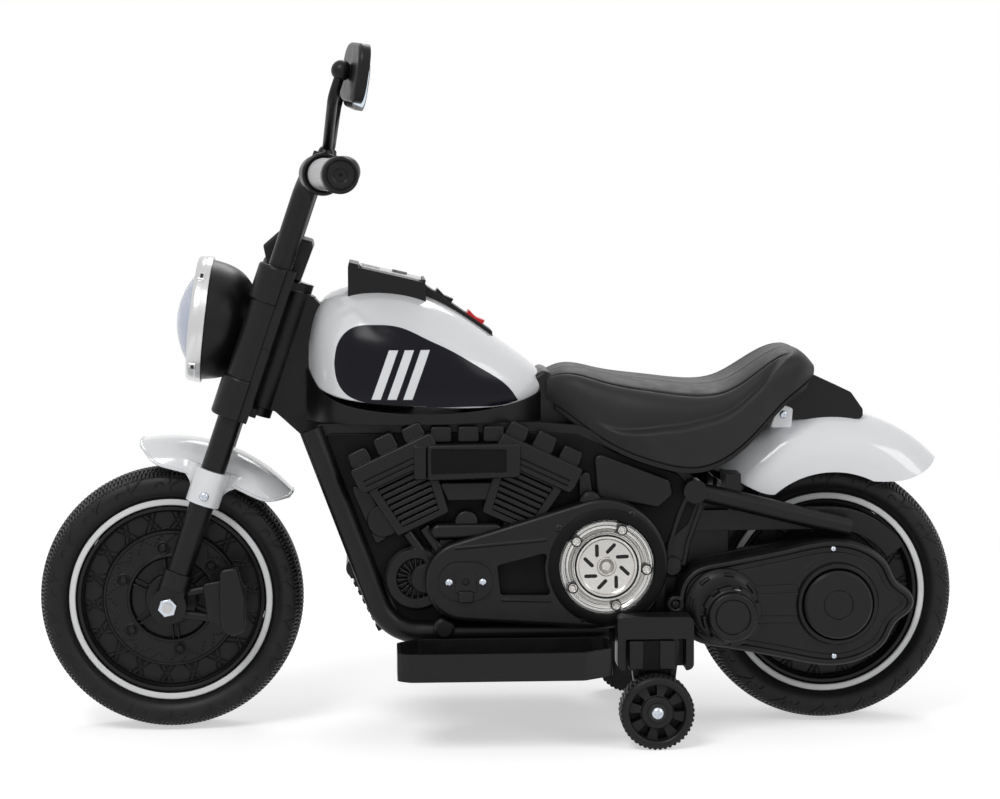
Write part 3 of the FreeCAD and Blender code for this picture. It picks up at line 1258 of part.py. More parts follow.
def finned_cylinder(foot_x, lean_deg):
    """One leaning engine cylinder with its fins, head and rocker boxes."""
    foot = BARREL_FOOT_WIDTH / 2
    top = BARREL_HEAD_WIDTH / 2
    pieces = [relief([(-foot, 0), (foot, 0), (top, BARREL_HEIGHT), (-top, BARREL_HEIGHT)], BARREL_RELIEF)]
    pitch = BARREL_HEIGHT / FIN_COUNT
    for index in range(FIN_COUNT):
        low = pitch * index
        half = foot + (top - foot) * (index + 1) / FIN_COUNT
        pieces.append(bar_relief(half, low, low + FIN_THICKNESS, FIN_RELIEF))
    crown = BARREL_HEIGHT + HEAD_HEIGHT
    pieces.append(bar_relief(HEAD_WIDTH / 2, BARREL_HEIGHT, crown, HEAD_RELIEF))
    spacing = HEAD_WIDTH / ROCKER_COUNT
    for index in range(ROCKER_COUNT):
        box = bar_relief(ROCKER_WIDTH / 2, crown - ROCKER_HEIGHT, crown + ROCKER_HEIGHT, ROCKER_RELIEF)
        box.translate(ALONG * spacing * (index - (ROCKER_COUNT - 1) / 2))
        pieces.append(box)
    return [leaned(piece, foot_x, lean_deg) for piece in pieces]


def fan_ring():
    """The ribbed cooling ring in front of the primary cover."""
    centre = Vector(CHARGE_X - FAN_FORWARD, -PANEL_FACE + PANEL_THICKNESS, CHARGE_Z)
    front = Vector(centre.x, -PANEL_FACE - FAN_RELIEF, centre.z)
    disc = rod(centre, front, FAN_RADIUS)
    pieces = [disc.cut(tube(front, front + ACROSS * FAN_RELIEF / 2, FAN_RADIUS - FAN_RIB_WIDTH, FAN_BORE))]
    for index in range(FAN_RIB_COUNT):
        rib = block((FAN_BORE - FAN_RIB_WIDTH, FAN_RADIUS - FAN_RIB_WIDTH / 2), (-FAN_RELIEF, 0),
                    (-FAN_RIB_WIDTH / 2, FAN_RIB_WIDTH / 2))
        rib.rotate(ORIGIN, ACROSS, 360 * index / FAN_RIB_COUNT)
        rib.translate(Vector(centre.x, -PANEL_FACE, centre.z))
        pieces.append(rib)
    return pieces


def primary_face(inset):
    """The side-view outline of the primary cover, drawn in by an inset."""
    return belt_face(Vector(CHARGE_X, 0, CHARGE_Z), CHARGE_END_RADIUS - inset,
                     Vector(SIDE_LAMP_X, 0, SIDE_LAMP_Z), SIDE_LAMP_END_RADIUS - inset)


def engine_panel():
    """The left engine panel, one moulding with every raised form on it."""
    base = across(body_face(PANEL_INSET), -BODY_HALF, -PANEL_FACE)
    half_spacing = CYLINDER_SPACING / 2
    pieces = [base]
    pieces += finned_cylinder(ENGINE_CENTRE - half_spacing, CYLINDER_LEAN_DEG)
    pieces += finned_cylinder(ENGINE_CENTRE + half_spacing, -CYLINDER_LEAN_DEG)
    half_badge = BADGE_WIDTH / 2
    badge_top = BADGE_BOTTOM + BADGE_HEIGHT
    badge = [(ENGINE_CENTRE - half_badge, BADGE_BOTTOM), (ENGINE_CENTRE + half_badge, BADGE_BOTTOM),
             (ENGINE_CENTRE + half_badge, badge_top), (ENGINE_CENTRE - half_badge, badge_top)]
    pieces.append(side_plate(badge, BADGE_CORNER, -BODY_HALF, -PANEL_FACE - BADGE_RELIEF))
    half_capsule = CAPSULE_LENGTH / 2
    capsule = belt_face(Vector(ENGINE_CENTRE - half_capsule, 0, CAPSULE_HEIGHT), CAPSULE_RADIUS,
                        Vector(ENGINE_CENTRE + half_capsule, 0, CAPSULE_HEIGHT), CAPSULE_RADIUS)
    pieces.append(across(capsule, -BODY_HALF, -PANEL_FACE - CAPSULE_RELIEF))
    pieces += fan_ring()
    panel = [body_point(shares) for shares in SIDE_PANEL_SHARES]
    pieces.append(side_plate(panel, SIDE_PANEL_CORNER, -BODY_HALF, -PANEL_FACE - SIDE_PANEL_RELIEF))
    clear = across(primary_face(-SEAT_GAP), -PANEL_FACE, -PANEL_FACE - OVERRUN)
    start, end = strut_ends()
    knob = rod(Vector(start.x, 0, start.z), Vector(start.x, -PANEL_FACE - OVERRUN, start.z),
               STRUT_KNOB_RADIUS + SEAT_GAP)
    strut = rod(start, end, STRUT_RADIUS + SEAT_GAP)
    rail = bent_bar(rail_route(), RAIL_BEND, RAIL_RADIUS + SEAT_GAP)
    return fuse(pieces).cut(clear).cut(knob).cut(strut).cut(rail)


def primary_cover():
    """The left primary cover, hollow behind, with the cup for its round lamp."""
    cover = across(primary_face(0), -PANEL_FACE, -PRIMARY_FACE)
    cover = soften(cover, 1, -PRIMARY_FACE, PRIMARY_ROUND)
    pocket = across(primary_face(PRIMARY_WALL), -PANEL_FACE, -PRIMARY_FACE + PRIMARY_WALL)
    lamp = Vector(SIDE_LAMP_X, -PANEL_FACE, SIDE_LAMP_Z)
    face = Vector(SIDE_LAMP_X, -PRIMARY_FACE, SIDE_LAMP_Z)
    cup = rod(lamp, face, SIDE_LAMP_RADIUS + SIDE_LAMP_CUP_WALL)
    recess = rod(face, face + ACROSS * SIDE_LAMP_RECESS, SIDE_LAMP_RADIUS)
    rail = bent_bar(rail_route(), RAIL_BEND, RAIL_RADIUS + SEAT_GAP)
    return cover.cut(pocket.cut(cup)).cut(recess).cut(rail)


def side_lamp_reflector():
    """The left lamp's bright disc with its raised, slotted hub."""
    floor = Vector(SIDE_LAMP_X, -PRIMARY_FACE + SIDE_LAMP_RECESS, SIDE_LAMP_Z)
    top = floor - ACROSS * REFLECTOR_THICKNESS
    hub_top = top - ACROSS * REFLECTOR_HUB_RISE
    disc = rod(floor, top, SIDE_LAMP_RADIUS - SEAT_GAP)
    hub = rod(top, hub_top, REFLECTOR_HUB_RADIUS)
    boss = rod(hub_top, hub_top - ACROSS * REFLECTOR_BOSS_RISE, REFLECTOR_BOSS_RADIUS)
    slots = []
    for index in range(SLOT_COUNT):
        slot = block((-SLOT_LENGTH / 2, SLOT_LENGTH / 2), (-OVERRUN, REFLECTOR_HUB_RISE),
                     (-SLOT_WIDTH / 2, SLOT_WIDTH / 2))
        slot.rotate(ORIGIN, ACROSS, SLOT_SLANT_DEG)
        slot.translate(ALONG * SLOT_PLACE)
        slot.rotate(ORIGIN, ACROSS, 360 * index / SLOT_COUNT)
        slot.translate(hub_top)
        slots.append(slot)
    return fuse([disc, hub, boss]).cut(Part.makeCompound(slots))


def side_lamp_lens():
    """The left lamp's clear ring with its stepped edge and pegs."""
    floor = Vector(SIDE_LAMP_X, -PRIMARY_FACE + SIDE_LAMP_RECESS - REFLECTOR_THICKNESS, SIDE_LAMP_Z)
    face = Vector(SIDE_LAMP_X, -PRIMARY_FACE, SIDE_LAMP_Z)
    low = face + ACROSS * LENS_STEP
    inner = REFLECTOR_HUB_RADIUS + SEAT_GAP
    outer = SIDE_LAMP_RADIUS - SEAT_GAP
    pieces = [tube(floor, low, outer, inner), tube(low, face, outer, (PEG_PLACE + PEG_RADIUS + outer) / 2)]
    for index in range(PEG_COUNT):
        angle = math.radians(90 + 360 * index / PEG_COUNT)
        place = Vector(math.cos(angle), 0, math.sin(angle)) * PEG_PLACE
        pieces.append(rod(low + place, face + place, PEG_RADIUS))
    return fuse(pieces)


def charge_socket():
    """The oval plate with the charging jack in the left primary cover."""
    end = SOCKET_HEIGHT / 2
    run = SOCKET_WIDTH / 2 - end
    oval = belt_face(Vector(CHARGE_X - run, 0, CHARGE_Z), end, Vector(CHARGE_X + run, 0, CHARGE_Z), end)
    plate = across(oval, -PRIMARY_FACE, -PRIMARY_FACE - SOCKET_THICKNESS)
    face = -PRIMARY_FACE - SOCKET_THICKNESS - JACK_PAD_RISE
    half = JACK_PAD / 2
    pad = block((CHARGE_X - half, CHARGE_X + half), (face, -PRIMARY_FACE), (CHARGE_Z - half, CHARGE_Z + half))
    mouth = Vector(CHARGE_X, face, CHARGE_Z)
    back = mouth + ACROSS * (JACK_DEPTH + JACK_WALL)
    barrel = rod(mouth, back, JACK_RADIUS + JACK_WALL)
    bore = rod(mouth, mouth + ACROSS * JACK_DEPTH, JACK_RADIUS)
    return fuse([plate, pad, barrel]).cut(bore)


def primary_cover_left():
    """The left primary cover with the hole for the charging jack."""
    mouth = Vector(CHARGE_X, -PRIMARY_FACE - OVERRUN, CHARGE_Z)
    return primary_cover().cut(rod(mouth, Vector(CHARGE_X, -PANEL_FACE, CHARGE_Z),
                                   JACK_RADIUS + JACK_WALL + SEAT_GAP))


def arch_wire(x, half_width, bottom, top, width_shares, height_shares):
    """A closed arch section square to the bike's length."""
    height = top - bottom
    left = [Vector(x, -half_width * width, bottom + height * rise)
            for width, rise in zip(width_shares, height_shares)]
    right = [Vector(point.x, -point.y, point.z) for point in reversed(left)]
    points = left + [Vector(x, 0, top)] + right
    curve = Part.BSplineCurve()
    curve.interpolate(points)
    return Part.Wire([curve.toShape(), Part.LineSegment(points[-1], points[0]).toShape()])


def tank_solid(inset, drop):
    """The tank's outer form, drawn in by an inset and lowered at its open bottom."""
    wires = []
    last = len(TANK_X_SHARES) - 1
    for index, share in enumerate(TANK_X_SHARES):
        x = TANK_NOSE + TANK_LENGTH * share + inset * (index == 0) - inset * (index == last)
        wires.append(arch_wire(x, TANK_WIDTH / 2 * TANK_WIDTH_SHARES[index] - inset,
                               TANK_BOTTOM + TANK_HEIGHT * TANK_BOTTOM_SHARES[index] - drop,
                               TANK_BOTTOM + TANK_HEIGHT * TANK_TOP_SHARES[index] - inset,
                               ARCH_WIDTH_SHARES, ARCH_HEIGHT_SHARES))
    return Part.makeLoft(wires, True, False)


def dash_outline(inset):
    """The dash box and the sloping switch strip as two solids, drawn out by an inset."""
    x_from = DASH_FRONT
    x_to = DASH_FRONT + DASH_LENGTH
    z_to = DASH_FRONT_TOP - DASH_DROP
    box = [(x_from, DASH_FRONT_TOP - DASH_SINK), (x_from, DASH_FRONT_TOP), (x_to, z_to),
           (x_to, z_to - DASH_SINK)]
    z_strip = z_to - STRIP_STEP
    x_end = x_to + STRIP_LENGTH
    z_end = z_strip - STRIP_DROP
    strip = [(x_to - STRIP_STEP, z_strip - STRIP_SINK), (x_to - STRIP_STEP, z_strip), (x_to, z_strip),
             (x_end, z_end), (x_end, z_end - STRIP_SINK)]
    solids = []
    for outline, width in ((box, DASH_WIDTH), (strip, STRIP_SPAN)):
        face = side_face(outline, DASH_ROUND)
        if inset:
            face = face.makeOffset2D(inset)
        solids.append(across(face, -width / 2 - inset, width / 2 + inset))
    return solids


def head_notch():
    """The room that the tank leaves for the head tube, its web and the yoke above."""
    half = HEAD_WEB_WIDTH / 2 + TANK_NOTCH_GAP
    swept = HEAD_TUBE_RADIUS + TANK_NOTCH_GAP
    shaft = rod(fork_point(STEM_OFFSET, 0, LEG_START), fork_point(STEM_OFFSET, 0, COVER_TOP), swept)
    return fuse(head_web(half, TANK_NOTCH_GAP) + [shaft])


def tank_shell():
    """The tank's white shell, open below, with openings for the head and the dash."""
    shell = tank_solid(0, 0).cut(tank_solid(TANK_WALL, OVERRUN))
    shell = shell.cut(head_notch())
    for solid in dash_outline(SEAT_GAP):
        shell = shell.cut(solid)
        solid.translate(UP * SWITCH_RISE)
        shell = shell.cut(solid)
    return shell


def tank_base():
    """The dark tray under the tank that follows its lower edge."""
    wires = []
    last = len(TANK_X_SHARES) - 1
    for index, share in enumerate(TANK_X_SHARES):
        lip = TANK_BASE_LIP * ((index == last) - (index == 0))
        x = TANK_NOSE + TANK_LENGTH * share + lip
        half = TANK_WIDTH / 2 * TANK_WIDTH_SHARES[index] * ARCH_WIDTH_SHARES[0] + TANK_BASE_LIP
        top = TANK_BOTTOM + TANK_HEIGHT * TANK_BOTTOM_SHARES[index]
        low = BODY_TOP
        corners = [Vector(x, -half, low), Vector(x, half, low), Vector(x, half, top), Vector(x, -half, top)]
        wires.append(Part.makePolygon(corners + corners[:1]))
    tray = Part.makeLoft(wires, True, False)
    return tray.cut(head_notch()).cut(tank_solid(0, 0))


def strip_place(share, depth):
    """A point on the switch strip's slope, below its surface by a depth."""
    slope = math.atan2(STRIP_DROP, STRIP_LENGTH)
    start = Vector(DASH_FRONT + DASH_LENGTH, 0, DASH_FRONT_TOP - DASH_DROP - STRIP_STEP)
    point = start + Vector(STRIP_LENGTH, 0, -STRIP_DROP) * share
    return Placement(point - Vector(math.sin(slope), 0, math.cos(slope)) * depth,
                     Rotation(ACROSS, math.degrees(slope)))


def switch_well(share):
    """The well of one rocker switch and the holes for its pins."""
    half = SWITCH_LENGTH / 2 + SWITCH_WELL_GAP
    side = SWITCH_WIDTH / 2 + BUTTON_GAP
    well = block((-half, half), (-side, side), (-SWITCH_DEPTH - SWITCH_WELL_GAP, OVERRUN))
    reach = SWITCH_WIDTH / 2 + SWITCH_PIN_LENGTH + BUTTON_GAP
    holes = rod(ACROSS * -reach, ACROSS * reach, SWITCH_PIN_RADIUS + RUNNING_GAP)
    holes.translate(UP * -SWITCH_RISE)
    shape = fuse([well, holes])
    shape.Placement = strip_place(share, 0)
    return shape


def rocker_switch(share):
    """A rocker switch with its two pins, a shallow valley across its top."""
    half = SWITCH_LENGTH / 2
    outline = [Vector(-half, 0, SWITCH_RISE), Vector(0, 0, SWITCH_RISE / 2), Vector(half, 0, SWITCH_RISE),
               Vector(half, 0, -SWITCH_DEPTH + SWITCH_RISE), Vector(0, 0, -SWITCH_DEPTH),
               Vector(-half, 0, -SWITCH_DEPTH + SWITCH_RISE)]
    body = across(Part.Face(Part.makePolygon(outline + outline[:1])), -SWITCH_WIDTH / 2, SWITCH_WIDTH / 2)
    reach = SWITCH_WIDTH / 2 + SWITCH_PIN_LENGTH
    pins = rod(ACROSS * -reach, ACROSS * reach, SWITCH_PIN_RADIUS)
    pins.translate(UP * -SWITCH_RISE)
    shape = fuse([body, pins])
    shape.Placement = strip_place(share, 0)
    return shape


def button_place():
    """The music button's seat on the sloping dash, with Z along its travel."""
    slope = math.atan2(DASH_DROP, DASH_LENGTH)
    front = Vector(DASH_FRONT, 0, DASH_FRONT_TOP)
    point = front + Vector(DASH_LENGTH, 0, -DASH_DROP) * BUTTON_PLACE_SHARE
    return Placement(point, Rotation(ACROSS, math.degrees(slope)))


def music_button():
    """The music button, proud of the dash by its rise."""
    button = rod(UP * -BUTTON_DEPTH, UP * BUTTON_RISE, BUTTON_RADIUS)
    button.Placement = button_place()
    return button


def dash_box():
    """The dash box and the switch strip, with wells for the switches and the button."""
    hole = rod(UP * -(BUTTON_DEPTH + BUTTON_TRAVEL + BUTTON_GAP), UP * OVERRUN, BUTTON_RADIUS + BUTTON_GAP)
    hole.Placement = button_place()
    wells = [switch_well(share) for share in SWITCH_PLACE_SHARES]
    return fuse(dash_outline(0)).cut(Part.makeCompound(wells)).cut(hole)


def seat_solid(inset, drop):
    """The saddle's outer form, drawn in by an inset and lowered at its open bottom."""
    wires = []
    last = len(SEAT_X_SHARES) - 1
    for index, share in enumerate(SEAT_X_SHARES):
        x = SEAT_FRONT + SEAT_LENGTH * share + inset * (index == 0) - inset * (index == last)
        wires.append(arch_wire(x, SEAT_WIDTH / 2 * SEAT_WIDTH_SHARES[index] - inset,
                               SEAT_BOTTOM + SEAT_HEIGHT * SEAT_BOTTOM_SHARES[index] - drop,
                               SEAT_BOTTOM + SEAT_HEIGHT * SEAT_TOP_SHARES[index] - inset,
                               SADDLE_WIDTH_SHARES, SADDLE_HEIGHT_SHARES))
    return Part.makeLoft(wires, True, False)


def rear_fender_solid(inset, skirt):
    """The rear fender's filled arch, drawn in by an inset."""
    section = arch_section(REAR_FENDER_WIDTH / 2 - inset, REAR_FENDER_RADIUS - inset,
                           REAR_FENDER_ROUND - inset, skirt)
    spare = REAR_FENDER_SWEEP_DEG / 4 if inset > 0 else 0
    return arch_solid(section, FENDER_CENTRE, REAR_FENDER_FROM_DEG - spare, REAR_FENDER_SWEEP_DEG + 2 * spare)


def rear_fender():
    """The rear fender with its scalloped lower edge."""
    hollow = rear_fender_solid(FENDER_WALL, REAR_FENDER_SKIRT - OVERRUN)
    shell = rear_fender_solid(0, REAR_FENDER_SKIRT).cut(hollow)
    edge = [FENDER_CENTRE + Vector(x, 0, z) * REAR_FENDER_RADIUS
            for x, z in zip(REAR_EDGE_X_SHARES, REAR_EDGE_Z_SHARES)]
    reach = REAR_FENDER_RADIUS * 2
    far = [FENDER_CENTRE + Vector(reach, 0, edge[-1].z - FENDER_CENTRE.z),
           FENDER_CENTRE + Vector(reach, 0, reach), FENDER_CENTRE + Vector(-reach, 0, reach),
           FENDER_CENTRE + Vector(-reach, 0, edge[0].z - FENDER_CENTRE.z)]
    return shell.common(curve_region(edge, far, REAR_FENDER_WIDTH))


def tail_box():
    """The tail box on the crown of the rear fender."""
    x_from = SEAT_FRONT + SEAT_LENGTH - TAIL_OVERLAP
    z_from = FENDER_CENTRE.z + REAR_FENDER_RADIUS - TAIL_SINK
    outline = [(x_from + TAIL_LENGTH * x, z_from + TAIL_HEIGHT * z) for x, z in TAIL_SHARES]
    tail = side_plate(outline, TAIL_ROUND, -TAIL_WIDTH / 2, TAIL_WIDTH / 2)
    return tail.cut(rear_fender_solid(-SEAT_GAP, REAR_FENDER_SKIRT)).cut(seat_solid(-SEAT_GAP, 0))


def seat():
    """The saddle, a hollow moulding with ribs that stand on the body."""
    slabs = []
    legs = []
    half = BODY_HALF - BODY_CORNER
    reach = seat_solid(SEAT_WALL, OVERRUN)
    foot = BODY_BOTTOM + BODY_HEIGHT * max(BODY_OUTLINE_SHARES)[1]
    for share in SEAT_LEG_SHARES:
        x = SEAT_FRONT + (BODY_END - SEAT_FRONT) * share
        x_range = (x - SEAT_RIB / 2, x + SEAT_RIB / 2)
        slabs.append(block(x_range, (-SEAT_WIDTH, SEAT_WIDTH), (0, WHEELBASE)))
        legs.append(block(x_range, (-half, half), (foot, SEAT_BOTTOM + SEAT_HEIGHT)).common(reach))
    hollow = reach.cut(Part.makeCompound(slabs))
    clear = across(body_face(-SEAT_GAP), -BODY_HALF - SEAT_GAP, BODY_HALF + SEAT_GAP)
    below = across(body_face(0), -BODY_WIDTH, BODY_WIDTH)
    below.translate(UP * -BODY_WALL)
    saddle = seat_solid(0, 0).cut(hollow)
    saddle = fuse([saddle] + [leg.cut(below) for leg in legs])
    return saddle.cut(clear).cut(rear_fender_solid(-SEAT_GAP, REAR_FENDER_SKIRT))


def drive_cover(motor_hole, boss_reach):
    """A drive cover on its plate, left side, with the hub ring and the axle boss."""
    inner = -REAR_PLATE_OUTER
    outer = -DRIVE_OUTER
    shell = soften(across(drive_outline(0), inner, outer), 1, outer, DRIVE_ROUND)
    ear_place = REAR_AXLE + ALONG * DRIVE_EAR_REACH
    ear = rod(Vector(ear_place.x, inner, ear_place.z), Vector(ear_place.x, outer, ear_place.z),
              DRIVE_EAR_RADIUS)
    shell = fuse([shell, soften(ear, 1, outer, DRIVE_ROUND)])
    hollow = across(drive_outline(DRIVE_WALL), inner, outer + DRIVE_WALL)
    face = REAR_AXLE + ACROSS * outer
    ring = tube(face + ACROSS * DRIVE_WALL, face - ACROSS * HUB_RING_RISE, HUB_RING_RADIUS,
                HUB_RING_RADIUS - HUB_RING_WALL)
    boss = rod(face + ACROSS * DRIVE_WALL / 2, REAR_AXLE - ACROSS * boss_reach, AXLE_BOSS_RADIUS)
    bore = rod(REAR_AXLE, REAR_AXLE + ACROSS * (outer + DRIVE_WALL), REAR_AXLE_RADIUS + RUNNING_GAP)
    cover = fuse([shell.cut(hollow), ring, boss]).cut(bore)
    if not motor_hole:
        return cover
    motor = Vector(MOTOR_X, 0, REAR_AXLE.z)
    collar = rod(motor + ACROSS * outer, motor + ACROSS * (outer + MOTOR_CAP_WALL * 4),
                 MOTOR_RADIUS + DRIVE_WALL)
    pin_top = Vector(IDLER_X, outer + DRIVE_WALL / 2, REAR_AXLE.z)
    pin = rod(pin_top, Vector(IDLER_X, inner, REAR_AXLE.z), PIN_RADIUS)
    can = rod(motor, motor - ACROSS * OVERRUN * 3, MOTOR_RADIUS + SEAT_GAP)
    return fuse([cover, collar, pin]).cut(can)


def drive_caps():
    """The hub cap and the castellated motor cap of the left drive cover."""
    face = REAR_AXLE - ACROSS * DRIVE_OUTER
    top = face - ACROSS * HUB_CAP_RISE
    cap = rod(face, top, HUB_RING_RADIUS - HUB_RING_WALL - SEAT_GAP)
    cap = soften(cap, 1, top.y, HUB_CAP_ROUND)
    hub = fuse([cap, rod(top, top - ACROSS * HUB_CAP_DISC_RISE, HUB_CAP_DISC_RADIUS)])
    foot = Vector(MOTOR_X, -DRIVE_OUTER, REAR_AXLE.z)
    end = foot - ACROSS * MOTOR_CAP_REACH
    base = Part.makeCone(MOTOR_BASE_RADIUS, MOTOR_CAP_RADIUS, MOTOR_BASE_RISE, foot, -ACROSS)
    barrel = rod(foot, end, MOTOR_CAP_RADIUS)
    hollow = rod(foot, Vector(foot.x, MOTOR_FACE_Y - MOTOR_LENGTH, foot.z), MOTOR_RADIUS + SEAT_GAP)
    notches = []
    for index in range(MOTOR_CAP_NOTCHES):
        notch = block((MOTOR_CAP_RADIUS - MOTOR_CAP_NOTCH_DEPTH, MOTOR_CAP_RADIUS + OVERRUN),
                      (-MOTOR_BASE_RISE * 2, OVERRUN),
                      (-MOTOR_CAP_NOTCH_WIDTH / 2, MOTOR_CAP_NOTCH_WIDTH / 2))
        notch.rotate(ORIGIN, ACROSS, 360 * index / MOTOR_CAP_NOTCHES)
        notch.translate(end + ACROSS * MOTOR_BASE_RISE * 2 - ACROSS * OVERRUN)
        notches.append(notch)
    return [hub, fuse([base, barrel]).cut(hollow).cut(Part.makeCompound(notches))]


def involute(angle):
    """The involute function of an angle."""
    return math.tan(angle) - angle


def gear_face(module, teeth, phase_deg):
    """A spur gear's side view about the origin, one tooth centred at the phase angle."""
    pitch = module * teeth / 2
    base = pitch * math.cos(math.radians(PRESSURE_DEG))
    tip = pitch + module
    root = pitch - module - module / 4
    half_pitch = math.pi / (2 * teeth) * TOOTH_THIN_SHARE + involute(math.radians(PRESSURE_DEG))
    start = max(base, root)
    radii = [start + (tip - start) * step / 4 for step in range(5)]
    flank = [(radius, half_pitch - involute(math.acos(min(1, base / radius)))) for radius in radii]
    if root < base:
        flank.insert(0, (root, flank[0][1]))
    points = []
    for index in range(teeth):
        middle = math.radians(phase_deg) + 2 * math.pi * index / teeth
        for radius, half in flank:
            points.append(polar(ORIGIN, math.degrees(middle - half), radius))
        for radius, half in reversed(flank):
            points.append(polar(ORIGIN, math.degrees(middle + half), radius))
    return Part.Face(Part.makePolygon(points + points[:1]))


def gear(module, teeth, phase_deg, x, y):
    """A spur gear on a shaft across the bike, from y towards the left."""
    solid = across(gear_face(module, teeth, phase_deg), y, y - GEAR_WIDTH)
    solid.translate(Vector(x, 0, REAR_AXLE.z))
    return solid


def drive_gear():
    """The wheel's gear with the sleeve that meets the rear hub."""
    wheel = gear(MODULE_WHEEL, DRIVE_GEAR_TEETH, 180 + 180 / DRIVE_GEAR_TEETH, REAR_AXLE.x, SECOND_GEAR_Y)
    sleeve = rod(REAR_AXLE - ACROSS * REAR_HUB_FACE, REAR_AXLE + ACROSS * SECOND_GEAR_Y, DRIVE_SLEEVE_RADIUS)
    bore = rod(REAR_AXLE, REAR_AXLE - ACROSS * DRIVE_OUTER, REAR_AXLE_RADIUS + RUNNING_GAP)
    return fuse([wheel, sleeve]).cut(bore)


def reduction_gear():
    """The two-step gear on its pin between the motor and the wheel."""
    large = gear(MODULE_MOTOR, REDUCTION_TEETH, 180 + 180 / REDUCTION_TEETH, IDLER_X, FIRST_GEAR_Y)
    small = gear(MODULE_WHEEL, SMALL_TEETH, 0, IDLER_X, SECOND_GEAR_Y)
    centre = Vector(IDLER_X, FIRST_GEAR_Y - GEAR_WIDTH, REAR_AXLE.z)
    neck = rod(centre, Vector(IDLER_X, SECOND_GEAR_Y, REAR_AXLE.z), PIN_RADIUS * 2)
    pin = rod(centre + ACROSS * OVERRUN, centre - ACROSS * OVERRUN, PIN_RADIUS + RUNNING_GAP)
    return fuse([large, small, neck]).cut(pin)


def motor_pinion():
    """The motor's pinion on its shaft."""
    wheel = gear(MODULE_MOTOR, PINION_TEETH, 0, MOTOR_X, FIRST_GEAR_Y)
    start = Vector(MOTOR_X, FIRST_GEAR_Y - GEAR_WIDTH, REAR_AXLE.z)
    shaft = rod(start, Vector(MOTOR_X, MOTOR_FACE_Y - MOTOR_LENGTH / 2, REAR_AXLE.z), MOTOR_SHAFT_RADIUS)
    return fuse([wheel, shaft])


def drive_motor():
    """The motor can in the left drive cover, bored for its shaft."""
    face = Vector(MOTOR_X, MOTOR_FACE_Y, REAR_AXLE.z)
    can = rod(face, face - ACROSS * MOTOR_LENGTH, MOTOR_RADIUS)
    bore = rod(face, face - ACROSS * (MOTOR_LENGTH / 2 + MOVING_GAP), MOTOR_SHAFT_RADIUS + RUNNING_GAP)
    return can.cut(bore)


def footrest_points():
    """The left footrest's plan outline."""
    return [(FOOTREST_FRONT + FOOTREST_LENGTH * x, -FOOTREST_INNER - FOOTREST_SPAN * y)
            for x, y in FOOTREST_SHARES]


FLOOR_TOP = FOOTREST_BOTTOM + FOOTREST_FLOOR


def footrest():
    """The left footrest, a tray with drain slots on a flange under the body."""
    outer = plan_plate(footrest_points(), FOOTREST_CORNER, FOOTREST_BOTTOM, FOOTREST_BOTTOM + FOOTREST_HEIGHT)
    face = Part.Face(rounded_wire([Vector(x, y, FLOOR_TOP) for x, y in footrest_points()], FOOTREST_CORNER))
    tray = outer.cut(face.makeOffset2D(-FOOTREST_WALL).extrude(UP * FOOTREST_HEIGHT))
    middle = FOOTREST_FRONT + FOOTREST_LENGTH / 2
    half = FOOTREST_FLANGE_LENGTH / 2
    flange = block((middle - half, middle + half),
                   (-FOOTREST_INNER - FOOTREST_WALL, -BODY_HALF + FOOTREST_FLANGE_REACH),
                   (BODY_BOTTOM - FOOTREST_HEIGHT / 2, BODY_BOTTOM))
    slots = []
    for column in range(GRATE_COLUMNS):
        for row in range(GRATE_ROWS):
            x = FOOTREST_FRONT + FOOTREST_LENGTH * (column + 1) / (GRATE_COLUMNS + 1)
            y = -FOOTREST_INNER - FOOTREST_SPAN * (row + 1) / (GRATE_ROWS + 1)
            slots.append(block((x - GRATE_SLOT_LENGTH / 2, x + GRATE_SLOT_LENGTH / 2),
                               (y - GRATE_SLOT_WIDTH / 2, y + GRATE_SLOT_WIDTH / 2), (0, FLOOR_TOP + TOUCH)))
    return fuse([tray, flange]).cut(Part.makeCompound(slots))


PEDAL_PIN = Vector(PEDAL_HINGE_X, FOOTREST_INNER + FOOTREST_SPAN / 2, FLOOR_TOP + PEDAL_PIN_HEIGHT)


def footrest_right():
    """The right footrest with the two lugs of the accelerator pedal."""
    pieces = [mirrored(footrest())]
    inner = PEDAL_WIDTH / 2 + PEDAL_SIDE_GAP
    for side in (-1, 1):
        y_range = sorted((PEDAL_PIN.y + side * inner, PEDAL_PIN.y + side * (inner + PEDAL_LUG_WALL)))
        half = PEDAL_PIN_RADIUS + PEDAL_LUG_WALL
        pieces.append(block((PEDAL_PIN.x - half, PEDAL_PIN.x + half), y_range,
                            (FLOOR_TOP, PEDAL_PIN.z + half)))
    reach = ACROSS * (inner + PEDAL_LUG_WALL)
    return fuse(pieces).cut(rod(PEDAL_PIN - reach, PEDAL_PIN + reach, PEDAL_PIN_RADIUS + RUNNING_GAP))


def accelerator_pedal():
    """The accelerator pedal, raised at its front, with its hinge pin."""
    half = PEDAL_THICKNESS / 2
    pad = block((-PEDAL_LENGTH, half), (-PEDAL_WIDTH / 2, PEDAL_WIDTH / 2), (-half, half))
    reach = PEDAL_WIDTH / 2 + PEDAL_SIDE_GAP + PEDAL_LUG_WALL
    pedal = fuse([pad, rod(ACROSS * -reach, ACROSS * reach, PEDAL_PIN_RADIUS)])
    pedal.Placement = Placement(PEDAL_PIN, Rotation(ACROSS, PEDAL_REST_DEG))
    return pedal


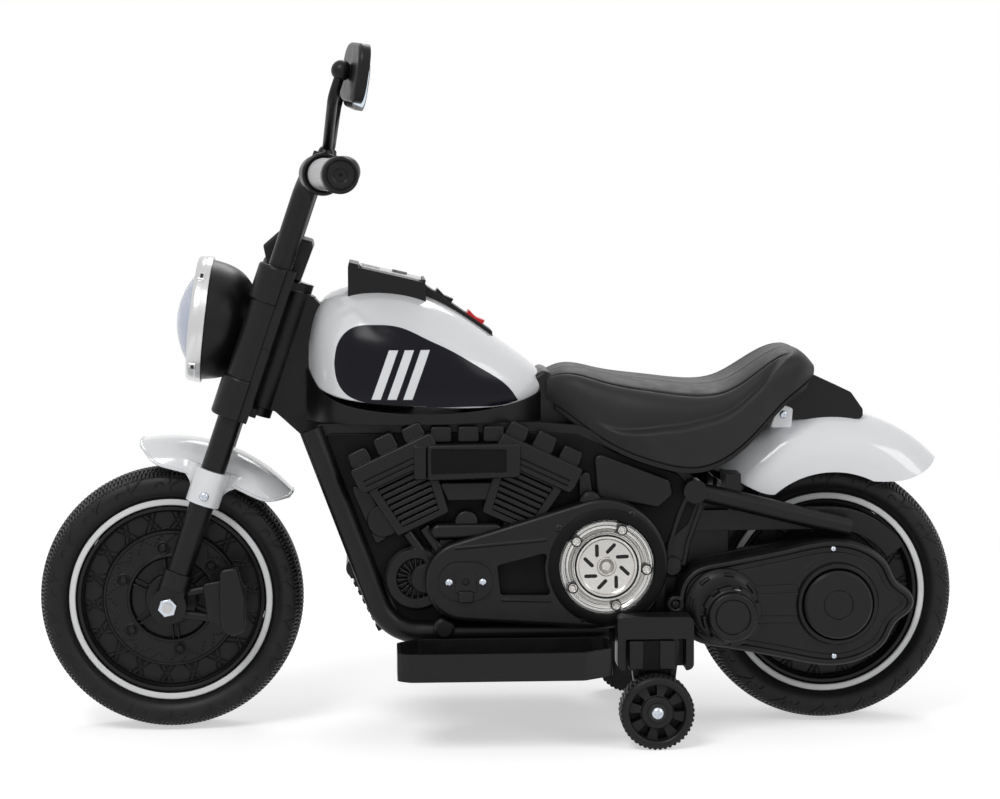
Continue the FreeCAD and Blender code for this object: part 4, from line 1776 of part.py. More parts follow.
def stabiliser_bracket():
    """The left stabiliser's arched bracket, its link to the body and its arm."""
    half = BRACKET_LENGTH / 2
    outline = [(STAB_X - half, BRACKET_BOTTOM), (STAB_X - half, BRACKET_TOP), (STAB_X + half, BRACKET_TOP),
               (STAB_X + half, BRACKET_BOTTOM)]
    arch = side_plate(outline, BRACKET_CORNER, -BRACKET_OUTER, -BRACKET_INNER)
    room = half - BRACKET_WALL
    arm_inner = BRACKET_INNER + BRACKET_BACK
    arch = arch.cut(block((STAB_X - room, STAB_X + room), (-BRACKET_OUTER - OVERRUN, -arm_inner),
                          (0, BRACKET_TOP - BRACKET_ARCH)))
    arm_half = ARM_LENGTH / 2
    link = block((STAB_X - arm_half, STAB_X + arm_half), (-BRACKET_INNER, -BODY_HALF),
                 (BRACKET_BOTTOM, BODY_BOTTOM + PANEL_INSET - SEAT_GAP))
    foot = STAB_BOLT_HEAD_RADIUS * 2
    arm_top = BRACKET_TOP - BRACKET_ARCH
    arm = side_plate([(STAB_X - arm_half, arm_top), (STAB_X + arm_half, arm_top),
                      (STAB_X + foot, STAB_RADIUS - foot), (STAB_X - foot, STAB_RADIUS - foot)],
                     BRACKET_CORNER, -ARM_OUTER, -arm_inner)
    recess = block((STAB_X - arm_half + ARM_FLANGE, STAB_X + arm_half - ARM_FLANGE),
                   (-ARM_OUTER - OVERRUN, -ARM_OUTER + ARM_RECESS), (STAB_RADIUS + foot, BRACKET_TOP))
    recess = recess.cut(block((-WHEELBASE, WHEELBASE), (-BRACKET_OUTER * 2, 0), (arm_top, WHEELBASE)))
    bolt = rod(STAB_AXLE, STAB_AXLE - ACROSS * BRACKET_OUTER * 2, STAB_BOLT_RADIUS + RUNNING_GAP)
    return fuse([arch, link, arm]).cut(recess).cut(bolt)


def stabiliser_wheel():
    """The left stabiliser wheel, dished on both faces."""
    inner = -STAB_WHEEL_INNER
    outer = -STAB_WHEEL_INNER - STAB_WHEEL_WIDTH
    bore = STAB_BOLT_RADIUS + RUNNING_GAP
    boss = STAB_BOLT_HEAD_RADIUS + STAB_ROUND
    rim_inner = STAB_RADIUS - STAB_DISH - STAB_ROUND
    outline = [
        Vector(bore, outer, 0), Vector(boss, outer, 0), Vector(boss, outer + STAB_DISH, 0),
        Vector(rim_inner, outer + STAB_DISH, 0), Vector(rim_inner, outer, 0),
        Vector(STAB_RADIUS - STAB_ROUND, outer, 0), Vector(STAB_RADIUS, outer + STAB_ROUND, 0),
        Vector(STAB_RADIUS, inner - STAB_ROUND, 0), Vector(STAB_RADIUS - STAB_ROUND, inner, 0),
        Vector(rim_inner, inner, 0), Vector(rim_inner, inner - STAB_DISH, 0),
        Vector(boss, inner - STAB_DISH, 0), Vector(boss, inner, 0), Vector(bore, inner, 0),
    ]
    wheel = revolve(Part.Face(Part.makePolygon(outline + outline[:1])), ORIGIN, ACROSS)
    wheel.translate(STAB_AXLE)
    return wheel


def stabiliser_bolt():
    """The bolt that carries the left stabiliser wheel."""
    start = STAB_AXLE - ACROSS * (BRACKET_INNER + BRACKET_BACK)
    seat_y = STAB_WHEEL_INNER + STAB_WHEEL_WIDTH + MOVING_GAP
    head = STAB_AXLE - ACROSS * seat_y
    return fuse([rod(start, head, STAB_BOLT_RADIUS),
                 rod(head, head - ACROSS * STAB_BOLT_HEAD, STAB_BOLT_HEAD_RADIUS)])


def belly_guard():
    """The ribbed guard in front of the body, between the rails."""
    low_x, low_z = body_point(BODY_OUTLINE_SHARES[-2])
    high_x, high_z = body_point(BODY_OUTLINE_SHARES[-1])
    low = Vector(low_x, 0, low_z)
    along = Vector(high_x, 0, high_z) - low
    along.normalize()
    outward = Vector(-along.z, 0, along.x)
    start = low + outward * SEAT_GAP
    end = start + along * GUARD_PLATE_LENGTH
    outline = [start, end, end + outward * GUARD_PLATE_DEPTH, start + outward * GUARD_PLATE_DEPTH]
    half = GUARD_PLATE_WIDTH / 2
    plate = across(Part.Face(Part.makePolygon(outline + outline[:1])), -half, half)
    lug_place = end + outward * GUARD_PLATE_DEPTH / 2
    lug = rod(lug_place - ACROSS * half, lug_place + ACROSS * half, GUARD_LUG_RADIUS)
    ribs = []
    pitch = GUARD_PLATE_LENGTH / (GUARD_RIB_COUNT + 1)
    for index in range(GUARD_RIB_COUNT):
        place = start + along * pitch * (index + 1) + outward * GUARD_PLATE_DEPTH
        ribs.append(rod(place - ACROSS * half, place + ACROSS * half, GUARD_RIB_DEPTH))
    body = across(body_face(-SEAT_GAP), -BODY_HALF, BODY_HALF)
    return fuse([plate, lug]).cut(Part.makeCompound(ribs)).cut(body)


def battery():
    """The sealed battery on the body's floor with its two terminals."""
    floor = BODY_BOTTOM + BODY_WALL
    half = BATTERY_WIDTH / 2
    case = block((BATTERY_FRONT, BATTERY_FRONT + BATTERY_LENGTH), (-half, half),
                 (floor, floor + BATTERY_HEIGHT))
    pieces = [case]
    top = floor + BATTERY_HEIGHT
    for end in (TERMINAL_LENGTH, BATTERY_LENGTH - 2 * TERMINAL_LENGTH):
        x = BATTERY_FRONT + end
        pieces.append(block((x, x + TERMINAL_LENGTH), (-TERMINAL_WIDTH / 2, TERMINAL_WIDTH / 2),
                            (top, top + TERMINAL_HEIGHT)))
    return fuse(pieces)


def control_board():
    """The control board on four posts inside the left body half."""
    wall = -BODY_HALF + BODY_WALL
    face = wall + BOARD_POST_LENGTH
    pieces = [block((BOARD_FRONT, BOARD_FRONT + BOARD_LENGTH), (face, face + BOARD_THICKNESS),
                    (BOARD_BOTTOM, BOARD_BOTTOM + BOARD_HEIGHT))]
    inset = BOARD_POST_RADIUS * 2
    for x in (BOARD_FRONT + inset, BOARD_FRONT + BOARD_LENGTH - inset):
        for z in (BOARD_BOTTOM + inset, BOARD_BOTTOM + BOARD_HEIGHT - inset):
            pieces.append(rod(Vector(x, wall, z), Vector(x, face, z), BOARD_POST_RADIUS))
    return fuse(pieces)


def speaker():
    """The speaker on the tank's base, its cone facing up."""
    foot = Vector(SPEAKER_X, 0, TANK_BOTTOM - SPEAKER_SINK)
    magnet = rod(foot, foot + UP * SPEAKER_HEIGHT / 2, SPEAKER_MAGNET_RADIUS)
    basket = Part.makeCone(SPEAKER_MAGNET_RADIUS, SPEAKER_RADIUS, SPEAKER_HEIGHT / 2,
                           foot + UP * SPEAKER_HEIGHT / 2, UP)
    rim_low = foot + UP * SPEAKER_HEIGHT
    flange = rod(rim_low, rim_low + UP * SPEAKER_SINK, SPEAKER_RADIUS)
    return fuse([magnet, basket, flange]).cut(tank_base())


def body_screws():
    """The cover screws on both sides, the socket's screws and the stabiliser bolts."""
    left = []
    primary_y = -PRIMARY_FACE
    lamp_reach = (SIDE_LAMP_RADIUS + SIDE_LAMP_END_RADIUS) / 2
    for angle in PRIMARY_SCREWS_DEG:
        place = polar(Vector(SIDE_LAMP_X, primary_y, SIDE_LAMP_Z), angle, lamp_reach)
        left.append(screw_head(place, -ACROSS))
    cover_reach = (DRIVE_REAR_RADIUS + HUB_RING_RADIUS) / 2
    for angle in DRIVE_SCREWS_DEG:
        place = polar(REAR_AXLE - ACROSS * DRIVE_OUTER, angle, cover_reach)
        left.append(screw_head(place, -ACROSS))
    left.append(stabiliser_bolt())
    solids = left + [mirrored(piece) for piece in left]
    for side in (-1, 1):
        place = Vector(CHARGE_X + side * SOCKET_SCREW_SPREAD, primary_y - SOCKET_THICKNESS, CHARGE_Z)
        solids.append(screw_head(place, -ACROSS))
    return Part.makeCompound(solids)


def front_axle():
    """The front axle, through both fork feet and their nuts."""
    reach = LEG_SPREAD + BOSS_WIDTH / 2 + NUT_HEIGHT + AXLE_END
    return rod(FRONT_AXLE - ACROSS * reach, FRONT_AXLE + ACROSS * reach, FRONT_AXLE_RADIUS)


def rear_axle():
    """The rear axle, held in the bosses of both drive covers."""
    reach = DRIVE_OUTER - DRIVE_WALL
    return rod(REAR_AXLE - ACROSS * reach, REAR_AXLE + ACROSS * reach, REAR_AXLE_RADIUS)


def steering_stem():
    """The steering stem through both yokes and the head tube."""
    foot = Vector(STEM_OFFSET, 0, LOWER_YOKE)
    return on_fork(rod(foot, Vector(STEM_OFFSET, 0, UPPER_YOKE + YOKE_THICKNESS), STEM_RADIUS))


def make_parts():
    """Every piece of the bike by the name of its file."""
    frame_left = frame_half()
    housing = mirror_housing()
    glass = mirror_glass()
    left_boss = -(SECOND_GEAR_Y - GEAR_WIDTH - MOVING_GAP)
    stem = on_fork(mirror_stem())
    return {
        "front_tyre": tyre(FRONT_AXLE),
        "front_rim": rim(FRONT_AXLE, FRONT_AXLE_RADIUS, HUB_FACE),
        "rear_tyre": tyre(REAR_AXLE),
        "rear_rim": rim(REAR_AXLE, REAR_AXLE_RADIUS, REAR_HUB_FACE),
        "front_axle": front_axle(),
        "rear_axle": rear_axle(),
        "fork_legs": pair(on_fork(fork_leg())),
        "fork_shoes": pair(fork_shoe()),
        "fork_covers": pair(on_fork(fork_cover())),
        "fork_fasteners": fork_fasteners(),
        "upper_yoke": on_fork(upper_yoke()),
        "lower_yoke": on_fork(lower_yoke()),
        "steering_stem": steering_stem(),
        "front_fender": front_fender(),
        "headlight_bowl": headlight_bowl(),
        "headlight_rim": headlight_rim(),
        "headlight_lens": headlight_lens(),
        "gauge_pod": gauge_pod(),
        "handlebars": pair(on_fork(handlebar())),
        "grips": pair(on_fork(grip())),
        "grip_caps": Part.makeCompound([pair(on_fork(cap)) for cap in grip_caps()]),
        "mirror_stems": pair(stem),
        "mirror_housing_left": housing,
        "mirror_housing_right": mirrored(housing),
        "mirror_glass_left": glass,
        "mirror_glass_right": mirrored(glass),
        "frame_left": frame_left,
        "frame_right": mirrored(frame_left),
        "engine_panels": pair(engine_panel()),
        "primary_covers": Part.makeCompound([primary_cover_left(), mirrored(primary_cover())]),
        "side_lamp_reflectors": pair(side_lamp_reflector()),
        "side_lamp_lenses": pair(side_lamp_lens()),
        "charge_socket": charge_socket(),
        "tank_shell": tank_shell(),
        "tank_base": tank_base(),
        "dash_box": dash_box(),
        "direction_switch": rocker_switch(SWITCH_PLACE_SHARES[0]),
        "power_switch": rocker_switch(SWITCH_PLACE_SHARES[1]),
        "music_button": music_button(),
        "seat": seat(),
        "tail_box": tail_box(),
        "rear_fender": rear_fender(),
        "drive_cover_left": drive_cover(True, left_boss),
        "drive_cover_right": mirrored(drive_cover(False, REAR_PLATE_INNER)),
        "drive_caps": Part.makeCompound([pair(cap) for cap in drive_caps()]),
        "drive_gear": drive_gear(),
        "reduction_gear": reduction_gear(),
        "motor_pinion": motor_pinion(),
        "drive_motor": drive_motor(),
        "footrest_left": footrest(),
        "footrest_right": footrest_right(),
        "accelerator_pedal": accelerator_pedal(),
        "stabiliser_brackets": pair(stabiliser_bracket()),
        "stabiliser_wheel_left": stabiliser_wheel(),
        "stabiliser_wheel_right": mirrored(stabiliser_wheel()),
        "belly_guard": belly_guard(),
        "battery": battery(),
        "control_board": control_board(),
        "speaker": speaker(),
        "body_screws": body_screws(),
    }


os.makedirs("parts", exist_ok=True)
for name, shape in make_parts().items():
    shape.exportStep(os.path.join("parts", name + ".step"))
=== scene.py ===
"""Looks of a kids electric motorbike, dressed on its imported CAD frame."""
import json
import logging
import math
from dataclasses import dataclass
from enum import Enum
from typing import Callable, Iterable, Sequence

import bmesh
import bpy
import numpy as np
from mathutils import Matrix, Vector
from mathutils.bvhtree import BVHTree


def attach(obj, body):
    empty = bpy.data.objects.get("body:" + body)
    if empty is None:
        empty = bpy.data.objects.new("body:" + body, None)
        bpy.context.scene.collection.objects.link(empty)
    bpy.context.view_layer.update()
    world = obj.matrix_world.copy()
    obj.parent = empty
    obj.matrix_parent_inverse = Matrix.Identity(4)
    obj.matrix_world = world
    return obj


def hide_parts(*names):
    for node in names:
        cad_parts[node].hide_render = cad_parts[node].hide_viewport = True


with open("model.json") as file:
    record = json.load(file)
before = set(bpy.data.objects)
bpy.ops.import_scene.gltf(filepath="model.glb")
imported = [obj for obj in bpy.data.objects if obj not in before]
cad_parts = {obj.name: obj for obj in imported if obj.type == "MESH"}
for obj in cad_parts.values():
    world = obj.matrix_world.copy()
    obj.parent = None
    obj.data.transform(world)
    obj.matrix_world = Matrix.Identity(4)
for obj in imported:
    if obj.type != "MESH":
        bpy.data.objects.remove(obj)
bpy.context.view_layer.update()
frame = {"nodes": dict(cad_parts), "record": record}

MM = 0.001
log = logging.getLogger("motorbike")

Colour = tuple[float, float, float]
Flat = tuple[float, float]
Points = Sequence[Sequence[float]]
Inputs = dict[str | int, object]


class Graph:
    """A node tree that is being wired up."""

    def __init__(self, tree: bpy.types.NodeTree) -> None:
        """Take over a tree."""
        self.tree = tree

    def feed(self, node: bpy.types.Node, inputs: Inputs) -> None:
        """Give a node's inputs their values, or link them to outputs.

        Args:
            node: The node to feed.
            inputs: Values or sockets, by the inputs' names or places.
        """
        for key, value in inputs.items():
            if isinstance(value, bpy.types.NodeSocket):
                self.tree.links.new(value, node.inputs[key])
            else:
                node.inputs[key].default_value = value

    def add(self, kind: str, inputs: Inputs | None = None, **settings: object) -> bpy.types.NodeOutputs:
        """Add a node.

        Args:
            kind: The node's type.
            inputs: Values or sockets for its inputs.
            settings: Properties of the node itself.

        Returns:
            The new node's outputs.
        """
        node = self.tree.nodes.new(kind)
        for name, value in settings.items():
            setattr(node, name, value)
        self.feed(node, inputs or {})
        return node.outputs

    def maths(self, kind: str, *values: object) -> bpy.types.NodeSocket:
        """One sum, from sockets or plain numbers."""
        return self.add("ShaderNodeMath", dict(enumerate(values)), operation=kind)["Value"]


@dataclass(frozen=True)
class Finish:
    """One surface finish of the bike, made as a node material."""

    name: str
    colour: Colour
    roughness: float
    mottle: float = 0.10
    mottle_size: float = 0.035
    gloss_spread: float = 0.05
    grain_size: float = 0.0011
    grain_depth: float = 0.00005
    edge: float = 0.0
    metallic: float = 0.0
    specular: float = 0.5
    coat: float = 0.0
    transmission: float = 0.0
    ior: float = 1.5

    def material(self) -> bpy.types.Material:
        """Build the material once.

        Returns:
            The node material of this finish.
        """
        found = bpy.data.materials.get(self.name)
        if found:
            return found
        made = bpy.data.materials.new(self.name)
        made.use_nodes = True
        graph = Graph(made.node_tree)
        place = graph.add("ShaderNodeTexCoord")["Object"]

        def noise(size: float, detail: float) -> bpy.types.NodeSocket:
            """A noise whose features are about one size across."""
            return graph.add("ShaderNodeTexNoise",
                             {"Vector": place, "Scale": 1.0 / size, "Detail": detail})["Fac"]

        tint = graph.add("ShaderNodeMix", {
            0: noise(self.mottle_size, 4.0),
            6: (*[c * (1 - self.mottle) for c in self.colour], 1),
            7: (*[min(1, c * (1 + self.mottle)) for c in self.colour], 1),
        }, data_type="RGBA")
        gloss = graph.add("ShaderNodeMapRange", {
            "Value": noise(self.mottle_size / 3, 3.0), "From Min": 0.3, "From Max": 0.7,
            "To Min": max(0.01, self.roughness - self.gloss_spread),
            "To Max": self.roughness + self.gloss_spread,
        })
        relief: Inputs = {"Strength": 0.5, "Distance": self.grain_depth,
                          "Height": noise(self.grain_size, 2.0)}
        if self.edge:
            relief["Normal"] = graph.add("ShaderNodeBevel", {"Radius": self.edge}, samples=4)["Normal"]
        graph.feed(made.node_tree.nodes["Principled BSDF"], {
            "Base Color": tint[2], "Roughness": gloss["Result"],
            "Normal": graph.add("ShaderNodeBump", relief)["Normal"],
            "Metallic": self.metallic, "Specular IOR Level": self.specular, "Coat Weight": self.coat,
            "Transmission Weight": self.transmission, "IOR": self.ior,
        })
        return made


SATIN_BLACK = Finish("satin_black_plastic", (0.0050, 0.0047, 0.0051), 0.36, edge=0.0009, specular=0.25)
# Darker, duller black laid where recesses and sunk floors would fall into shade: painted shade, not a
# different plastic.
PAINTED_SHADE_BLACK = Finish("painted_shade_plastic", (0.0030, 0.0028, 0.0031), 0.55, grain_depth=0.00009, specular=0.12)
TYRE_BLACK = Finish("tyre_plastic", (0.0066, 0.0063, 0.0066), 0.46, grain_size=0.0009, edge=0.0004,
                    specular=0.26)
SADDLE_GREY = Finish("saddle_plastic", (0.0180, 0.0174, 0.0178), 0.52, grain_size=0.0008, grain_depth=0.00009,
                     specular=0.24)
GLOSS_WHITE = Finish("gloss_white_plastic", (0.83, 0.845, 0.865), 0.14, mottle=0.012, gloss_spread=0.03,
                     grain_depth=0.000006, grain_size=0.004, edge=0.0006, coat=0.35)
TRIM_WHITE = Finish("trim_ring_plastic", (0.80, 0.805, 0.81), 0.34, mottle=0.02, grain_depth=0.00002)
GRIP_SILVER = Finish("silver_plastic", (0.50, 0.50, 0.51), 0.36, mottle=0.03, metallic=0.55,
                     grain_depth=0.00003)
CHROME = Finish("bright_plating", (0.60, 0.60, 0.60), 0.24, mottle=0.10, mottle_size=0.018, metallic=1.0,
                gloss_spread=0.02, grain_depth=0.000004, grain_size=0.006, edge=0.0005)
LAMP_SILVER = Finish("lamp_silver", (0.56, 0.545, 0.525), 0.24, mottle=0.06, mottle_size=0.012, metallic=0.9,
                     gloss_spread=0.06, grain_depth=0.00002, edge=0.0005)
LAMP_BRIGHT = Finish("lamp_band_plating", (0.58, 0.57, 0.55), 0.10, mottle=0.02, metallic=1.0,
                     gloss_spread=0.02, grain_depth=0.000001, grain_size=0.008)
DISH_PEARL = Finish("lamp_dish", (0.66, 0.67, 0.80), 0.22, mottle=0.05, metallic=0.7, grain_depth=0.00001)
DASH_SILVER = Finish("dash_plate_silver", (0.40, 0.40, 0.41), 0.34, mottle=0.04, metallic=0.5,
                     grain_depth=0.00002, edge=0.0004)
ZINC = Finish("zinc_screw", (0.56, 0.60, 0.66), 0.27, mottle=0.05, metallic=1.0, edge=0.0003)
STEEL = Finish("axle_steel", (0.50, 0.50, 0.50), 0.32, mottle=0.04, metallic=1.0)
CLEAR = Finish("clear_plastic", (0.97, 0.975, 0.98), 0.03, mottle=0.006, gloss_spread=0.01,
               grain_depth=0.0000005, grain_size=0.008, transmission=1.0, ior=1.35)
LENS_TINT = Finish("lamp_dome_plastic", (0.80, 0.85, 1.0), 0.08, mottle=0.05, mottle_size=0.03,
                   gloss_spread=0.02, grain_depth=0.000004, grain_size=0.004, transmission=0.45, ior=1.45)
MIRROR_BLUE = Finish("mirror_glass", (0.52, 0.68, 0.82), 0.05, mottle=0.02, metallic=0.9, gloss_spread=0.02,
                     grain_depth=0.000003, grain_size=0.01)
SWITCH_RED = Finish("red_switch_plastic", (0.78, 0.010, 0.012), 0.30, mottle=0.05, edge=0.0006)
DASH_GREY = Finish("dash_grey_plastic", (0.20, 0.205, 0.21), 0.38, mottle=0.04, metallic=0.35, edge=0.0008)
NYLON = Finish("gear_nylon", (0.62, 0.61, 0.57), 0.42, mottle=0.04)
BOARD_GREEN = Finish("board_green", (0.02, 0.11, 0.045), 0.38, mottle=0.15, mottle_size=0.006)
DECAL_DARK = Finish("dark_panel_film", (0.0040, 0.0034, 0.0080), 0.22, mottle=0.2, gloss_spread=0.04,
                    grain_depth=0.000004, grain_size=0.004, specular=0.16)
# Plain dark plastic; some pieces also wear it as painted shade (side lamp slot floors and gap ring, head lamp
# clip slits).
DARK = Finish("dark_plastic", (0.010, 0.010, 0.011), 0.42, edge=0.0006, specular=0.3)

NODE_FINISHES: dict[str, Finish] = {
    "tyre": TYRE_BLACK,
    "satin_black": SATIN_BLACK,
    "gloss_white": GLOSS_WHITE,
    "saddle": SADDLE_GREY,
    "grip_silver": GRIP_SILVER,
    "bright": CHROME,
    "clear": CLEAR,
    "mirror": MIRROR_BLUE,
    "steel": STEEL,
    "red": SWITCH_RED,
    "grey": DASH_GREY,
    "nylon": NYLON,
    "board": BOARD_GREEN,
    "dark": DARK,
}

SIDE_VIEW = Matrix(((1, 0, 0, 0), (0, 0, -1, 0), (0, 1, 0, 0), (0, 0, 0, 1)))
HALF_TURN = Matrix.Rotation(math.pi, 4, "X")

# Places that several pieces share, in the side view.
FRONT_AXLE: Flat = (-257.0, 103.0)
REAR_AXLE: Flat = (257.0, 103.0)
STABILISER: Flat = (114.0, 28.0)
CHARGE_PORT: Flat = (-29.0, 124.0)
SIDE_LAMP: Flat = (79.0, 133.8)
DRIVE_LUG: Flat = (132.6, 103.2)


def side_at(x: float, z: float) -> Matrix:
    """The side-view frame at a point: X back, Y up, Z out to the bike's left."""
    return Matrix.Translation((x, 0.0, z)) @ SIDE_VIEW


def fork_frame(rake_deg: float = 18.8) -> Matrix:
    """The fork's own frame, with Z up along its legs from the front axle."""
    x, z = FRONT_AXLE
    return Matrix.Translation((x, 0.0, z)) @ Matrix.Rotation(math.radians(rake_deg), 4, "Y")


def box(left: float, low: float, right: float, high: float) -> list[Flat]:
    """The corners of a rectangle."""
    return [(left, low), (right, low), (right, high), (left, high)]


def taper(middle: float, low: float, foot: float, high: float, head: float) -> list[Flat]:
    """The corners of a block about a middle line, with half widths at foot and head."""
    return [(middle - foot, low), (middle + foot, low), (middle + head, high), (middle - head, high)]


def arc(radius: float, start: float, end: float, count: int, centre: Flat = (0.0, 0.0)) -> list[Flat]:
    """Points along a circle, from one angle to another."""
    turns = np.linspace(start, end, count)
    return [(centre[0] + radius * math.cos(t), centre[1] + radius * math.sin(t)) for t in turns]


def circle(centre: Flat, radius: float, steps: int) -> list[Flat]:
    """The outline of a circle."""
    return arc(radius, 0, math.tau, steps + 1, centre)[:-1]


def spline(params: Sequence[float], values: Sequence[float]) -> Callable[[float], float]:
    """A natural cubic curve through values.

    Args:
        params: Rising parameters of the values.
        values: The values to pass through.

    Returns:
        The curve as a function of the parameter.
    """
    count = len(params)
    gaps = np.diff(params)
    matrix = np.eye(count)
    right = np.zeros(count)
    for k in range(1, count - 1):
        matrix[k, k - 1 : k + 2] = gaps[k - 1], 2 * (gaps[k - 1] + gaps[k]), gaps[k]
        rise = (values[k + 1] - values[k]) / gaps[k] - (values[k] - values[k - 1]) / gaps[k - 1]
        right[k] = 6 * rise
    bend = np.linalg.solve(matrix, right)

    def curve(param: float) -> float:
        """Read the curve.

        Args:
            param: Where on the curve.

        Returns:
            The curve's value there.
        """
        k = int(min(max(np.searchsorted(params, param) - 1, 0), count - 2))
        gap, before, after = gaps[k], param - params[k], params[k + 1] - param
        line = values[k] * after / gap + values[k + 1] * before / gap
        swell = bend[k] * (after**3 / gap - gap * after) + bend[k + 1] * (before**3 / gap - gap * before)
        return float(line + swell / 6)

    return curve


def smooth_line(points: Points, steps: int) -> list[Vector]:
    """A smooth run through points.

    Args:
        points: The points to pass through.
        steps: How many equal steps the run has.

    Returns:
        The points of the run, one more than its steps.
    """
    knots = [Vector(p) for p in points]
    runs = [0.0]
    for a, b in zip(knots, knots[1:]):
        runs.append(runs[-1] + max((b - a).length, 1e-6))
    curves = [spline(runs, [p[axis] for p in knots]) for axis in range(len(knots[0]))]
    return [Vector([c(runs[-1] * k / steps) for c in curves]) for k in range(steps + 1)]


def arc_through(start: Flat, middle: Flat, end: Flat, steps: int) -> list[Flat]:
    """Points along the circle arc through three points.

    Args:
        start: The arc's first point.
        middle: A point on its way.
        end: Its last point.
        steps: How many steps the arc has.

    Returns:
        The arc's points, ends and all.
    """
    (ax, ay), (bx, by), (cx, cy) = start, middle, end
    d = 2 * (ax * (by - cy) + bx * (cy - ay) + cx * (ay - by))
    a2, b2, c2 = ax * ax + ay * ay, bx * bx + by * by, cx * cx + cy * cy
    ux = (a2 * (by - cy) + b2 * (cy - ay) + c2 * (ay - by)) / d
    uy = (a2 * (cx - bx) + b2 * (ax - cx) + c2 * (bx - ax)) / d
    reach = math.hypot(ax - ux, ay - uy)
    first, mid, last = (math.atan2(y - uy, x - ux) for x, y in (start, middle, end))
    sweep = (last - first) % math.tau
    if (mid - first) % math.tau > sweep:
        sweep -= math.tau
    turns = [first + sweep * k / steps for k in range(steps + 1)]
    return [(ux + reach * math.cos(t), uy + reach * math.sin(t)) for t in turns]


def rounded(outline: Points, radius: float, steps: int = 4) -> list[Flat]:
    """Round the corners of a closed outline.

    Args:
        outline: The outline's corners.
        radius: The corners' radius, less where an edge is too short.
        steps: How many steps each corner has.

    Returns:
        The rounded outline.
    """
    made = []
    count = len(outline)
    for k in range(count):
        corner = Vector(outline[k])
        back, ahead = Vector(outline[k - 1]) - corner, Vector(outline[(k + 1) % count]) - corner
        half = max(back.angle(ahead) / 2, 0.05)
        reach = min(radius / math.tan(half), 0.47 * back.length, 0.47 * ahead.length)
        start, end = corner + back.normalized() * reach, corner + ahead.normalized() * reach
        for step in range(steps + 1):
            t = step / steps
            pull = 2 * t * (1 - t) * math.sin(half)
            spot = (start * (1 - t) ** 2 + corner * pull + end * t**2) / ((1 - t) ** 2 + pull + t**2)
            made.append((spot.x, spot.y))
    return made


def drawn_in(outline: Points, inset: float) -> list[Flat]:
    """Move a closed outline inwards, each corner along its bisector.

    Args:
        outline: The outline's corners.
        inset: How far its edges move.

    Returns:
        The smaller outline.
    """
    count = len(outline)
    area = sum(outline[k - 1][0] * outline[k][1] - outline[k][0] * outline[k - 1][1] for k in range(count))
    sign = 1 if area > 0 else -1
    made = []
    for k in range(count):
        here = Vector(outline[k])
        back = (here - Vector(outline[k - 1])).normalized()
        ahead = (Vector(outline[(k + 1) % count]) - here).normalized()
        normal = Vector((-back.y - ahead.y, back.x + ahead.x))
        if normal.length < 1e-6:
            normal = Vector((-ahead.y, ahead.x))
        normal.normalize()
        lean = max(0.45, normal.dot(Vector((-ahead.y, ahead.x))))
        made.append(tuple(here + normal * (sign * inset / lean)))
    return made


def belt(first: Flat, first_radius: float, second: Flat, second_radius: float, steps: int) -> list[Flat]:
    """The outline of a belt round two circles.

    Args:
        first: The first circle's centre.
        first_radius: Its radius.
        second: The second circle's centre.
        second_radius: Its radius.
        steps: How many steps each round end has.

    Returns:
        The closed outline.
    """
    run = Vector(second) - Vector(first)
    swing = math.acos((first_radius - second_radius) / run.length)
    heading = math.atan2(run.y, run.x)
    made = []
    for centre, radius, start, sweep in (
        (second, second_radius, heading - swing, 2 * swing),
        (first, first_radius, heading + swing, math.tau - 2 * swing),
    ):
        for k in range(steps + 1):
            turn = start + sweep * k / steps
            made.append((centre[0] + radius * math.cos(turn), centre[1] + radius * math.sin(turn)))
    return made


def evaluated_mesh(source: bpy.types.Object) -> bpy.types.Mesh:
    """The plain mesh that an object's modifiers give."""
    graph = bpy.context.evaluated_depsgraph_get()
    return bpy.data.meshes.new_from_object(source.evaluated_get(graph), depsgraph=graph)


def discard(*used: bpy.types.Object) -> None:
    """Remove helper objects with their meshes.

    Args:
        used: The objects to remove.
    """
    for helper in used:
        data = helper.data
        bpy.data.objects.remove(helper)
        bpy.data.meshes.remove(data)


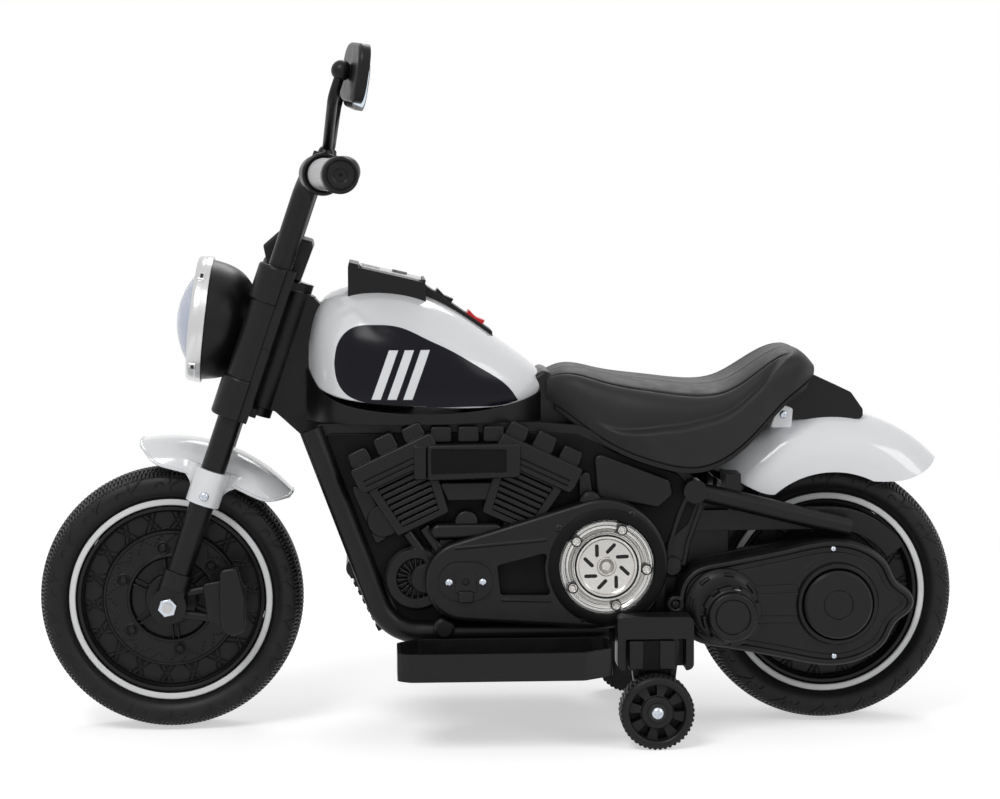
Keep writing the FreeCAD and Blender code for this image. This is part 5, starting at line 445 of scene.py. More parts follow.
class Form:
    """A mesh under construction, drawn in millimetres."""

    FACE_RING = 1.2  # A ring this many bevels in from the edge keeps a block's face flat.

    def __init__(self, name: str) -> None:
        """Start an empty form."""
        self.name = name
        self.bm = bmesh.new()

    def loft(self, rings: Sequence[Points], caps: bool = True) -> "Form":
        """Skin a row of rings.

        Args:
            rings: Closed rings of equal length, one after the other.
            caps: Whether the first and last ring get a face.

        Returns:
            The form itself.
        """
        rows = [[self.bm.verts.new(p) for p in ring] for ring in rings]
        count = len(rows[0])
        for a, b in zip(rows, rows[1:]):
            for k in range(count):
                j = (k + 1) % count
                self.bm.faces.new((a[k], a[j], b[j], b[k]))
        if caps:
            self.bm.faces.new(rows[0][::-1])
            self.bm.faces.new(rows[-1])
        return self

    def lathe(self, profile: Sequence[Flat], place: Matrix, steps: int) -> "Form":
        """Turn a closed profile about the Z axis of a frame.

        Args:
            profile: The profile's points as (radius, along).
            place: The frame that it is drawn in.
            steps: How many steps the round has.

        Returns:
            The form itself.
        """
        rings = []
        for k in range(steps + 1):
            turn = math.tau * (k % steps) / steps
            c, s = math.cos(turn), math.sin(turn)
            rings.append([place @ Vector((r * c, r * s, along)) for r, along in profile])
        return self.loft(rings, caps=False)

    def prism(self, outline: Points, near: float, far: float, place: Matrix = SIDE_VIEW,
              bevel: float = 0.0) -> "Form":
        """A raised block with an outline in a frame's XY plane and a rounded far edge.

        Args:
            outline: The closed outline, (x, y) pairs.
            near: Where the block starts along Z.
            far: Where its face lies along Z.
            place: The frame that it is drawn in.
            bevel: How far the edge of the face is rounded.

        Returns:
            The form itself.
        """
        way = 1 if far > near else -1
        steps = [(0.0, near), (0.0, far - way * bevel)]
        if bevel:
            for turn in (30, 60, 90):
                t = math.radians(turn)
                steps.append((bevel * (1 - math.cos(t)), far - way * bevel * (1 - math.sin(t))))
            steps.append((self.FACE_RING * bevel, far))
        rings = []
        for inset, level in steps:
            ring = drawn_in(outline, inset) if inset else outline
            rings.append([place @ Vector((x, y, level)) for x, y in ring])
        return self.loft(rings)

    def tube(self, path: Points, radius: float | Sequence[float], sides: int) -> "Form":
        """A round bar along a path, with closed ends.

        Args:
            path: The points of the bar's middle line.
            radius: One radius, or one for each point.
            sides: How many sides the bar has.

        Returns:
            The form itself.
        """
        spots = [Vector(p) for p in path]
        radii = [radius] * len(spots) if isinstance(radius, (int, float)) else radius
        across = (spots[1] - spots[0]).normalized().orthogonal().normalized()
        rings = []
        for k, spot in enumerate(spots):
            ahead = (spots[min(k + 1, len(spots) - 1)] - spots[max(k - 1, 0)]).normalized()
            across = (across - ahead * across.dot(ahead)).normalized()
            other = ahead.cross(across)
            turns = [math.tau * j / sides for j in range(sides)]
            rings.append([spot + (across * math.cos(t) + other * math.sin(t)) * radii[k] for t in turns])
        return self.loft(rings)

    def take(self, mesh: bpy.types.Mesh) -> "Form":
        """Take over a mesh.

        Args:
            mesh: The mesh, which is removed.

        Returns:
            The form itself.
        """
        self.bm.from_mesh(mesh)
        bpy.data.meshes.remove(mesh)
        return self

    def add(self, other: "Form", place: Matrix = Matrix()) -> "Form":
        """Take over another form, moved by a matrix.

        Args:
            other: The form, which is used up.
            place: Where it goes.

        Returns:
            The form itself.
        """
        mesh = bpy.data.meshes.new("passing")
        other.bm.to_mesh(mesh)
        other.bm.free()
        mesh.transform(place)
        return self.take(mesh)

    def twin(self) -> "Form":
        """Copy the form.

        Returns:
            A second form of the same shape.
        """
        made = Form(self.name)
        made.bm = self.bm.copy()
        return made

    def both_sides(self) -> "Form":
        """Add the mirror image on the bike's other side.

        Returns:
            The form itself.
        """
        found = bmesh.ops.duplicate(self.bm,
                                    geom=self.bm.verts[:] + self.bm.edges[:] + self.bm.faces[:])["geom"]
        for vert in found:
            if isinstance(vert, bmesh.types.BMVert):
                vert.co.y = -vert.co.y
        bmesh.ops.reverse_faces(self.bm, faces=[face for face in found if isinstance(face,
                                                                                     bmesh.types.BMFace)])
        return self

    def close(self, weld: float = 0.004) -> "Form":
        """Weld seams and poles and turn every face outwards.

        Args:
            weld: Points closer than this become one.

        Returns:
            The form itself.
        """
        bmesh.ops.remove_doubles(self.bm, verts=self.bm.verts[:], dist=weld)
        bmesh.ops.dissolve_degenerate(self.bm, edges=self.bm.edges[:], dist=weld / 4)
        bmesh.ops.recalc_face_normals(self.bm, faces=self.bm.faces[:])
        return self

    def cut(self, tool: "Form") -> "Form":
        """Take another closed form out of this one.

        Args:
            tool: The form to take out, which is used up.

        Returns:
            The form itself.
        """
        body, cutter = self.close().plain_object(), tool.close().plain_object()
        step = body.modifiers.new("cut", "BOOLEAN")
        step.operation = "DIFFERENCE"
        step.solver = "EXACT"
        step.object = cutter
        mesh = evaluated_mesh(body)
        discard(body, cutter)
        self.bm = bmesh.new()
        return self.take(mesh)

    def plain_object(self) -> bpy.types.Object:
        """Turn the form, still in millimetres, into an object.

        Returns:
            The object, linked to the scene.
        """
        mesh = bpy.data.meshes.new(self.name)
        self.bm.to_mesh(mesh)
        self.bm.free()
        made = bpy.data.objects.new(self.name, mesh)
        bpy.context.scene.collection.objects.link(made)
        return made

    def piece(self, finish: Finish, body: str, slot: str, nodes: Iterable[str] = (),
              smooth_deg: float = 34.0) -> None:
        """Finish the form as a piece of the bike.

        Args:
            finish: The finish that it wears.
            body: The CAD body that it rides on.
            slot: The record's material slot, which is not used.
            nodes: CAD nodes that it stands for.
            smooth_deg: Edges sharper than this stay sharp.
        """
        self.close()
        bmesh.ops.scale(self.bm, vec=(MM, MM, MM), verts=self.bm.verts[:])
        made = self.plain_object()
        made.data.materials.clear()
        made.data.materials.append(finish.material())
        made.data.polygons.foreach_set("material_index", [0] * len(made.data.polygons))
        made.data.shade_smooth()
        made.data.set_sharp_from_angle(angle=math.radians(smooth_deg))
        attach(made, body)
        if nodes:
            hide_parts(*nodes)
        log.info("%s: %d faces on %s", made.name, len(made.data.polygons), body)

    def pair(self, finish: Finish, body: str, slot: str, nodes: Iterable[str] = ()) -> None:
        """Mirror the form to the bike's other side and finish both as one piece."""
        self.close().both_sides().piece(finish, body, slot, nodes)


class Repeat(Enum):
    """The rules by which a small unit is repeated."""

    RING = "units_round_a_ring"
    GRID = "units_in_a_grid"
    SPOTS = "units_at_spots"


class Pattern:
    """Geometry Nodes trees that repeat a unit, one for each rule."""

    SIZES: dict[Repeat, tuple[tuple[str, str], ...]] = {
        Repeat.RING: (("Count", "NodeSocketInt"), ("Radius", "NodeSocketFloat"),
                      ("Start", "NodeSocketFloat")),
        Repeat.GRID: (("Columns", "NodeSocketInt"), ("Rows", "NodeSocketInt"),
                      ("Column Pitch", "NodeSocketFloat"), ("Row Pitch", "NodeSocketFloat")),
        Repeat.SPOTS: (("Spots", "NodeSocketObject"),),
    }

    def __init__(self, rule: Repeat) -> None:
        """Find or build the tree of one rule."""
        self.rule = rule
        self.tree = bpy.data.node_groups.get(rule.value) or self.grow()

    def grow(self) -> bpy.types.NodeTree:
        """Build the tree: points by the rule, a unit on each, made real and given its finish.

        Returns:
            The tree.
        """
        tree = bpy.data.node_groups.new(self.rule.value, "GeometryNodeTree")
        for name, kind in (("Unit", "NodeSocketGeometry"), *self.SIZES[self.rule],
                           ("Finish", "NodeSocketMaterial")):
            tree.interface.new_socket(name, in_out="INPUT", socket_type=kind)
        tree.interface.new_socket("Units", in_out="OUTPUT", socket_type="NodeSocketGeometry")
        graph = Graph(tree)
        given = graph.add("NodeGroupInput")
        lay = {Repeat.RING: self.lay_ring, Repeat.GRID: self.lay_grid,
               Repeat.SPOTS: self.lay_spots}[self.rule]
        put = graph.add("GeometryNodeInstanceOnPoints", {"Instance": given["Unit"]} | lay(graph, given))
        real = graph.add("GeometryNodeRealizeInstances", {"Geometry": put["Instances"]})
        paint = graph.add("GeometryNodeSetMaterial",
                          {"Geometry": real["Geometry"], "Material": given["Finish"]})
        graph.add("NodeGroupOutput", {"Units": paint["Geometry"]})
        return tree

    @staticmethod
    def lay_ring(graph: Graph, given: bpy.types.NodeOutputs) -> Inputs:
        """Spread the units evenly round a ring, each turned with its place.

        Args:
            graph: The tree to add to.
            given: The tree's inputs.

        Returns:
            The points and turns to put the units on.
        """
        ring = graph.add("GeometryNodeMeshCircle", {"Vertices": given["Count"]})["Mesh"]
        index = graph.add("GeometryNodeInputIndex")["Index"]
        turn = graph.maths("MULTIPLY", graph.maths("DIVIDE", math.tau, given["Count"]), index)
        turn = graph.maths("ADD", turn, given["Start"])
        spot = graph.add("ShaderNodeCombineXYZ", {
            axis: graph.maths("MULTIPLY", graph.maths(wave, turn), given["Radius"])
            for axis, wave in (("X", "COSINE"), ("Y", "SINE"))
        })
        moved = graph.add("GeometryNodeSetPosition", {"Geometry": ring, "Position": spot["Vector"]})
        aim = graph.add("ShaderNodeCombineXYZ", {"Z": turn})
        return {"Points": moved["Geometry"], "Rotation": aim["Vector"]}

    @staticmethod
    def lay_grid(graph: Graph, given: bpy.types.NodeOutputs) -> Inputs:
        """Spread the units in columns and rows about the origin.

        Args:
            graph: The tree to add to.
            given: The tree's inputs.

        Returns:
            The points to put the units on.
        """
        sizes: Inputs = {}
        for axis, count, pitch in (("X", "Columns", "Column Pitch"), ("Y", "Rows", "Row Pitch")):
            spans = graph.maths("SUBTRACT", given[count], 1.0)
            sizes["Size " + axis] = graph.maths("MULTIPLY", spans, given[pitch])
            sizes["Vertices " + axis] = given[count]
        return {"Points": graph.add("GeometryNodeMeshGrid", sizes)["Mesh"]}

    @staticmethod
    def lay_spots(graph: Graph, given: bpy.types.NodeOutputs) -> Inputs:
        """Put a unit on each point of an object."""
        return {"Points": graph.add("GeometryNodeObjectInfo", {"Object": given["Spots"]})["Geometry"]}

    def run(self, unit: Form, finish: Finish, **sizes: object) -> Form:
        """Repeat a unit.

        Args:
            unit: The unit, about the origin.
            finish: The finish of the result.
            sizes: The tree's named inputs, spaces written as underscores.

        Returns:
            The repeated units as one form, about the origin.
        """
        holder = unit.close().plain_object()
        step = holder.modifiers.new(self.rule.value, "NODES")
        step.node_group = self.tree
        wanted = {name.replace("_", " "): value for name, value in sizes.items()}
        wanted["Finish"] = finish.material()
        for item in self.tree.interface.items_tree:
            if item.in_out == "INPUT" and item.name in wanted:
                step[item.identifier] = wanted[item.name]
        mesh = evaluated_mesh(holder)
        discard(holder)
        return Form(unit.name).take(mesh)


def ring_of(unit: Form, count: int, finish: Finish, start_deg: float = 0.0, radius: float = 0.0) -> Form:
    """Units spread round a ring about Z."""
    return Pattern(Repeat.RING).run(unit, finish, Count=count, Radius=radius, Start=math.radians(start_deg))


def grid_of(unit: Form, columns: int, rows: int, pitch: Flat, finish: Finish) -> Form:
    """Units spread in columns and rows about the origin."""
    sizes = {"Columns": columns, "Rows": rows, "Column_Pitch": pitch[0], "Row_Pitch": pitch[1]}
    return Pattern(Repeat.GRID).run(unit, finish, **sizes)


def spots_of(unit: Form, spots: Points, finish: Finish) -> Form:
    """Put units at given places.

    Args:
        unit: The unit, about the origin.
        spots: The places.
        finish: The finish of the result.

    Returns:
        The units as one form.
    """
    holder = Form("spots")
    for spot in spots:
        holder.bm.verts.new(spot)
    marks = holder.plain_object()
    made = Pattern(Repeat.SPOTS).run(unit, finish, Spots=marks)
    discard(marks)
    return made


@dataclass
class RoadWheel:
    """One of the two big wheels: tyre with its tread, white trim ring and spoked rim."""

    name: str
    axle: Flat
    hub_face: float
    bore: float
    shoulder: Flat = (96.4, 25.0)
    crown: float = 101.7
    lugs: int = 192
    lug_rise: float = 1.25
    stroke: float = 0.95
    marks: int = 18
    spokes: int = 18
    bolts: int = 6
    bolt_ring: float = 40.0
    bolt_start_deg: float = 38.5

    def place(self) -> Matrix:
        """The wheel's frame, with Z out along the axle to the bike's left."""
        return side_at(*self.axle)

    def flank(self) -> list[Flat]:
        """One sidewall as (radius, along), from the bead to the shoulder."""
        return [(73.3, 19.6), (74.0, 20.6), (79.2, 20.8), (80.0, 20.2), (81.0, 21.4)] + arc_through(
            (82.0, 23.2), (88.6, 26.6), self.shoulder, 12)

    def bend(self) -> float:
        """The radius of the tread's arc from shoulder to shoulder."""
        drop = self.crown - self.shoulder[0]
        return (self.shoulder[1] ** 2 + drop**2) / (2 * drop)

    def along(self, radius: float) -> float:
        """Find the tyre's skin.

        Args:
            radius: How far from the axle.

        Returns:
            How far out from the wheel's middle the skin lies there.
        """
        if radius <= self.shoulder[0]:
            return float(np.interp(radius, *zip(*self.flank()[4:])))
        bend = self.bend()
        return math.sqrt(max(0.0, bend**2 - (radius - self.crown + bend) ** 2))

    def crown_at(self, along: float) -> float:
        """The radius of the bare tread at a distance from its middle."""
        return self.crown - self.bend() + math.sqrt(self.bend() ** 2 - along**2)

    def tread(self) -> Form:
        """Rows of small lugs round the tread, each row half a pitch on from the last.

        Returns:
            The lugs in the wheel's frame.
        """
        pitch = math.tau * self.crown / self.lugs
        section = ((-0.5, -0.40), (self.lug_rise, -0.2), (self.lug_rise, 0.2), (-0.5, 0.40))
        unit = Form("tread_lug")
        for row, (start, end) in enumerate(((0.5, 8.0), (8.8, 16.3), (17.1, 24.2))):
            for side in (1, -1):
                rings = []
                for along in (start, end):
                    base = self.crown_at(along)
                    shift = pitch * (0.5 * (row % 2) + 0.1 * along / end)
                    rings.append([(base + up, shift + pitch * wide, side * along) for up, wide in section])
                unit.loft(rings)
        return ring_of(unit, self.lugs, TYRE_BLACK)

    def sidewall_marks(self) -> Form:
        """Curved strokes moulded on the sidewall, in groups round the tyre.

        Returns:
            The strokes of the left sidewall in the wheel's frame.
        """
        unit = Form("sidewall_mark")
        strokes = (
            ((100.2, 0.0), (97.2, 2.6), (93.6, 6.0), (90.8, 8.6), (88.6, 9.6), (87.2, 9.2)),
            ((100.4, 12.6), (97.4, 10.4), (94.4, 9.4), (91.6, 10.2)),
            ((90.6, 13.0), (92.4, 13.6), (92.8, 15.2), (91.0, 16.6), (88.8, 16.8)),
        )
        for stroke in strokes:
            path = []
            for radius, deg in smooth_line(stroke, 9):
                turn = math.radians(deg)
                path.append((radius * math.cos(turn), radius * math.sin(turn), self.along(radius) + 0.05))
            swells = [math.sin(math.pi * (0.1 + 0.8 * k / 9)) for k in range(10)]
            unit.tube(path, [self.stroke * (0.35 + 0.65 * swell) for swell in swells], 6)
        return ring_of(unit, self.marks, TYRE_BLACK)

    def tyre(self) -> None:
        """The tyre with tread and sidewall marks."""
        flank = self.flank()
        tread = arc_through(self.shoulder, (self.crown, 0.0), (self.shoulder[0], -self.shoulder[1]), 14)[1:-1]
        made = Form("tyre").lathe(flank + tread + [(r, -a) for r, a in reversed(flank)], Matrix(), 128)
        marks = self.sidewall_marks()
        made.add(marks.twin()).add(marks, HALF_TURN).add(self.tread())
        shaped = Form(self.name + "_tyre_look").add(made, self.place())
        shaped.piece(TYRE_BLACK, self.name + "_wheel", "tyre", [self.name + "_tyre"])

    def rim_half(self) -> list[Flat]:
        """Draw the rim's section on one side, from bore to barrel.

        Returns:
            The section's points as (radius, along).
        """
        face = self.hub_face
        return [(self.bore, face), (9.3, face), (10.0, face - 0.7), (10.0, 22.0), (11.0, 21.0), (18.8, 20.6),
                (20.0, 19.6), (20.3, 12.4), (21.0, 11.6), (31.2, 11.6), (31.8, 12.2), (32.0, 15.6),
                (32.8, 16.4), (34.4, 16.4), (35.0, 15.7), (51.0, 15.4), (51.4, 16.3), (52.8, 16.5),
                (53.4, 15.8), (53.8, 9.6), (54.6, 8.8), (67.6, 8.8), (68.3, 9.5), (68.5, 17.0), (69.2, 17.6),
                (69.4, 19.0), (70.2, 19.9), (72.6, 20.2), (73.0, 19.6)]

    def rim_details(self) -> Form:
        """Spokes, bolts, drilled dots and window ribs on one side of the rim.

        Returns:
            The details in the wheel's frame.
        """
        made = Form("rim_details")
        spoke = Form("spoke_group")
        for shift in (-2.6, 1.2):
            for lean in (1, -1):
                near, far = lean * shift - 3.4 * lean, lean * shift + 4.6 * lean
                path = [(54.2, near, 9.0), (61.0, (near + far) / 2, 9.5), (68.2, far, 9.0)]
                spoke.tube(path, 0.62, 6)
        made.add(ring_of(spoke, self.spokes, SATIN_BLACK, 5.0))
        bolt = Form("rim_bolt")
        bolt.lathe([(0.0, 14.0), (0.0, 17.2), (2.2, 17.2), (2.9, 16.6), (2.9, 14.0)], Matrix(), 12)
        bolt.lathe([(4.0, 14.6), (4.0, 15.9), (4.5, 16.3), (5.1, 15.9), (5.1, 14.6)], Matrix(), 20)
        made.add(ring_of(bolt, self.bolts, SATIN_BLACK, self.bolt_start_deg, self.bolt_ring))
        dots = Form("drilled_dots")
        for k in range(10):
            radius = 43.6 + 6.6 * abs((k % 6) / 3.0 - 1.0)
            turn = math.radians(3.0 * k)
            spot = Matrix.Translation((radius * math.cos(turn), radius * math.sin(turn), 15.2))
            dots.lathe([(0.35, 0.0), (0.35, 0.5), (0.7, 0.75), (1.05, 0.5), (1.05, 0.0)], spot, 8)
        made.add(ring_of(dots, 2 * self.bolts, SATIN_BLACK, self.bolt_start_deg))
        rib = Form("window_rib")
        for off in (-2.1, 2.1):
            rib.prism(box(20.0, off - 0.8, 32.0, off + 0.8), 11.0, 15.2, Matrix(), 0.5)
        made.add(ring_of(rib, self.bolts, SATIN_BLACK, self.bolt_start_deg - 3.0))
        return made

    def rim(self) -> None:
        """The rim with its moulded spokes, disc and bolts on both sides."""
        half = self.rim_half()
        made = Form("rim").lathe(half + [(r, -a) for r, a in reversed(half)], Matrix(), 96)
        details = self.rim_details()
        made.add(details.twin()).add(details, HALF_TURN)
        shaped = Form(self.name + "_rim_look").add(made, self.place())
        shaped.piece(SATIN_BLACK, self.name + "_wheel", "satin_black", [self.name + "_rim"])

    def trim(self) -> None:
        """The pale trim ring on each side of the tyre."""
        made = Form(self.name + "_trim_ring")
        ring = [(74.3, 20.2), (74.3, 21.4), (75.0, 22.0), (78.2, 22.0), (78.9, 21.4), (78.9, 20.2)]
        for way in (1, -1):
            made.lathe([(r, way * a) for r, a in ring], self.place(), 128)
        made.piece(TRIM_WHITE, self.name + "_wheel", "gloss_white")

    def build(self) -> None:
        """Make every piece of the wheel."""
        self.tyre()
        self.rim()
        self.trim()


@dataclass
class Engine:
    """The moulded engine panels on both sides: finned cylinders, badge, fan and pipes."""

    centre: float = -28.5
    spacing: float = 64.0
    foot: float = 167.0
    lean_deg: float = 25.0
    back: float = 56.0
    panel: float = 58.0
    panel_corner: Flat = (-146.0, 72.0)
    panel_size: Flat = (272.0, 171.0)
    fins: int = 7
    fin_pitch: float = 4.9
    fin_half: float = 1.8

    def cylinder(self, side: int) -> Form:
        """One leaning cylinder with its finned window, head and rocker blocks.

        Args:
            side: -1 for the front cylinder, 1 for the rear one.

        Returns:
            The cylinder on the bike's left.
        """
        place = side_at(self.centre + side * self.spacing / 2, self.foot)
        place = place @ Matrix.Rotation(math.radians(-side * self.lean_deg), 4, "Z")
        barrel = Form("barrel").prism(rounded(taper(0, 0, 21.5, 42, 27.5), 2.4), self.back, 72.4, place, 1.3)
        window = rounded(taper(0, 5.0, 15.5, 39.8, 20.5), 1.0)
        barrel.cut(Form("window").prism(window, 66.0, 85.0, place))
        for k in range(self.fins):
            height = 7.4 + self.fin_pitch * k
            half = 15.4 + 5.0 * (height - 5.0) / 34.8
            bar = rounded(box(-half, height - self.fin_half, half, height + self.fin_half), 0.9, 2)
            barrel.prism(bar, 65.0, 72.2, place, 0.7)
        outline = rounded([(-30, 41), (33, 41), (35, 46), (35, 62), (-33, 62), (-33, 46)], 2.4)
        head = Form("head").prism(outline, self.back, 75.6, place, 1.5)
        groove = Form("grooves")
        for height in (45.2, 49.4):
            groove.prism(box(-27, height, 29, height + 1.3), 73.4, 85.0, place)
        barrel.add(head.cut(groove))
        for across, top in ((-22.5, 73.0), (0.0, 75.0), (22.5, 73.0)):
            barrel.prism(rounded(taper(across, 61, 8.6, top, 7.6), 2.4), self.back, 70.4, place, 1.3)
        return barrel

    def badge(self) -> Form:
        """The bare badge block between the cylinders, with its sunk panel.

        Returns:
            The badge on the bike's left.
        """
        block = rounded([(-57.5, 201), (13, 203), (13.6, 229), (-57.5, 228.5)], 2.8)
        inset = rounded([(-55, 206), (2.6, 207), (2.8, 225), (-55, 225.6)], 1.5)
        made = Form("badge").prism(block, self.back, 78.6, bevel=1.7)
        made.cut(Form("badge_inset").prism(inset, 77.2, 90.0))
        end = rounded([(-68, 202), (-58, 201.5), (-58, 228), (-68, 228)], 2.2)
        made.prism(end, self.back, 77.0, bevel=1.3)
        for x in (-47.0, -26.0, -6.5):
            made.prism(rounded(taper(x, 229, 8.4, 241.5, 7.8), 2.2), self.back, 68.4, bevel=1.3)
        return made

    def crankcase(self) -> Form:
        """What lies between and below the cylinders.

        Returns:
            The crankcase on the bike's left.
        """
        made = Form("crankcase")
        blocks = (
            (((-49, 199), (-4, 199), (-12, 185), (-42, 184.5)), 2.2, 70.0, 1.3),
            (((-50, 155), (-7, 155), (-13, 146), (-44, 142)), 2.0, 66.6, 1.2),
            (((-118, 199), (-100, 190), (-84, 158), (-97, 150)), 3.0, 61.5, 1.2),
            (((70, 221), (128, 199), (132, 188), (120, 177), (73, 185)), 5.0, 65.0, 1.8),
            (((58, 203), (67, 206), (70, 186), (60, 180)), 3.0, 64.0, 1.4),
        )
        for outline, corner, face, bevel in blocks:
            made.prism(rounded(outline, corner), self.back, face, bevel=bevel)
        made.prism(circle((-27.8, 168), 9, 35), self.back, 70.0, bevel=1.6)
        made.prism(belt((-49.2, 161.6), 5.8, (-6.2, 161.6), 5.8, 14), self.back, 74.5, bevel=3.0)
        made.prism(circle((-90.8, 169), 13, 39), self.back, 63.0, bevel=1.4)
        pipes = (((-73, 160), (-54, 134), 4.2), ((-60, 164), (-44, 140), 4.8), ((6, 168), (-8, 148), 4.4),
                 ((38, 168), (44, 158), 4.4))
        for start, end, size in pipes:
            made.tube([(x, -63.5, z) for x, z in (start, end)], size, 16)
        return made

    def fan(self) -> Form:
        """The ribbed ring at the front end, with the plain disc before it.

        Returns:
            The fan on the bike's left.
        """
        place = side_at(-66.0, 124.5)
        ring = [(14.6, 57.0), (14.6, 65.5), (16.0, 67.2), (22.6, 67.2), (25.0, 64.6), (25.0, 57.0)]
        made = Form("fan").lathe(ring, place, 64)
        made.lathe([(0.0, 57.0), (0.0, 60.5), (15.0, 60.5), (15.0, 57.0)], place, 40)
        blade = Form("fan_blade").prism(box(7.5, -0.75, 15.2, 0.75), 59.0, 66.0, Matrix(), 0.5)
        made.add(ring_of(blade, 20, SATIN_BLACK, 4.0), place)
        hub = [(0.0, 57.0), (0.0, 69.6), (10.4, 69.6), (12.0, 68.0), (12.0, 57.0)]
        made.lathe(hub, side_at(-58.5, 124.5), 40)
        return made

    def build(self) -> None:
        """Make the panels of both sides."""
        shares = ((0.0, 1.0), (0.64, 1.0), (0.757, 0.985), (0.923, 0.865), (1.051, 0.8), (1.125, 0.66),
                  (1.088, 0.51), (1.004, 0.39), (1.0, 0.07), (0.97, 0.0), (0.3, 0.0), (0.235, 0.08),
                  (0.165, 0.3))
        (x, z), (long, tall) = self.panel_corner, self.panel_size
        outline = drawn_in([(x + long * a, z + tall * b) for a, b in shares], 7.0)
        # The base panel and the badge's sunk field wear the painted-shade black: painted shade in the gaps
        # round the cylinders, badge and crankcase.
        base = Form("engine_base_look").prism(rounded(outline, 4.0), 54.6, self.panel, bevel=1.0)
        field = rounded([(-54.4, 206.6), (2.1, 207.6), (2.2, 224.4), (-54.4, 225.0)], 1.2)
        base.prism(field, 76.4, 77.5, bevel=0.2)
        base.pair(PAINTED_SHADE_BLACK, "frame", "satin_black")
        made = Form("engine_panels_look")
        for part in (self.cylinder(-1), self.cylinder(1), self.badge(), self.crankcase(), self.fan()):
            made.add(part)
        made.pair(SATIN_BLACK, "frame", "satin_black", ["engine_panels"])


@dataclass
class PrimaryCover:
    """The long cover low on each side, with its rim, sunk wedge and lamp ring."""

    charge: Flat = CHARGE_PORT
    charge_radius: float = 31.0
    lamp: Flat = (76.0, 136.0)
    lamp_radius: float = 50.0
    lens: Flat = SIDE_LAMP
    near: float = 57.0
    face: float = 80.0
    recess: float = 36.6
    floor: float = 70.0

    def build(self) -> None:
        """Make the covers of both sides."""
        outline = belt(self.charge, self.charge_radius, self.lamp, self.lamp_radius, 40)
        made = Form("primary_covers_look").prism(outline, self.near, self.face, bevel=3.2)
        wedge = rounded([(-2.5, 113.2), (36.5, 112.6), (32.8, 122), (31.4, 134), (33.4, 145.6),
                         (-5.0, 136.0)], 2.4)
        made.cut(Form("wedge").prism(wedge, 70.6, 95.0))
        made.cut(Form("cup").prism(circle(self.lens, self.recess, 72), self.floor, 95.0))
        made.tube([(self.charge[0] - 8, -79.4, self.charge[1] + 25.6), (33.0, -79.4, 155.4)], 1.3, 10)
        crease = rounded([(-2.0, 108.6), (36.0, 107.4), (36.0, 109.2), (-2.0, 110.4)], 0.6, 2)
        made.prism(crease, 78.0, 80.8, bevel=0.4)
        knob = [(0.0, 56.0), (0.0, 74.5), (6.0, 74.5), (8.2, 72.6), (8.2, 56.0)]
        for x, z in ((67.0, 183.0), (-45.5, 86.5)):
            made.lathe(knob, side_at(x, z), 32)
        made.pair(SATIN_BLACK, "frame", "satin_black", ["primary_covers"])
        # The ring round the lamp cup and the thin floor in the sunk wedge are painted shade, in the
        # painted-shade black.
        ring = [(36.6, 78.0), (36.6, 81.6), (37.5, 82.6), (41.6, 82.6), (44.8, 80.8), (45.2, 78.0)]
        dark = Form("primary_shades").lathe(ring, side_at(*self.lens), 96)
        dark.prism(wedge, 70.0, 71.2, bevel=0.2)
        dark.pair(PAINTED_SHADE_BLACK, "frame", "satin_black")


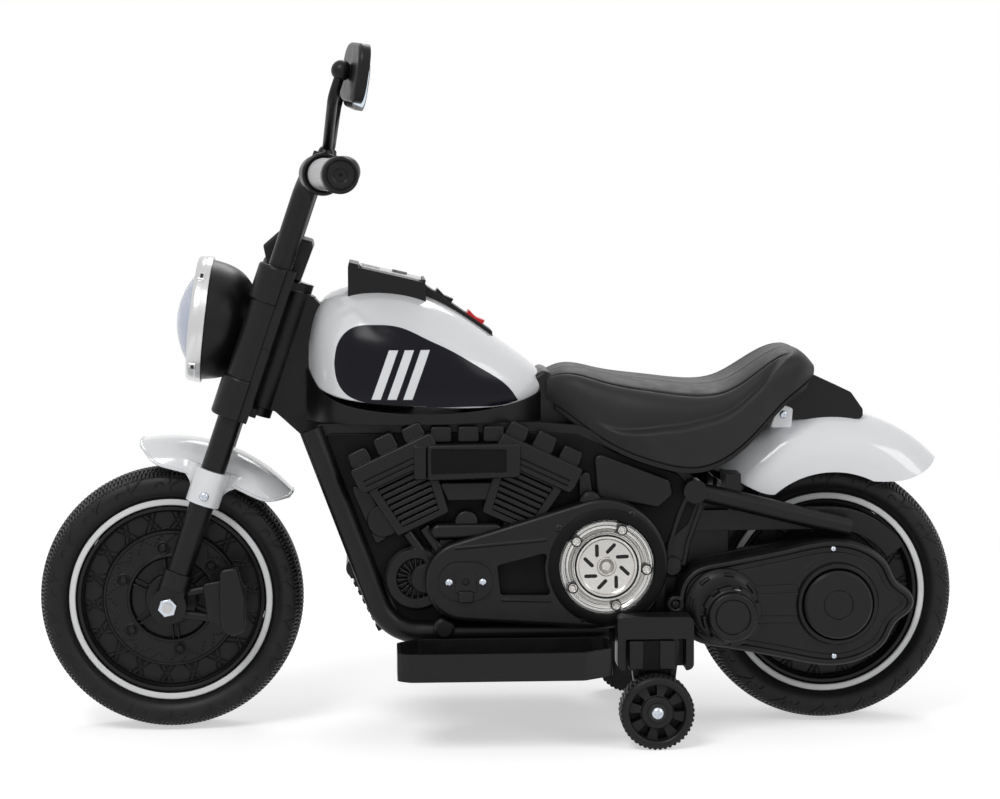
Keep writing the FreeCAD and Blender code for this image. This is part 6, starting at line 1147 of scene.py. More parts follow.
@dataclass
class Saddle:
    """The long saddle: two seams along its top, a swept ridge on each flank and a lip below."""

    front: float = 36.0
    length: float = 209.0
    bottom: float = 210.0
    height: float = 89.0
    width: float = 142.0
    stations: tuple[float, ...] = (0, 0.06, 0.2, 0.4, 0.55, 0.67, 0.78, 0.88, 0.96, 1)
    tops: tuple[float, ...] = (0.76, 0.815, 0.775, 0.705, 0.668, 0.706, 0.855, 0.975, 0.94, 0.84)
    bottoms: tuple[float, ...] = (0.56, 0.47, 0.24, 0.045, 0, 0.11, 0.33, 0.56, 0.69, 0.74)
    widths: tuple[float, ...] = (0.54, 0.68, 0.86, 0.99, 1, 0.96, 0.87, 0.76, 0.62, 0.42)
    arch: tuple[Flat, ...] = ((0.97, 0.0), (1.0, 0.4), (0.9, 0.82), (0.56, 0.985), (0.0, 1.0))
    ridge: tuple[Flat, ...] = ((0.2, 0.2), (0.26, 0.235), (0.415, 0.43), (0.56, 0.56), (0.684, 0.585),
                               (0.79, 0.63), (0.875, 0.84), (0.92, 1.0))
    bulge: float = 6.4
    seams: tuple[float, ...] = (0.82, 0.36)
    seam_depth: float = 1.5
    columns: int = 180

    def level(self, share: float) -> tuple[float, float, float]:
        """The bottom, the top and the half width at a share of the length."""
        low, high, wide = (spline(self.stations, v)(share) for v in (self.bottoms, self.tops, self.widths))
        return self.bottom + self.height * low, self.bottom + self.height * high, self.width / 2 * wide

    def rows(self) -> list[tuple[float, float, float]]:
        """The half section from bottom edge to crown.

        Returns:
            The width share, the height share and the share of the seam's depth of each point.
        """
        knots = [*self.arch] + [(-w, h) for w, h in self.arch[-2::-1]]
        line = smooth_line(knots, 400)[:201]
        spots = [min(range(len(line)), key=lambda k: abs(line[k].x - seam)) for seam in self.seams]
        depths = {k: 0.0 for k in range(0, 201, 2) if all(abs(k - spot) > 4 for spot in spots)}
        groove = ((-3, 0.0), (-2, 0.1), (-1, 1.0), (1, 1.0), (2, 0.1), (3, 0.0))
        for spot in spots:
            depths |= {spot + k: depth for k, depth in groove}
        return [(line[k].x, line[k].y, depths[k]) for k in sorted(depths)]

    def bulge_at(self, share: float, rise: float) -> float:
        """Shape the flank from the ridge that runs along it.

        Args:
            share: Where along the saddle.
            rise: Where between its bottom edge and its crown.

        Returns:
            How far the flank swells there.
        """
        line = float(np.interp(share, *zip(*self.ridge)))
        start = min(max((share - 0.17) / 0.16, 0.0), 1.0)
        under = min(max((line - rise) / 0.1 + 0.45, 0.0), 1.0)
        under = under * under * (3 - 2 * under)
        fall = 1.0 - 0.55 * max(0.0, line - rise) / max(line, 0.05)
        dip = 0.36 * (1 - under) * math.exp(-((rise - line) / 0.16) ** 2)
        return self.bulge * start * (under * fall - dip)

    def skin(self) -> list[list[Vector]]:
        """Skin the saddle over its top, from one bottom edge to the other.

        Returns:
            Closed rings from nose to tail.
        """
        rows = self.rows()
        rings = []
        for k in range(self.columns + 1):
            share = 0.5 - 0.5 * math.cos(math.pi * k / self.columns)
            low, high, wide = self.level(share)
            x = self.front + self.length * share
            fade = min(max((share - 0.015) / 0.02, 0.0), 1.0) * min(max((0.9 - share) / 0.03, 0.0), 1.0)
            left = []
            for across, rise, seam in rows:
                swell = self.bulge_at(share, rise)
                sink = self.seam_depth * seam * fade
                out = wide * across + swell - sink * 0.4 * (across > 0.7)
                left.append(Vector((x, -out, low + (high - low) * rise - sink)))
            right = [Vector((p.x, -p.y, p.z)) for p in reversed(left[:-1])]
            rings.append(left + right)
        return rings

    def build(self) -> None:
        """Make the saddle, its base lip and its nose."""
        made = Form("saddle_look").loft(self.skin())
        made.piece(SADDLE_GREY, "frame", "saddle", ["seat"], 50.0)
        lip = Form("saddle_lip")
        rings = []
        section = ((0.4, -1.6), (0.4, -5.2), (18.0, -5.2), (18.0, 1.0), (3.0, 1.0), (3.0, -1.6))
        for k in range(81):
            share = 0.03 + 0.955 * k / 80
            low, _, wide = self.level(share)
            out = wide * self.arch[0][0] + self.bulge_at(share, 0.0)
            x = self.front + self.length * share
            rings.append([(x, inwards - out, low + up) for inwards, up in section])
        lip.loft(rings).close().both_sides()
        nose = rounded([(23, 230), (74, 224), (64, 238), (47, 254), (40, 279), (34, 281.5), (25, 276)], 5.0)
        lip.prism(nose, 0.0, 33.0, bevel=3.4)
        lip.prism(nose, 0.0, -33.0, bevel=3.4)
        lip.piece(SATIN_BLACK, "frame", "satin_black")


@dataclass
class TankDecal:
    """The dark, bare teardrop panel on each flank of the tank, with three plain slanted bars."""

    upper: tuple[Flat, ...] = ((-127.6, 289.0), (-126.0, 301.0), (-121.0, 311.0), (-111.7, 317.4),
                               (-99.5, 318.8), (-77.8, 317.0), (-57.6, 308.1), (-40.2, 299.8), (-14.9, 284.7),
                               (6.2, 269.3), (13.0, 259.6))
    lower: tuple[Flat, ...] = ((-127.6, 289.0), (-125.6, 276.5), (-119.0, 266.5), (-106.0, 260.6),
                               (-78.0, 257.6), (-45.0, 256.2), (-20.0, 256.2), (2.9, 257.0), (13.0, 259.6))
    lift: float = 0.3
    sink: float = 0.5
    ray_from: float = 0.3  # In metres, like the tank's mesh.
    near_from: float = 0.06
    bars: tuple[float, ...] = (-96.0, -84.0, -72.0)
    bar_low: float = 262.5
    bar_high: float = 300.0
    bar_width: float = 7.0
    bar_lean: float = 0.36
    bar_lift: float = 0.25

    def drape(self, name: str, lines: tuple[list[Vector], list[Vector]], rows: int, lift: float,
              finish: Finish) -> None:
        """Lay a thin panel between two side-view lines on both flanks.

        Args:
            name: The piece's name.
            lines: The panel's lower and upper line, equally long.
            rows: How many rows of faces lie between them.
            lift: How far it stands off the tank.
            finish: The finish that it wears.
        """
        shell = frame["nodes"]["tank_shell"].data
        tree = BVHTree.FromPolygons([v.co for v in shell.vertices], [p.vertices for p in shell.polygons])
        made = Form(name)
        skins = []
        inwards = Vector((0, 1, 0))
        for depth in (lift, -self.sink):
            skin = []
            for low, high in zip(*lines):
                column = []
                for k in range(rows + 1):
                    spot = low.lerp(high, k / rows)
                    x, z = spot.x * MM, spot.y * MM
                    hit, normal, _, _ = tree.ray_cast(Vector((x, -self.ray_from, z)), inwards)
                    if hit is None:
                        hit, normal, _, _ = tree.find_nearest(Vector((x, -self.near_from, z)))
                    if normal.y > 0:
                        normal = -normal
                    column.append(made.bm.verts.new(hit / MM + normal * depth))
                skin.append(column)
            skins.append(skin)
        top, base = skins
        for a in range(len(top) - 1):
            for b in range(rows):
                made.bm.faces.new((top[a][b], top[a + 1][b], top[a + 1][b + 1], top[a][b + 1]))
            for b in (0, rows):
                made.bm.faces.new((top[a][b], top[a + 1][b], base[a + 1][b], base[a][b]))
        for a in (0, len(top) - 1):
            for b in range(rows):
                made.bm.faces.new((top[a][b], top[a][b + 1], base[a][b + 1], base[a][b]))
        made.close(0.02).both_sides().piece(finish, "frame", "dark", smooth_deg=40.0)

    def build(self) -> None:
        """Make the panel and its bars."""
        panel = (smooth_line(self.lower, 90), smooth_line(self.upper, 90))
        self.drape("tank_panel", panel, 26, self.lift, DECAL_DARK)
        lean = self.bar_lean * (self.bar_high - self.bar_low)
        steps = [self.bar_width * (k / 6 - 0.5) for k in range(7)]
        for k, x in enumerate(self.bars):
            low = [Vector((x + step, self.bar_low)) for step in steps]
            high = [Vector((x + lean + step, self.bar_high)) for step in steps]
            self.drape(f"tank_bar_{k}", (low, high), 16, self.lift + self.bar_lift, GLOSS_WHITE)


@dataclass
class DriveSide:
    """The drive covers on both sides of the rear wheel, with hub cap and ridged motor cap."""

    hub: Flat = REAR_AXLE
    motor: Flat = (174.0, 96.5)
    motor_base: Flat = (169.0, 101.5)
    lug: Flat = DRIVE_LUG
    teeth: int = 8
    back: float = 44.2
    face: float = 73.0
    outline: tuple[Flat, ...] = ((133.4, 103.0), (136.4, 119.0), (147.5, 131.5), (166.0, 136.6),
                                 (190.0, 141.0), (222.0, 147.4), (247.0, 152.0), (266.0, 151.2),
                                 (284.0, 144.6), (297.5, 132.0), (304.4, 119.0), (313.0, 112.4),
                                 (317.8, 103.0), (313.0, 93.6), (304.4, 87.0), (297.5, 74.0), (284.0, 61.4),
                                 (266.0, 54.8), (247.0, 54.0), (222.0, 58.6), (190.0, 65.0), (166.0, 69.4),
                                 (147.5, 74.5), (136.4, 87.0))

    def cover(self) -> Form:
        """The cover: body, border rail, raised field and the band between its two round ends.

        Returns:
            The cover on the bike's left.
        """
        edge = [(p.x, p.y) for p in smooth_line(self.outline + self.outline[:1], 120)[:-1]]
        made = Form("drive_covers_look").prism(edge, self.back, self.face, bevel=3.0)
        rail = drawn_in(edge, 3.4)
        made.tube([(x, -self.face + 0.2, z) for x, z in rail + rail[:2]], 2.5, 10)
        made.prism(drawn_in(edge, 9.5), self.face - 2.0, self.face + 1.6, bevel=1.1)
        for low, front, back, rise in ((88, 117, 119, 3.2), (94, 111, 112.6, 4.6)):
            band = rounded([(186, low), (236, low), (236, back), (186, front)], 2.0)
            made.prism(band, self.face, self.face + rise, bevel=1.2)
        lug = [(3.4, 62.0), (3.4, 74.6), (4.4, 75.4), (5.8, 75.4), (6.8, 74.6), (6.8, 62.0)]
        made.lathe(lug, side_at(*self.lug), 32)
        collar = [(27.0, 70.0), (27.0, 79.6), (28.2, 81.0), (30.4, 81.0), (31.6, 79.6), (32.4, 75.6),
                  (37.0, 74.4), (37.0, 70.0)]
        return made.lathe(collar, side_at(*self.hub), 72)

    def caps(self) -> Form:
        """The hub cap with its middle disc, and the motor's base and ridged cap.

        Returns:
            The caps on the bike's left.
        """
        hub = [(0.0, 72.0), (0.0, 83.4), (10.6, 83.4), (11.2, 82.8), (11.6, 83.6), (24.6, 84.2), (26.4, 82.6),
               (26.6, 72.0)]
        base = [(0.0, 72.0), (0.0, 80.0), (21.0, 80.6), (23.5, 80.2), (27.0, 78.0), (29.4, 75.4),
                (29.8, 72.0)]
        cap = [(0.0, 78.0), (0.0, 95.2), (12.6, 95.2), (13.2, 94.4), (13.8, 95.4), (17.4, 96.2), (18.4, 95.4),
               (19.2, 91.6), (20.4, 90.6), (20.8, 84.0), (20.8, 78.0)]
        on_cap, on_base = side_at(*self.motor), side_at(*self.motor_base)
        made = Form("drive_caps_look").lathe(hub, side_at(*self.hub), 72)
        made.lathe(base, on_base, 72).lathe(cap, on_cap, 64)
        wide = math.radians(13)
        tooth = arc(22.8, -wide, wide, 6) + arc(19.0, wide * 1.2, -wide * 1.2, 6)
        teeth = Form("cap_tooth").prism(tooth, 78.0, 90.4, Matrix(), 0.9)
        made.add(ring_of(teeth, self.teeth, SATIN_BLACK, 14.0), on_cap)
        slots = Form("base_slot").tube([(x, y, 79.2) for x, y in arc(25.4, -0.16, 0.16, 6)], 1.5, 8)
        return made.add(ring_of(slots, self.teeth, SATIN_BLACK, 36.0), on_base)

    def build(self) -> None:
        """Make covers and caps on both sides."""
        self.cover().pair(SATIN_BLACK, "frame", "satin_black", ["drive_cover_left", "drive_cover_right"])
        self.caps().pair(SATIN_BLACK, "frame", "satin_black", ["drive_caps"])


@dataclass
class RearPosts:
    """The sunk uprights between each side lamp and drive cover, with round feet, and the fender's tabs."""

    outline: tuple[Flat, ...] = ((145.8, 196.0), (135.1, 172.4), (126.7, 147.2), (125.6, 130.0),
                                 (142.4, 130.0), (145.9, 149.4), (154.3, 173.4), (159.0, 190.0))
    foot: Flat = (131.4, 130.6)
    inner: float = 40.0
    outer: float = 60.0

    def build(self) -> None:
        """Make posts and tabs on both sides."""
        made = Form("rear_posts").prism(rounded(self.outline, 3.0), self.inner, self.outer, bevel=1.6)
        sunk = rounded(drawn_in(self.outline, 3.6), 2.0)
        made.cut(Form("sunk").prism(sunk, self.outer - 2.6, self.outer + 9.0))
        web = rounded([(138, 124), (178, 128), (178, 176), (148, 182), (138, 160)], 3.0)
        made.prism(web, 34.0, self.inner + 0.4, bevel=1.0)
        made.lathe([(0.0, 40.0), (0.0, 63.0), (6.2, 63.0), (7.8, 61.6), (7.8, 40.0)], side_at(*self.foot), 36)
        made.pair(SATIN_BLACK, "frame", "satin_black")
        tab = rounded([(209, 236), (226, 236), (227, 251), (216, 255)], 2.0)
        Form("fender_tabs").prism(tab, 22.0, 44.0, bevel=1.0).pair(GLOSS_WHITE, "frame", "gloss_white")


@dataclass
class Stabilisers:
    """The two small wheels: knurled rim, wedge pockets and a hub."""

    hub: Flat = STABILISER
    inner: float = 97.0
    outer: float = 119.0
    pockets: int = 8
    knurls: int = 44
    arm: Flat = (58.5, 81.0)

    def build(self) -> None:
        """Make both wheels."""
        low, high = self.inner + 0.2, self.outer
        near = ((4.4, 2.5), (11.4, 2.5), (12.2, 3.2), (12.4, 5.0), (13.0, 5.4), (20.6, 5.4), (21.2, 4.6),
                (21.6, 1.2), (22.6, 0.4), (25.4, 0.4), (27.2, 2.0), (27.6, 3.6))
        far = ((27.6, 3.6), (27.2, 2.0), (25.4, 0.4), (22.0, 0.0), (4.4, 0.0))
        profile = [(r, high - drop) for r, drop in near] + [(r, low + rise) for r, rise in far]
        turn = math.radians(11)
        wedge = arc(20.8, -turn, turn, 6) + arc(13.0, turn, -turn, 4)
        edge = ((27.0, -0.34), (28.0, -0.2), (28.0, 0.2), (27.0, 0.34))
        pitch = math.tau * 27.2 / self.knurls
        for name, way in (("left", Matrix()), ("right", Matrix.Rotation(math.pi, 4, "Y"))):
            made = Form("stabiliser").lathe(profile, Matrix(), 72)
            pocket = Form("pocket").prism(wedge, high - 16.0, high + 4.0, Matrix())
            made.cut(ring_of(pocket, self.pockets, SATIN_BLACK, 12.0))
            knurl = Form("knurl")
            for start, end, shift in ((low + 1.2, low + 10.2, 0.0), (low + 11.2, high - 1.6, 0.5)):
                knurl.loft([[(r, (shift + w) * pitch, along) for r, w in edge] for along in (start, end)])
            made.add(ring_of(knurl, self.knurls, SATIN_BLACK))
            wheel = Form(f"stabiliser_{name}_look").add(made, side_at(*self.hub) @ way)
            wheel.piece(TYRE_BLACK, f"stabiliser_{name}", "tyre", [f"stabiliser_wheel_{name}"])
        self.arms()

    def arms(self) -> None:
        """The two ribs down each bracket's arm, with the sunk strip between them darkened as painted shade.
        """
        low, high = self.arm
        ribs = Form("stabiliser_ribs")
        for near, far in ((93.5, 104.6), (116.7, 128.6)):
            ribs.prism(rounded(box(near, low, far, high), 1.6), 100.0, 105.6, bevel=1.1)
        ribs.pair(SATIN_BLACK, "frame", "satin_black")
        # The sunk strip is painted shade: the painted-shade black between the ribs.
        strip = Form("stabiliser_strips").prism(box(104.0, low, 117.2, high), 100.0, 104.3, bevel=0.2)
        strip.pair(PAINTED_SHADE_BLACK, "frame", "satin_black")


@dataclass
class SideLamp:
    """The round lamps of the primary covers: slotted silver disc, clear stepped ring and five pegs."""

    centre: Flat = SIDE_LAMP
    slots: int = 8
    slot_start_deg: float = 31.4
    pegs: int = 5
    peg_ring: float = 30.6
    peg_start_deg: float = -4.4

    def build(self) -> None:
        """Make the discs, their slots with dark floors and a dark gap ring as painted shade, and the clear
        rings.
        """
        place = side_at(*self.centre)
        turned = [(0.0, 70.3), (0.0, 73.0), (3.2, 73.4), (5.2, 75.4), (5.9, 77.0), (6.9, 77.3), (7.6, 76.5),
                  (20.6, 75.9), (21.2, 76.3), (21.7, 77.7), (23.2, 77.9), (23.8, 76.9), (24.0, 70.3)]
        disc = Form("disc").lathe(turned, Matrix(), 96)
        lean = Matrix.Translation((14.2, 0, 0)) @ Matrix.Rotation(math.radians(-30), 4, "Z")
        slot = belt((-3.6, 0.0), 1.4, (3.6, 0.0), 1.4, 6)
        opening = Form("slot").prism(slot, 74.0, 82.0, lean)
        disc.cut(ring_of(opening, self.slots, LAMP_SILVER, self.slot_start_deg))
        Form("side_lamp_discs_look").add(disc, place).pair(LAMP_SILVER, "frame", "bright",
                                                           ["side_lamp_reflectors"])
        # Dark floors under the slots and a thin dark ring round the disc are painted shade, standing in for
        # the dark depths of openings and gaps.
        floor = Form("slot").prism(slot, 73.2, 74.15, lean)
        made = Form("side_lamp_slots").add(ring_of(floor, self.slots, DARK, self.slot_start_deg), place)
        made.lathe([(23.9, 72.0), (23.9, 77.0), (24.6, 77.0), (24.6, 72.0)], place, 96)
        made.pair(DARK, "frame", "dark")
        band = [(24.6, 70.3), (24.6, 75.4), (26.4, 75.8), (27.6, 72.4), (28.6, 71.8), (29.4, 74.2),
                (31.4, 74.6), (32.2, 71.8), (33.0, 71.8), (33.6, 74.0), (35.2, 74.2), (35.8, 72.4),
                (35.8, 70.3)]
        Form("side_lamp_bands").lathe(band, place, 120).pair(LAMP_BRIGHT, "frame", "bright")
        peg = [(0.0, 72.6), (0.0, 78.6), (1.9, 78.8), (2.4, 80.0), (3.0, 80.2), (3.5, 79.5), (3.6, 72.6)]
        self.studs("side_lamp_pegs", peg, LAMP_SILVER, "bright")
        self.studs("side_lamp_collars", [(3.6, 72.0), (3.6, 79.4), (4.2, 79.4), (4.2, 72.0)], DARK, "dark")
        ring = [(24.7, 76.6), (24.7, 78.4), (25.4, 79.0), (29.0, 79.0), (29.6, 78.3), (31.8, 78.3),
                (32.4, 78.9), (35.1, 79.3), (36.0, 78.6), (36.0, 74.4), (34.9, 74.4), (34.5, 76.6)]
        clear = Form("ring").lathe(ring, Matrix(), 96)
        Form("side_lamp_rings_look").add(clear, place).pair(CLEAR, "frame", "clear", ["side_lamp_lenses"])

    def studs(self, name: str, profile: Sequence[Flat], finish: Finish, slot: str) -> None:
        """Make a turned stud at each peg's place.

        Args:
            name: The piece's name.
            profile: The stud's profile as (radius, along).
            finish: The finish that it wears.
            slot: The record's material slot.
        """
        stud = Form("stud").lathe(profile, Matrix.Translation((self.peg_ring, 0, 0)), 24)
        studs = ring_of(stud, self.pegs, finish, self.peg_start_deg)
        Form(name).add(studs, side_at(*self.centre)).pair(finish, "frame", slot)


@dataclass
class HeadLamp:
    """The head lamp: bright rim with its clips, tinted dome and the fluted dish behind it."""

    centre: tuple[float, float, float] = (-44.2, 0.0, 214.9)
    tilt_deg: float = 12.0
    clips: int = 4
    flutes: int = 36
    dome_radius: float = 43.0
    dome_rise: float = 19.0
    wall: float = 2.0

    def place(self) -> Matrix:
        """The lamp's frame, with Z forwards along its axis."""
        turn = Matrix.Rotation(math.radians(-self.tilt_deg - 90.0), 4, "Y")
        return fork_frame() @ Matrix.Translation(self.centre) @ turn

    def dome(self, shrink: float) -> list[Flat]:
        """Draw the dome.

        Args:
            shrink: How far inside its outer skin.

        Returns:
            The outline from the dome's middle to its edge as (radius, along).
        """
        bend = (self.dome_radius**2 + self.dome_rise**2) / (2 * self.dome_rise)
        swing = math.asin(self.dome_radius / bend)
        reach = bend - shrink
        middle = self.dome_rise + 2.0 - bend
        turns = [swing * k / 20 for k in range(21)]
        return [(reach * math.sin(turn), middle + reach * math.cos(turn)) for turn in turns]

    def build(self) -> None:
        """Make rim, dish and dome."""
        place = self.place()
        band = [(43.3, 0.2), (43.3, 6.6), (44.2, 8.4), (45.8, 9.0), (47.4, 8.6), (48.6, 7.2), (49.0, 5.0),
                (49.0, 2.2), (49.6, 1.4), (49.6, -2.6), (48.8, -3.2), (47.3, -3.0), (47.3, 0.2)]
        rim = Form("head_lamp_rim_look").lathe(band, place, 120)
        clip = Form("clip").prism(rounded(box(48.4, -3.4, 50.0, 3.4), 0.7, 2), 0.8, 6.4, Matrix(), 0.4)
        rim.add(ring_of(clip, self.clips, CHROME, 45.0), place)
        rim.piece(CHROME, "fork", "bright", ["headlight_rim"])
        # Thin dark blocks on the clips stand in for slits: painted shade, not cut into the rim.
        notch = Form("slit").prism(rounded(box(49.2, -2.2, 50.2, 2.2), 0.3, 2), 2.2, 4.6, Matrix(), 0.2)
        slits = Form("head_lamp_clip_slits").add(ring_of(notch, self.clips, DARK, 45.0), place)
        slits.piece(DARK, "fork", "dark")
        dish = [(42.6, 0.2), (42.6, 1.6), (40.0, -1.0), (33.0, -8.0), (24.0, -15.0), (14.0, -19.5),
                (6.0, -21.0), (0.0, -21.2), (0.0, -23.0), (8.0, -22.8), (24.0, -17.4), (34.0, -9.8),
                (41.0, -1.6)]
        made = Form("head_lamp_dish").lathe(dish, place, 72)
        run = ((9.0, -20.2, 0.5), (14.0, -19.0, 0.8), (24.0, -14.4, 1.3), (33.0, -7.4, 1.8),
               (40.5, -0.2, 2.2))
        flute = Form("flute").tube([(out, 0.0, along) for out, along, _ in run], [size for _, _, size in run],
                                   8)
        made.add(ring_of(flute, self.flutes, DISH_PEARL), place)
        bulb = [(0.0, -21.0), (0.0, -6.0), (3.0, -6.6), (5.0, -9.0), (5.4, -13.0), (5.4, -21.0)]
        made.lathe(bulb, place, 24)
        made.piece(DISH_PEARL, "fork", "bright")
        edge = [(self.dome_radius, 0.3), (self.dome_radius - self.wall, 0.3)]
        profile = self.dome(0.0) + edge + self.dome(self.wall)[::-1]
        dome = Form("head_lamp_dome_look").lathe(profile, place, 96)
        dome.piece(LENS_TINT, "fork", "clear", ["headlight_lens"], 50.0)


@dataclass
class FrontFender:
    """The front fender: a thin rolled-edge shell with a filleted sleeve round each fork leg."""

    axle: Flat = FRONT_AXLE
    crown: float = 126.0
    half: float = 36.0
    round_radius: float = 29.0
    wall: float = 2.2
    from_deg: float = 41.0
    sweep_deg: float = 59.0
    edge: tuple[Flat, ...] = ((0.0, 0.972), (0.05, 0.90), (0.15, 0.842), (0.35, 0.818), (0.65, 0.812),
                              (0.85, 0.842), (0.95, 0.90), (1.0, 0.975))
    sleeve: Flat = (83.2, 110.2)
    sleeve_radius: float = 13.2
    spread: float = 47.0

    def skin(self, reach: float) -> float:
        """Find the shell's side.

        Args:
            reach: How far from the axle.

        Returns:
            How far out from the bike's middle the shell lies there.
        """
        rise = (reach - self.crown + self.round_radius) / self.round_radius
        flat = self.half - self.round_radius
        return flat + self.round_radius * math.sqrt(max(0.0, 1.0 - max(0.0, rise) ** 2))

    def ring(self, share: float, low: float) -> tuple[list[Vector], list[Vector]]:
        """Draw one cross section.

        Args:
            share: Where along the fender.
            low: How far its edge is from the axle there.

        Returns:
            The outer and the inner outline, edge to edge.
        """
        turn = math.radians(self.from_deg + self.sweep_deg * share)
        ahead = Vector((math.cos(turn), 0, math.sin(turn)))
        start = math.asin(min(max((low - self.crown + self.round_radius) / self.round_radius, -1.0), 0.999))
        flat = self.half - self.round_radius
        sides = []
        for shrink in (0.0, self.wall):
            size = self.round_radius - shrink
            half = arc(size, start, math.pi / 2, 15, (flat, self.crown - self.round_radius))
            half.append((0.0, self.crown - shrink))
            full = [(-y, r) for y, r in half] + half[-2::-1]
            sides.append([Vector((self.axle[0], y, self.axle[1])) + ahead * r for y, r in full])
        return sides[0], sides[1]

    def shell(self) -> Form:
        """The shell with a rolled lip along its edge.

        Returns:
            The shell in the bike's frame.
        """
        low = spline(*zip(*self.edge))
        rings, outers = [], []
        for k in range(73):
            share = 0.5 - 0.5 * math.cos(math.pi * k / 72)
            outer, inner = self.ring(share, self.crown * low(share))
            rings.append(outer + inner[::-1])
            outers.append(outer)
        left, right = [outer[0] for outer in outers], [outer[-1] for outer in outers]
        border = left + outers[-1][1:-1] + right[::-1] + outers[0][-2:0:-1]
        return Form("front_fender_look").loft(rings).tube(border + border[:1], 1.25, 8)

    def sleeves(self) -> Form:
        """The two sleeves, each blended into the shell by wings that widen upwards.

        Returns:
            Both sleeves in the bike's frame.
        """
        rings = []
        low, high = self.sleeve
        for k in range(19):
            s = low + (high - low) * k / 18
            flare = 15.0 * max(0.0, (s - 91.0) / 13.0) ** 2.0 if s < 104 else 15.0
            ring = []
            for t in np.linspace(-1.0, 1.0, 41):
                if abs(t) <= 0.6:
                    a = math.radians(90.0 * t / 0.6)
                    ring.append((self.sleeve_radius * math.sin(a),
                                 -self.spread - self.sleeve_radius * math.cos(a), s))
                else:
                    run = (abs(t) - 0.6) / 0.4
                    reach = self.sleeve_radius + flare * run**2.2
                    base = self.skin(math.hypot(reach, s)) - 0.4
                    out = self.spread + (base - self.spread) * (1 - (1 - run) ** 2.2)
                    ring.append((math.copysign(reach, t), -out, s))
            ring.append((ring[-1][0], -24.0 - 7.0 * (s < 99), s))
            ring.append((ring[0][0], -24.0 - 7.0 * (s < 99), s))
            rings.append(ring)
        made = Form("sleeve").loft(rings).close().both_sides()
        return Form("sleeves").add(made, fork_frame())

    def build(self) -> None:
        """Make the fender."""
        made = self.shell().close().add(self.sleeves())
        made.piece(GLOSS_WHITE, "fork", "gloss_white", ["front_fender"], 42.0)


@dataclass
class Hardware:
    """Cross-head screws, axle nuts and stabiliser bolts."""

    socket: tuple[Flat, ...] = ((-41.8, 124.0), (-16.2, 124.0))
    primary: tuple[Flat, ...] = ((98.0, 174.1), (42.3, 164.3), (61.0, 94.7))
    drive: tuple[Flat, ...] = ((254.0, 145.2), (255.2, 61.8))
    tabs: tuple[Flat, ...] = ((219.6, 246.4),)
    stabiliser: Flat = STABILISER
    lug: Flat = DRIVE_LUG
    axle: Flat = FRONT_AXLE

    @staticmethod
    def screw(radius: float, height: float) -> Form:
        """A domed head with a cross recess, standing on Z = 0.

        Args:
            radius: The head's radius.
            height: The head's height.

        Returns:
            The screw's head with a short shank.
        """
        shares = ((0.0, 1.0), (0.5, 0.93), (0.82, 0.68), (1.0, 0.2))
        dome = [(0.0, -2.0), *[(radius * r, height * h) for r, h in shares], (radius, -2.0)]
        made = Form("screw").lathe(dome, Matrix(), 32)
        arm, wide = 0.62 * radius, 0.15 * radius
        cross = [(-arm, -wide), (-wide, -wide), (-wide, -arm), (wide, -arm), (wide, -wide), (arm, -wide),
                 (arm, wide), (wide, wide), (wide, arm), (-wide, arm), (-wide, wide), (-arm, wide)]
        return made.cut(Form("cross").prism(cross, 0.3 * height, height + 2.0, Matrix()))

    def spots(self, spots: Sequence[Flat], out: float, radius: float, height: float, finish: Finish) -> Form:
        """Screws at side-view places on the bike's left."""
        found = spots_of(self.screw(radius, height), [(x, z, out) for x, z in spots], finish)
        return Form("screws").add(found, SIDE_VIEW)

    def build(self) -> None:
        """Make all of the hardware."""
        bright = Form("body_screws_look").add(self.spots(self.socket, 84.0, 3.0, 1.8, ZINC))
        bright.add(self.spots(self.drive, 74.6, 2.2, 1.4, ZINC))
        bright.add(self.spots(self.tabs, 44.0, 3.2, 1.8, ZINC))
        bright.add(self.spots((self.stabiliser,), 118.0, 4.6, 2.2, ZINC))
        bright.pair(ZINC, "frame", "steel", ["body_screws"])
        dark = Form("cover_screws").add(self.spots(self.primary, 80.0, 3.2, 1.6, DARK))
        washer = [(0.0, 112.0), (0.0, 118.2), (6.8, 118.2), (7.4, 117.6), (7.4, 112.0)]
        dark.lathe(washer, side_at(*self.stabiliser), 40)
        dark.add(self.spots((self.lug,), 73.0, 3.2, 1.4, DARK))
        dark.pair(DARK, "frame", "dark")
        place = side_at(*self.axle)
        nut = arc(7.4, math.radians(12), math.radians(312), 6)
        made = Form("fork_fasteners_look").prism(nut, 54.0, 61.4, place, 0.9)
        made.cut(Form("nut_hole").prism(circle((0.0, 0.0), 3.7, 28), 58.6, 70.0, place))
        fender = fork_frame() @ Matrix.Translation((0, 0, 90.5)) @ SIDE_VIEW
        made.add(self.screw(3.7, 2.3), fender @ Matrix.Translation((0, 0, 60.1)))
        made.pair(ZINC, "fork", "steel", ["fork_fasteners"])
        ends = [(0.0, 56.0), (0.0, 60.4), (2.6, 60.4), (3.4, 59.8), (3.4, 56.0)]
        Form("axle_ends").lathe(ends, place, 28).pair(DARK, "fork", "dark")


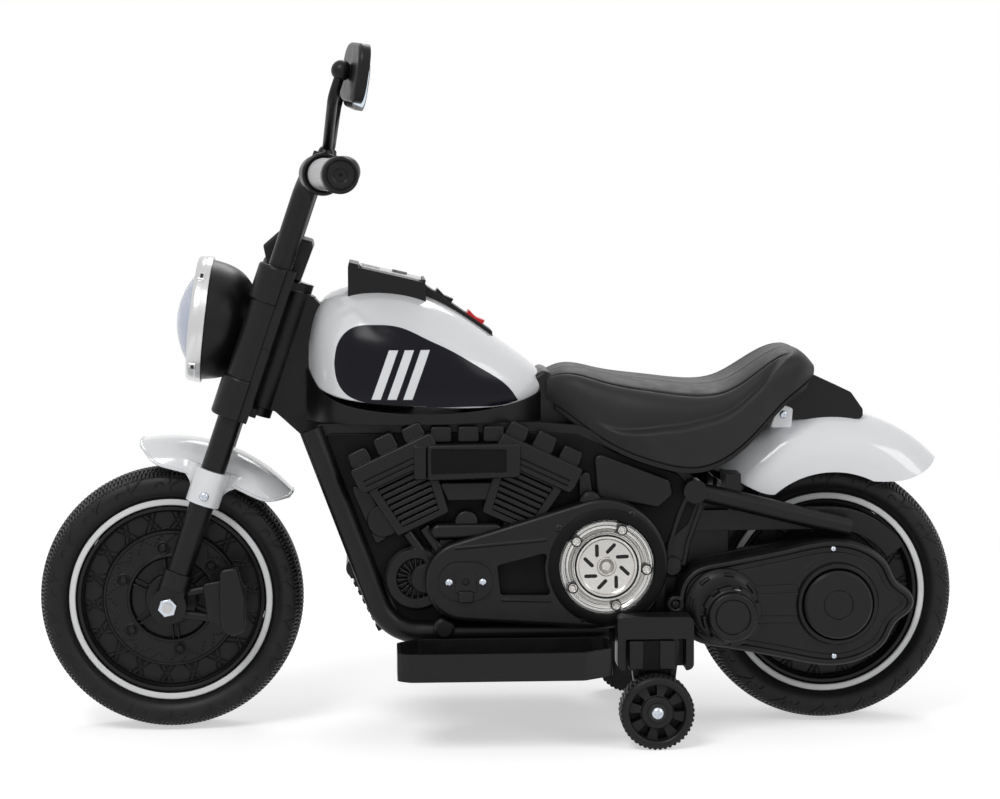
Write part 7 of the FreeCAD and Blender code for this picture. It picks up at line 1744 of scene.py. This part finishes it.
@dataclass
class Fittings:
    """The charge port's plate with its block and flap, and the dummy callipers' pads."""

    port: Flat = CHARGE_PORT
    bore: float = 3.4
    pad: tuple[Flat, ...] = ((-216.6, 132.0), (-203.6, 134.4), (-197.2, 108.8), (-198.0, 84.0),
                             (-208.0, 80.4), (-215.8, 85.4), (-217.4, 109.0))
    plate: tuple[Flat, ...] = ((-230.5, 120.6), (-214.0, 123.5), (-214.0, 87.4), (-226.3, 91.7))

    def build(self) -> None:
        """Make the fittings on both sides."""
        x, z = self.port
        plate = belt((x - 11.5, z - 1.6), 15.5, (x + 13.5, z - 1.6), 15.5, 24)
        made = Form("charge_plate").prism(plate, 78.0, 84.0, bevel=1.4)
        made.prism(rounded(box(x - 8.6, z - 6.4, x + 8.6, z + 7.4), 2.2), 83.0, 86.6, bevel=1.2)
        made.prism(rounded(box(x - 5.6, z - 16.0, x + 5.6, z - 6.8), 1.6), 83.0, 85.6, bevel=1.0)
        made.cut(Form("jack_hole").prism(circle(self.port, self.bore, 28), 70.0, 95.0))
        made.piece(SATIN_BLACK, "frame", "satin_black")
        pads = Form("calliper_pads").prism(rounded(self.pad, 4.0), 50.0, 63.0, bevel=2.2)
        pads.prism(rounded(self.plate, 3.0), 48.0, 57.0, bevel=1.4)
        pads.pair(SATIN_BLACK, "fork", "satin_black")


@dataclass
class Cockpit:
    """Grip caps and flanges, stem collars, and the plate on the dash box."""

    corner: tuple[float, float, float] = (0.0, -47.0, 349.5)
    sweep_deg: float = 9.0
    lift_deg: float = 3.0
    ribs: int = 12
    rib_pitch: float = 5.8
    lines: int = 7
    line_pitch: float = 5.2

    def grip_frame(self) -> Matrix:
        """Place the left grip.

        Returns:
            The grip's frame, with Z outwards along the bar from its corner.
        """
        sweep, lift = math.radians(self.sweep_deg), math.radians(self.lift_deg)
        heading = Vector((math.sin(sweep), -math.cos(sweep), math.sin(lift))).normalized()
        turn = heading.to_track_quat("Z", "Y").to_matrix().to_4x4()
        return fork_frame() @ Matrix.Translation(self.corner) @ turn

    def build(self) -> None:
        """Make the cockpit pieces."""
        place = self.grip_frame()
        flange = [(8.3, 59.8), (14.6, 59.8), (15.8, 60.8), (16.0, 62.2), (15.6, 64.2), (14.4, 65.0),
                  (13.2, 64.6), (12.6, 63.8), (8.3, 63.8)]
        cap = [(0.0, 141.0), (0.0, 144.6), (0.9, 144.6), (1.1, 146.2), (4.6, 146.4), (5.0, 147.2),
               (5.6, 147.6), (9.6, 147.6), (10.0, 146.9), (10.6, 146.9), (11.0, 147.9), (12.4, 147.8),
               (13.3, 146.6), (13.5, 145.0), (13.5, 139.2), (12.9, 137.6), (12.1, 137.1), (12.1, 141.0)]
        made = Form("grip_caps_look").lathe(flange, place, 64).lathe(cap, place, 64)
        made.pair(SATIN_BLACK, "fork", "satin_black", ["grip_caps"])
        sleeve = [(8.3, 64.0)]
        for k in range(self.ribs):
            along = 66.0 + self.rib_pitch * k
            sleeve += [(11.7, along), (12.0, along + 0.6), (12.0, along + 4.6), (11.7, along + 5.2)]
        sleeve += [(11.7, 137.0), (8.3, 137.0)]
        Form("grips_look").lathe(sleeve, place, 56).pair(GRIP_SILVER, "fork", "grip_silver", ["grips"])
        base = fork_frame() @ Matrix.Translation(Vector(self.corner) + Vector((6.6, -41.4, 14.6)))
        collar = Form("stem_collars").prism(rounded(box(-9, -7, 9, 7), 2.0), -3.0, 3.4, base, 1.0)
        collar.lathe([(0.0, 2.0), (0.0, 8.0), (4.4, 8.0), (5.6, 6.4), (6.4, 2.0)], base, 28)
        collar.pair(SATIN_BLACK, "fork", "satin_black")
        self.dash()

    def dash(self) -> None:
        """The silver plate on the dash box, with its fine lines and the bars before and behind it."""
        lean = math.atan2(14.2, 60.0)
        place = Matrix.Translation((-87.0, 0.0, 356.4)) @ Matrix.Rotation(lean, 4, "Y")
        made = Form("dash_plate").prism(rounded(box(-22.0, -27.0, 27.5, 27.0), 4.0), -1.0, 1.7, place, 0.6)
        line = Form("line").prism(box(-20.0, -0.5, -6.0, 0.5), 1.4, 2.1, Matrix(), 0.2)
        made.add(grid_of(line, 1, self.lines, (1.0, self.line_pitch), DASH_SILVER), place)
        made.piece(DASH_SILVER, "frame", "grey")
        rim = Form("dash_rim")
        for low, high in ((-30.4, -22.4), (27.9, 30.6)):
            rim.prism(rounded(box(low, -31.2, high, 31.2), 2.4), -2.0, 2.4, place, 1.0)
        rim.piece(SATIN_BLACK, "frame", "satin_black")


@dataclass
class Studio:
    """The floor, the soft light and the camera of the picture."""

    lens: float = 94.50
    place: tuple[float, float, float] = (-101.54, -2057.25, 447.65)
    yaw_deg: float = 2.871
    pitch_deg: float = 5.325
    roll_deg: float = 0.201
    sensor: float = 36.0
    far_clip: float = 50.0
    aim: tuple[float, float, float] = (0.0, 0.0, 0.22)
    floor_half: float = 6.0
    floor_drop: float = 0.0004
    floor_grey: float = 0.86
    floor_lift: float = 0.52
    fade_from: float = 0.55
    fade_to: float = 1.1
    ambient: float = 0.34
    key_watts: float = 27.0
    fill_watts: float = 7.0
    rim_watts: float = 14.0

    def camera(self) -> None:
        """Set the camera at the picture's viewing angle."""
        yaw, pitch, roll = (math.radians(v) for v in (self.yaw_deg, self.pitch_deg, self.roll_deg))
        forward = Vector((math.sin(yaw) * math.cos(pitch), math.cos(yaw) * math.cos(pitch), -math.sin(pitch)))
        level = Vector((math.cos(yaw), -math.sin(yaw), 0))
        down = forward.cross(level)
        right = level * math.cos(roll) + down * math.sin(roll)
        lower = down * math.cos(roll) - level * math.sin(roll)
        data = bpy.data.cameras.new("photo_camera")
        data.lens = self.lens
        data.sensor_width = self.sensor
        data.clip_end = self.far_clip
        lens = bpy.data.objects.new("photo_camera", data)
        turn = Matrix((right, -lower, -forward)).transposed().to_4x4()
        lens.matrix_world = Matrix.Translation(Vector(self.place) * MM) @ turn
        bpy.context.scene.collection.objects.link(lens)
        bpy.context.scene.camera = lens

    def lamp(self, name: str, place: Sequence[float], size: float, watts: float) -> None:
        """Hang one soft box that looks at the bike.

        Args:
            name: The lamp's name.
            place: Where it hangs, in metres.
            size: The side of its square face, in metres.
            watts: Its power.
        """
        data = bpy.data.lights.new(name, "AREA")
        data.size = size
        data.energy = watts
        hung = bpy.data.objects.new(name, data)
        hung.location = place
        aim = Vector(self.aim) - Vector(place)
        hung.rotation_euler = aim.to_track_quat("-Z", "Y").to_euler()
        bpy.context.scene.collection.objects.link(hung)

    def world(self) -> None:
        """A white surround for what looks at it, and softer light for the rest."""
        world = bpy.data.worlds.new("studio_world")
        world.use_nodes = True
        bpy.context.scene.world = world
        graph = Graph(world.node_tree)
        level = graph.add("ShaderNodeMapRange",
                          {"Value": self.seen(graph), "To Min": self.ambient, "To Max": 1.0})
        graph.feed(world.node_tree.nodes["Background"], {"Color": (1, 1, 1, 1), "Strength": level["Result"]})

    @staticmethod
    def seen(graph: Graph) -> bpy.types.NodeSocket:
        """Tell the rays that show the backdrop from those that only bring light.

        Args:
            graph: The tree to add the test to.

        Returns:
            One for a ray that is straight, mirrored or through glass, and zero for light.
        """
        path = graph.add("ShaderNodeLightPath")
        shown = graph.maths("MAXIMUM", path["Is Camera Ray"], path["Is Glossy Ray"])
        return graph.maths("MAXIMUM", shown, path["Is Transmission Ray"])

    def floor(self) -> None:
        """A pale floor that fades into the white surround and keeps the shadow."""
        mesh = bpy.data.meshes.new("studio_floor")
        half = self.floor_half
        mesh.from_pydata([(x, y, 0) for x, y in box(-half, -half, half, half)], [], [(0, 1, 2, 3)])
        plane = bpy.data.objects.new("studio_floor", mesh)
        plane.location.z = -self.floor_drop
        bpy.context.scene.collection.objects.link(plane)
        made = bpy.data.materials.new("studio_floor")
        made.use_nodes = True
        graph, nodes = Graph(made.node_tree), made.node_tree.nodes
        nodes.remove(nodes["Principled BSDF"])
        seen = self.seen(graph)
        dull = graph.add("ShaderNodeBsdfDiffuse", {"Color": (*[self.floor_grey] * 3, 1)})
        glow = graph.add("ShaderNodeEmission", {"Strength": graph.maths("MULTIPLY", seen, self.floor_lift)})
        near = graph.add("ShaderNodeAddShader", {0: dull["BSDF"], 1: glow["Emission"]})
        far = graph.add("ShaderNodeEmission", {"Strength": 1.0})
        spot = graph.add("ShaderNodeTexCoord")["Object"]
        length = graph.add("ShaderNodeVectorMath", {0: spot}, operation="LENGTH")["Value"]
        ends = {"From Min": self.fade_from, "From Max": self.fade_to}
        fade = graph.add("ShaderNodeMapRange", {"Value": length} | ends,
                         interpolation_type="SMOOTHSTEP")["Result"]
        reach = graph.maths("MULTIPLY", fade, seen)
        blend = graph.add("ShaderNodeMixShader", {0: reach, 1: near["Shader"], 2: far["Emission"]})
        graph.feed(nodes["Material Output"], {"Surface": blend["Shader"]})
        mesh.materials.append(made)

    def build(self) -> None:
        """Set up the whole studio."""
        bpy.context.scene.view_settings.view_transform = "Standard"
        self.camera()
        self.world()
        self.floor()
        self.lamp("key_box", (-0.9, -1.7, 2.1), 1.0, self.key_watts)
        self.lamp("fill_box", (1.6, -1.3, 1.2), 0.8, self.fill_watts)
        self.lamp("rim_box", (0.3, 1.6, 1.9), 1.0, self.rim_watts)


def dress_nodes() -> None:
    """Give every CAD node the finish of its material slot."""
    slots = {part["node"]: part["material_slot"] for part in frame["record"]["subparts"]}
    for name, node in frame["nodes"].items():
        finish = NODE_FINISHES[slots[name]]
        node.data.materials.clear()
        node.data.materials.append(finish.material())
        log.info("node %s wears %s", name, finish.name)


def main() -> None:
    """Build the picture in order and report each piece."""
    logging.basicConfig(level=logging.INFO, format="%(message)s")
    Studio().build()
    dress_nodes()
    wheels = RoadWheel("front", FRONT_AXLE, 38.5, 4.2), RoadWheel("rear", REAR_AXLE, 35.5, 5.2)
    for part in (*wheels, Engine(), PrimaryCover(), Saddle(), TankDecal(), DriveSide(), RearPosts(),
                 Stabilisers(),
                 SideLamp(), HeadLamp(), FrontFender(), Hardware(), Fittings(), Cockpit()):
        part.build()


if __name__ == "__main__":
    main()
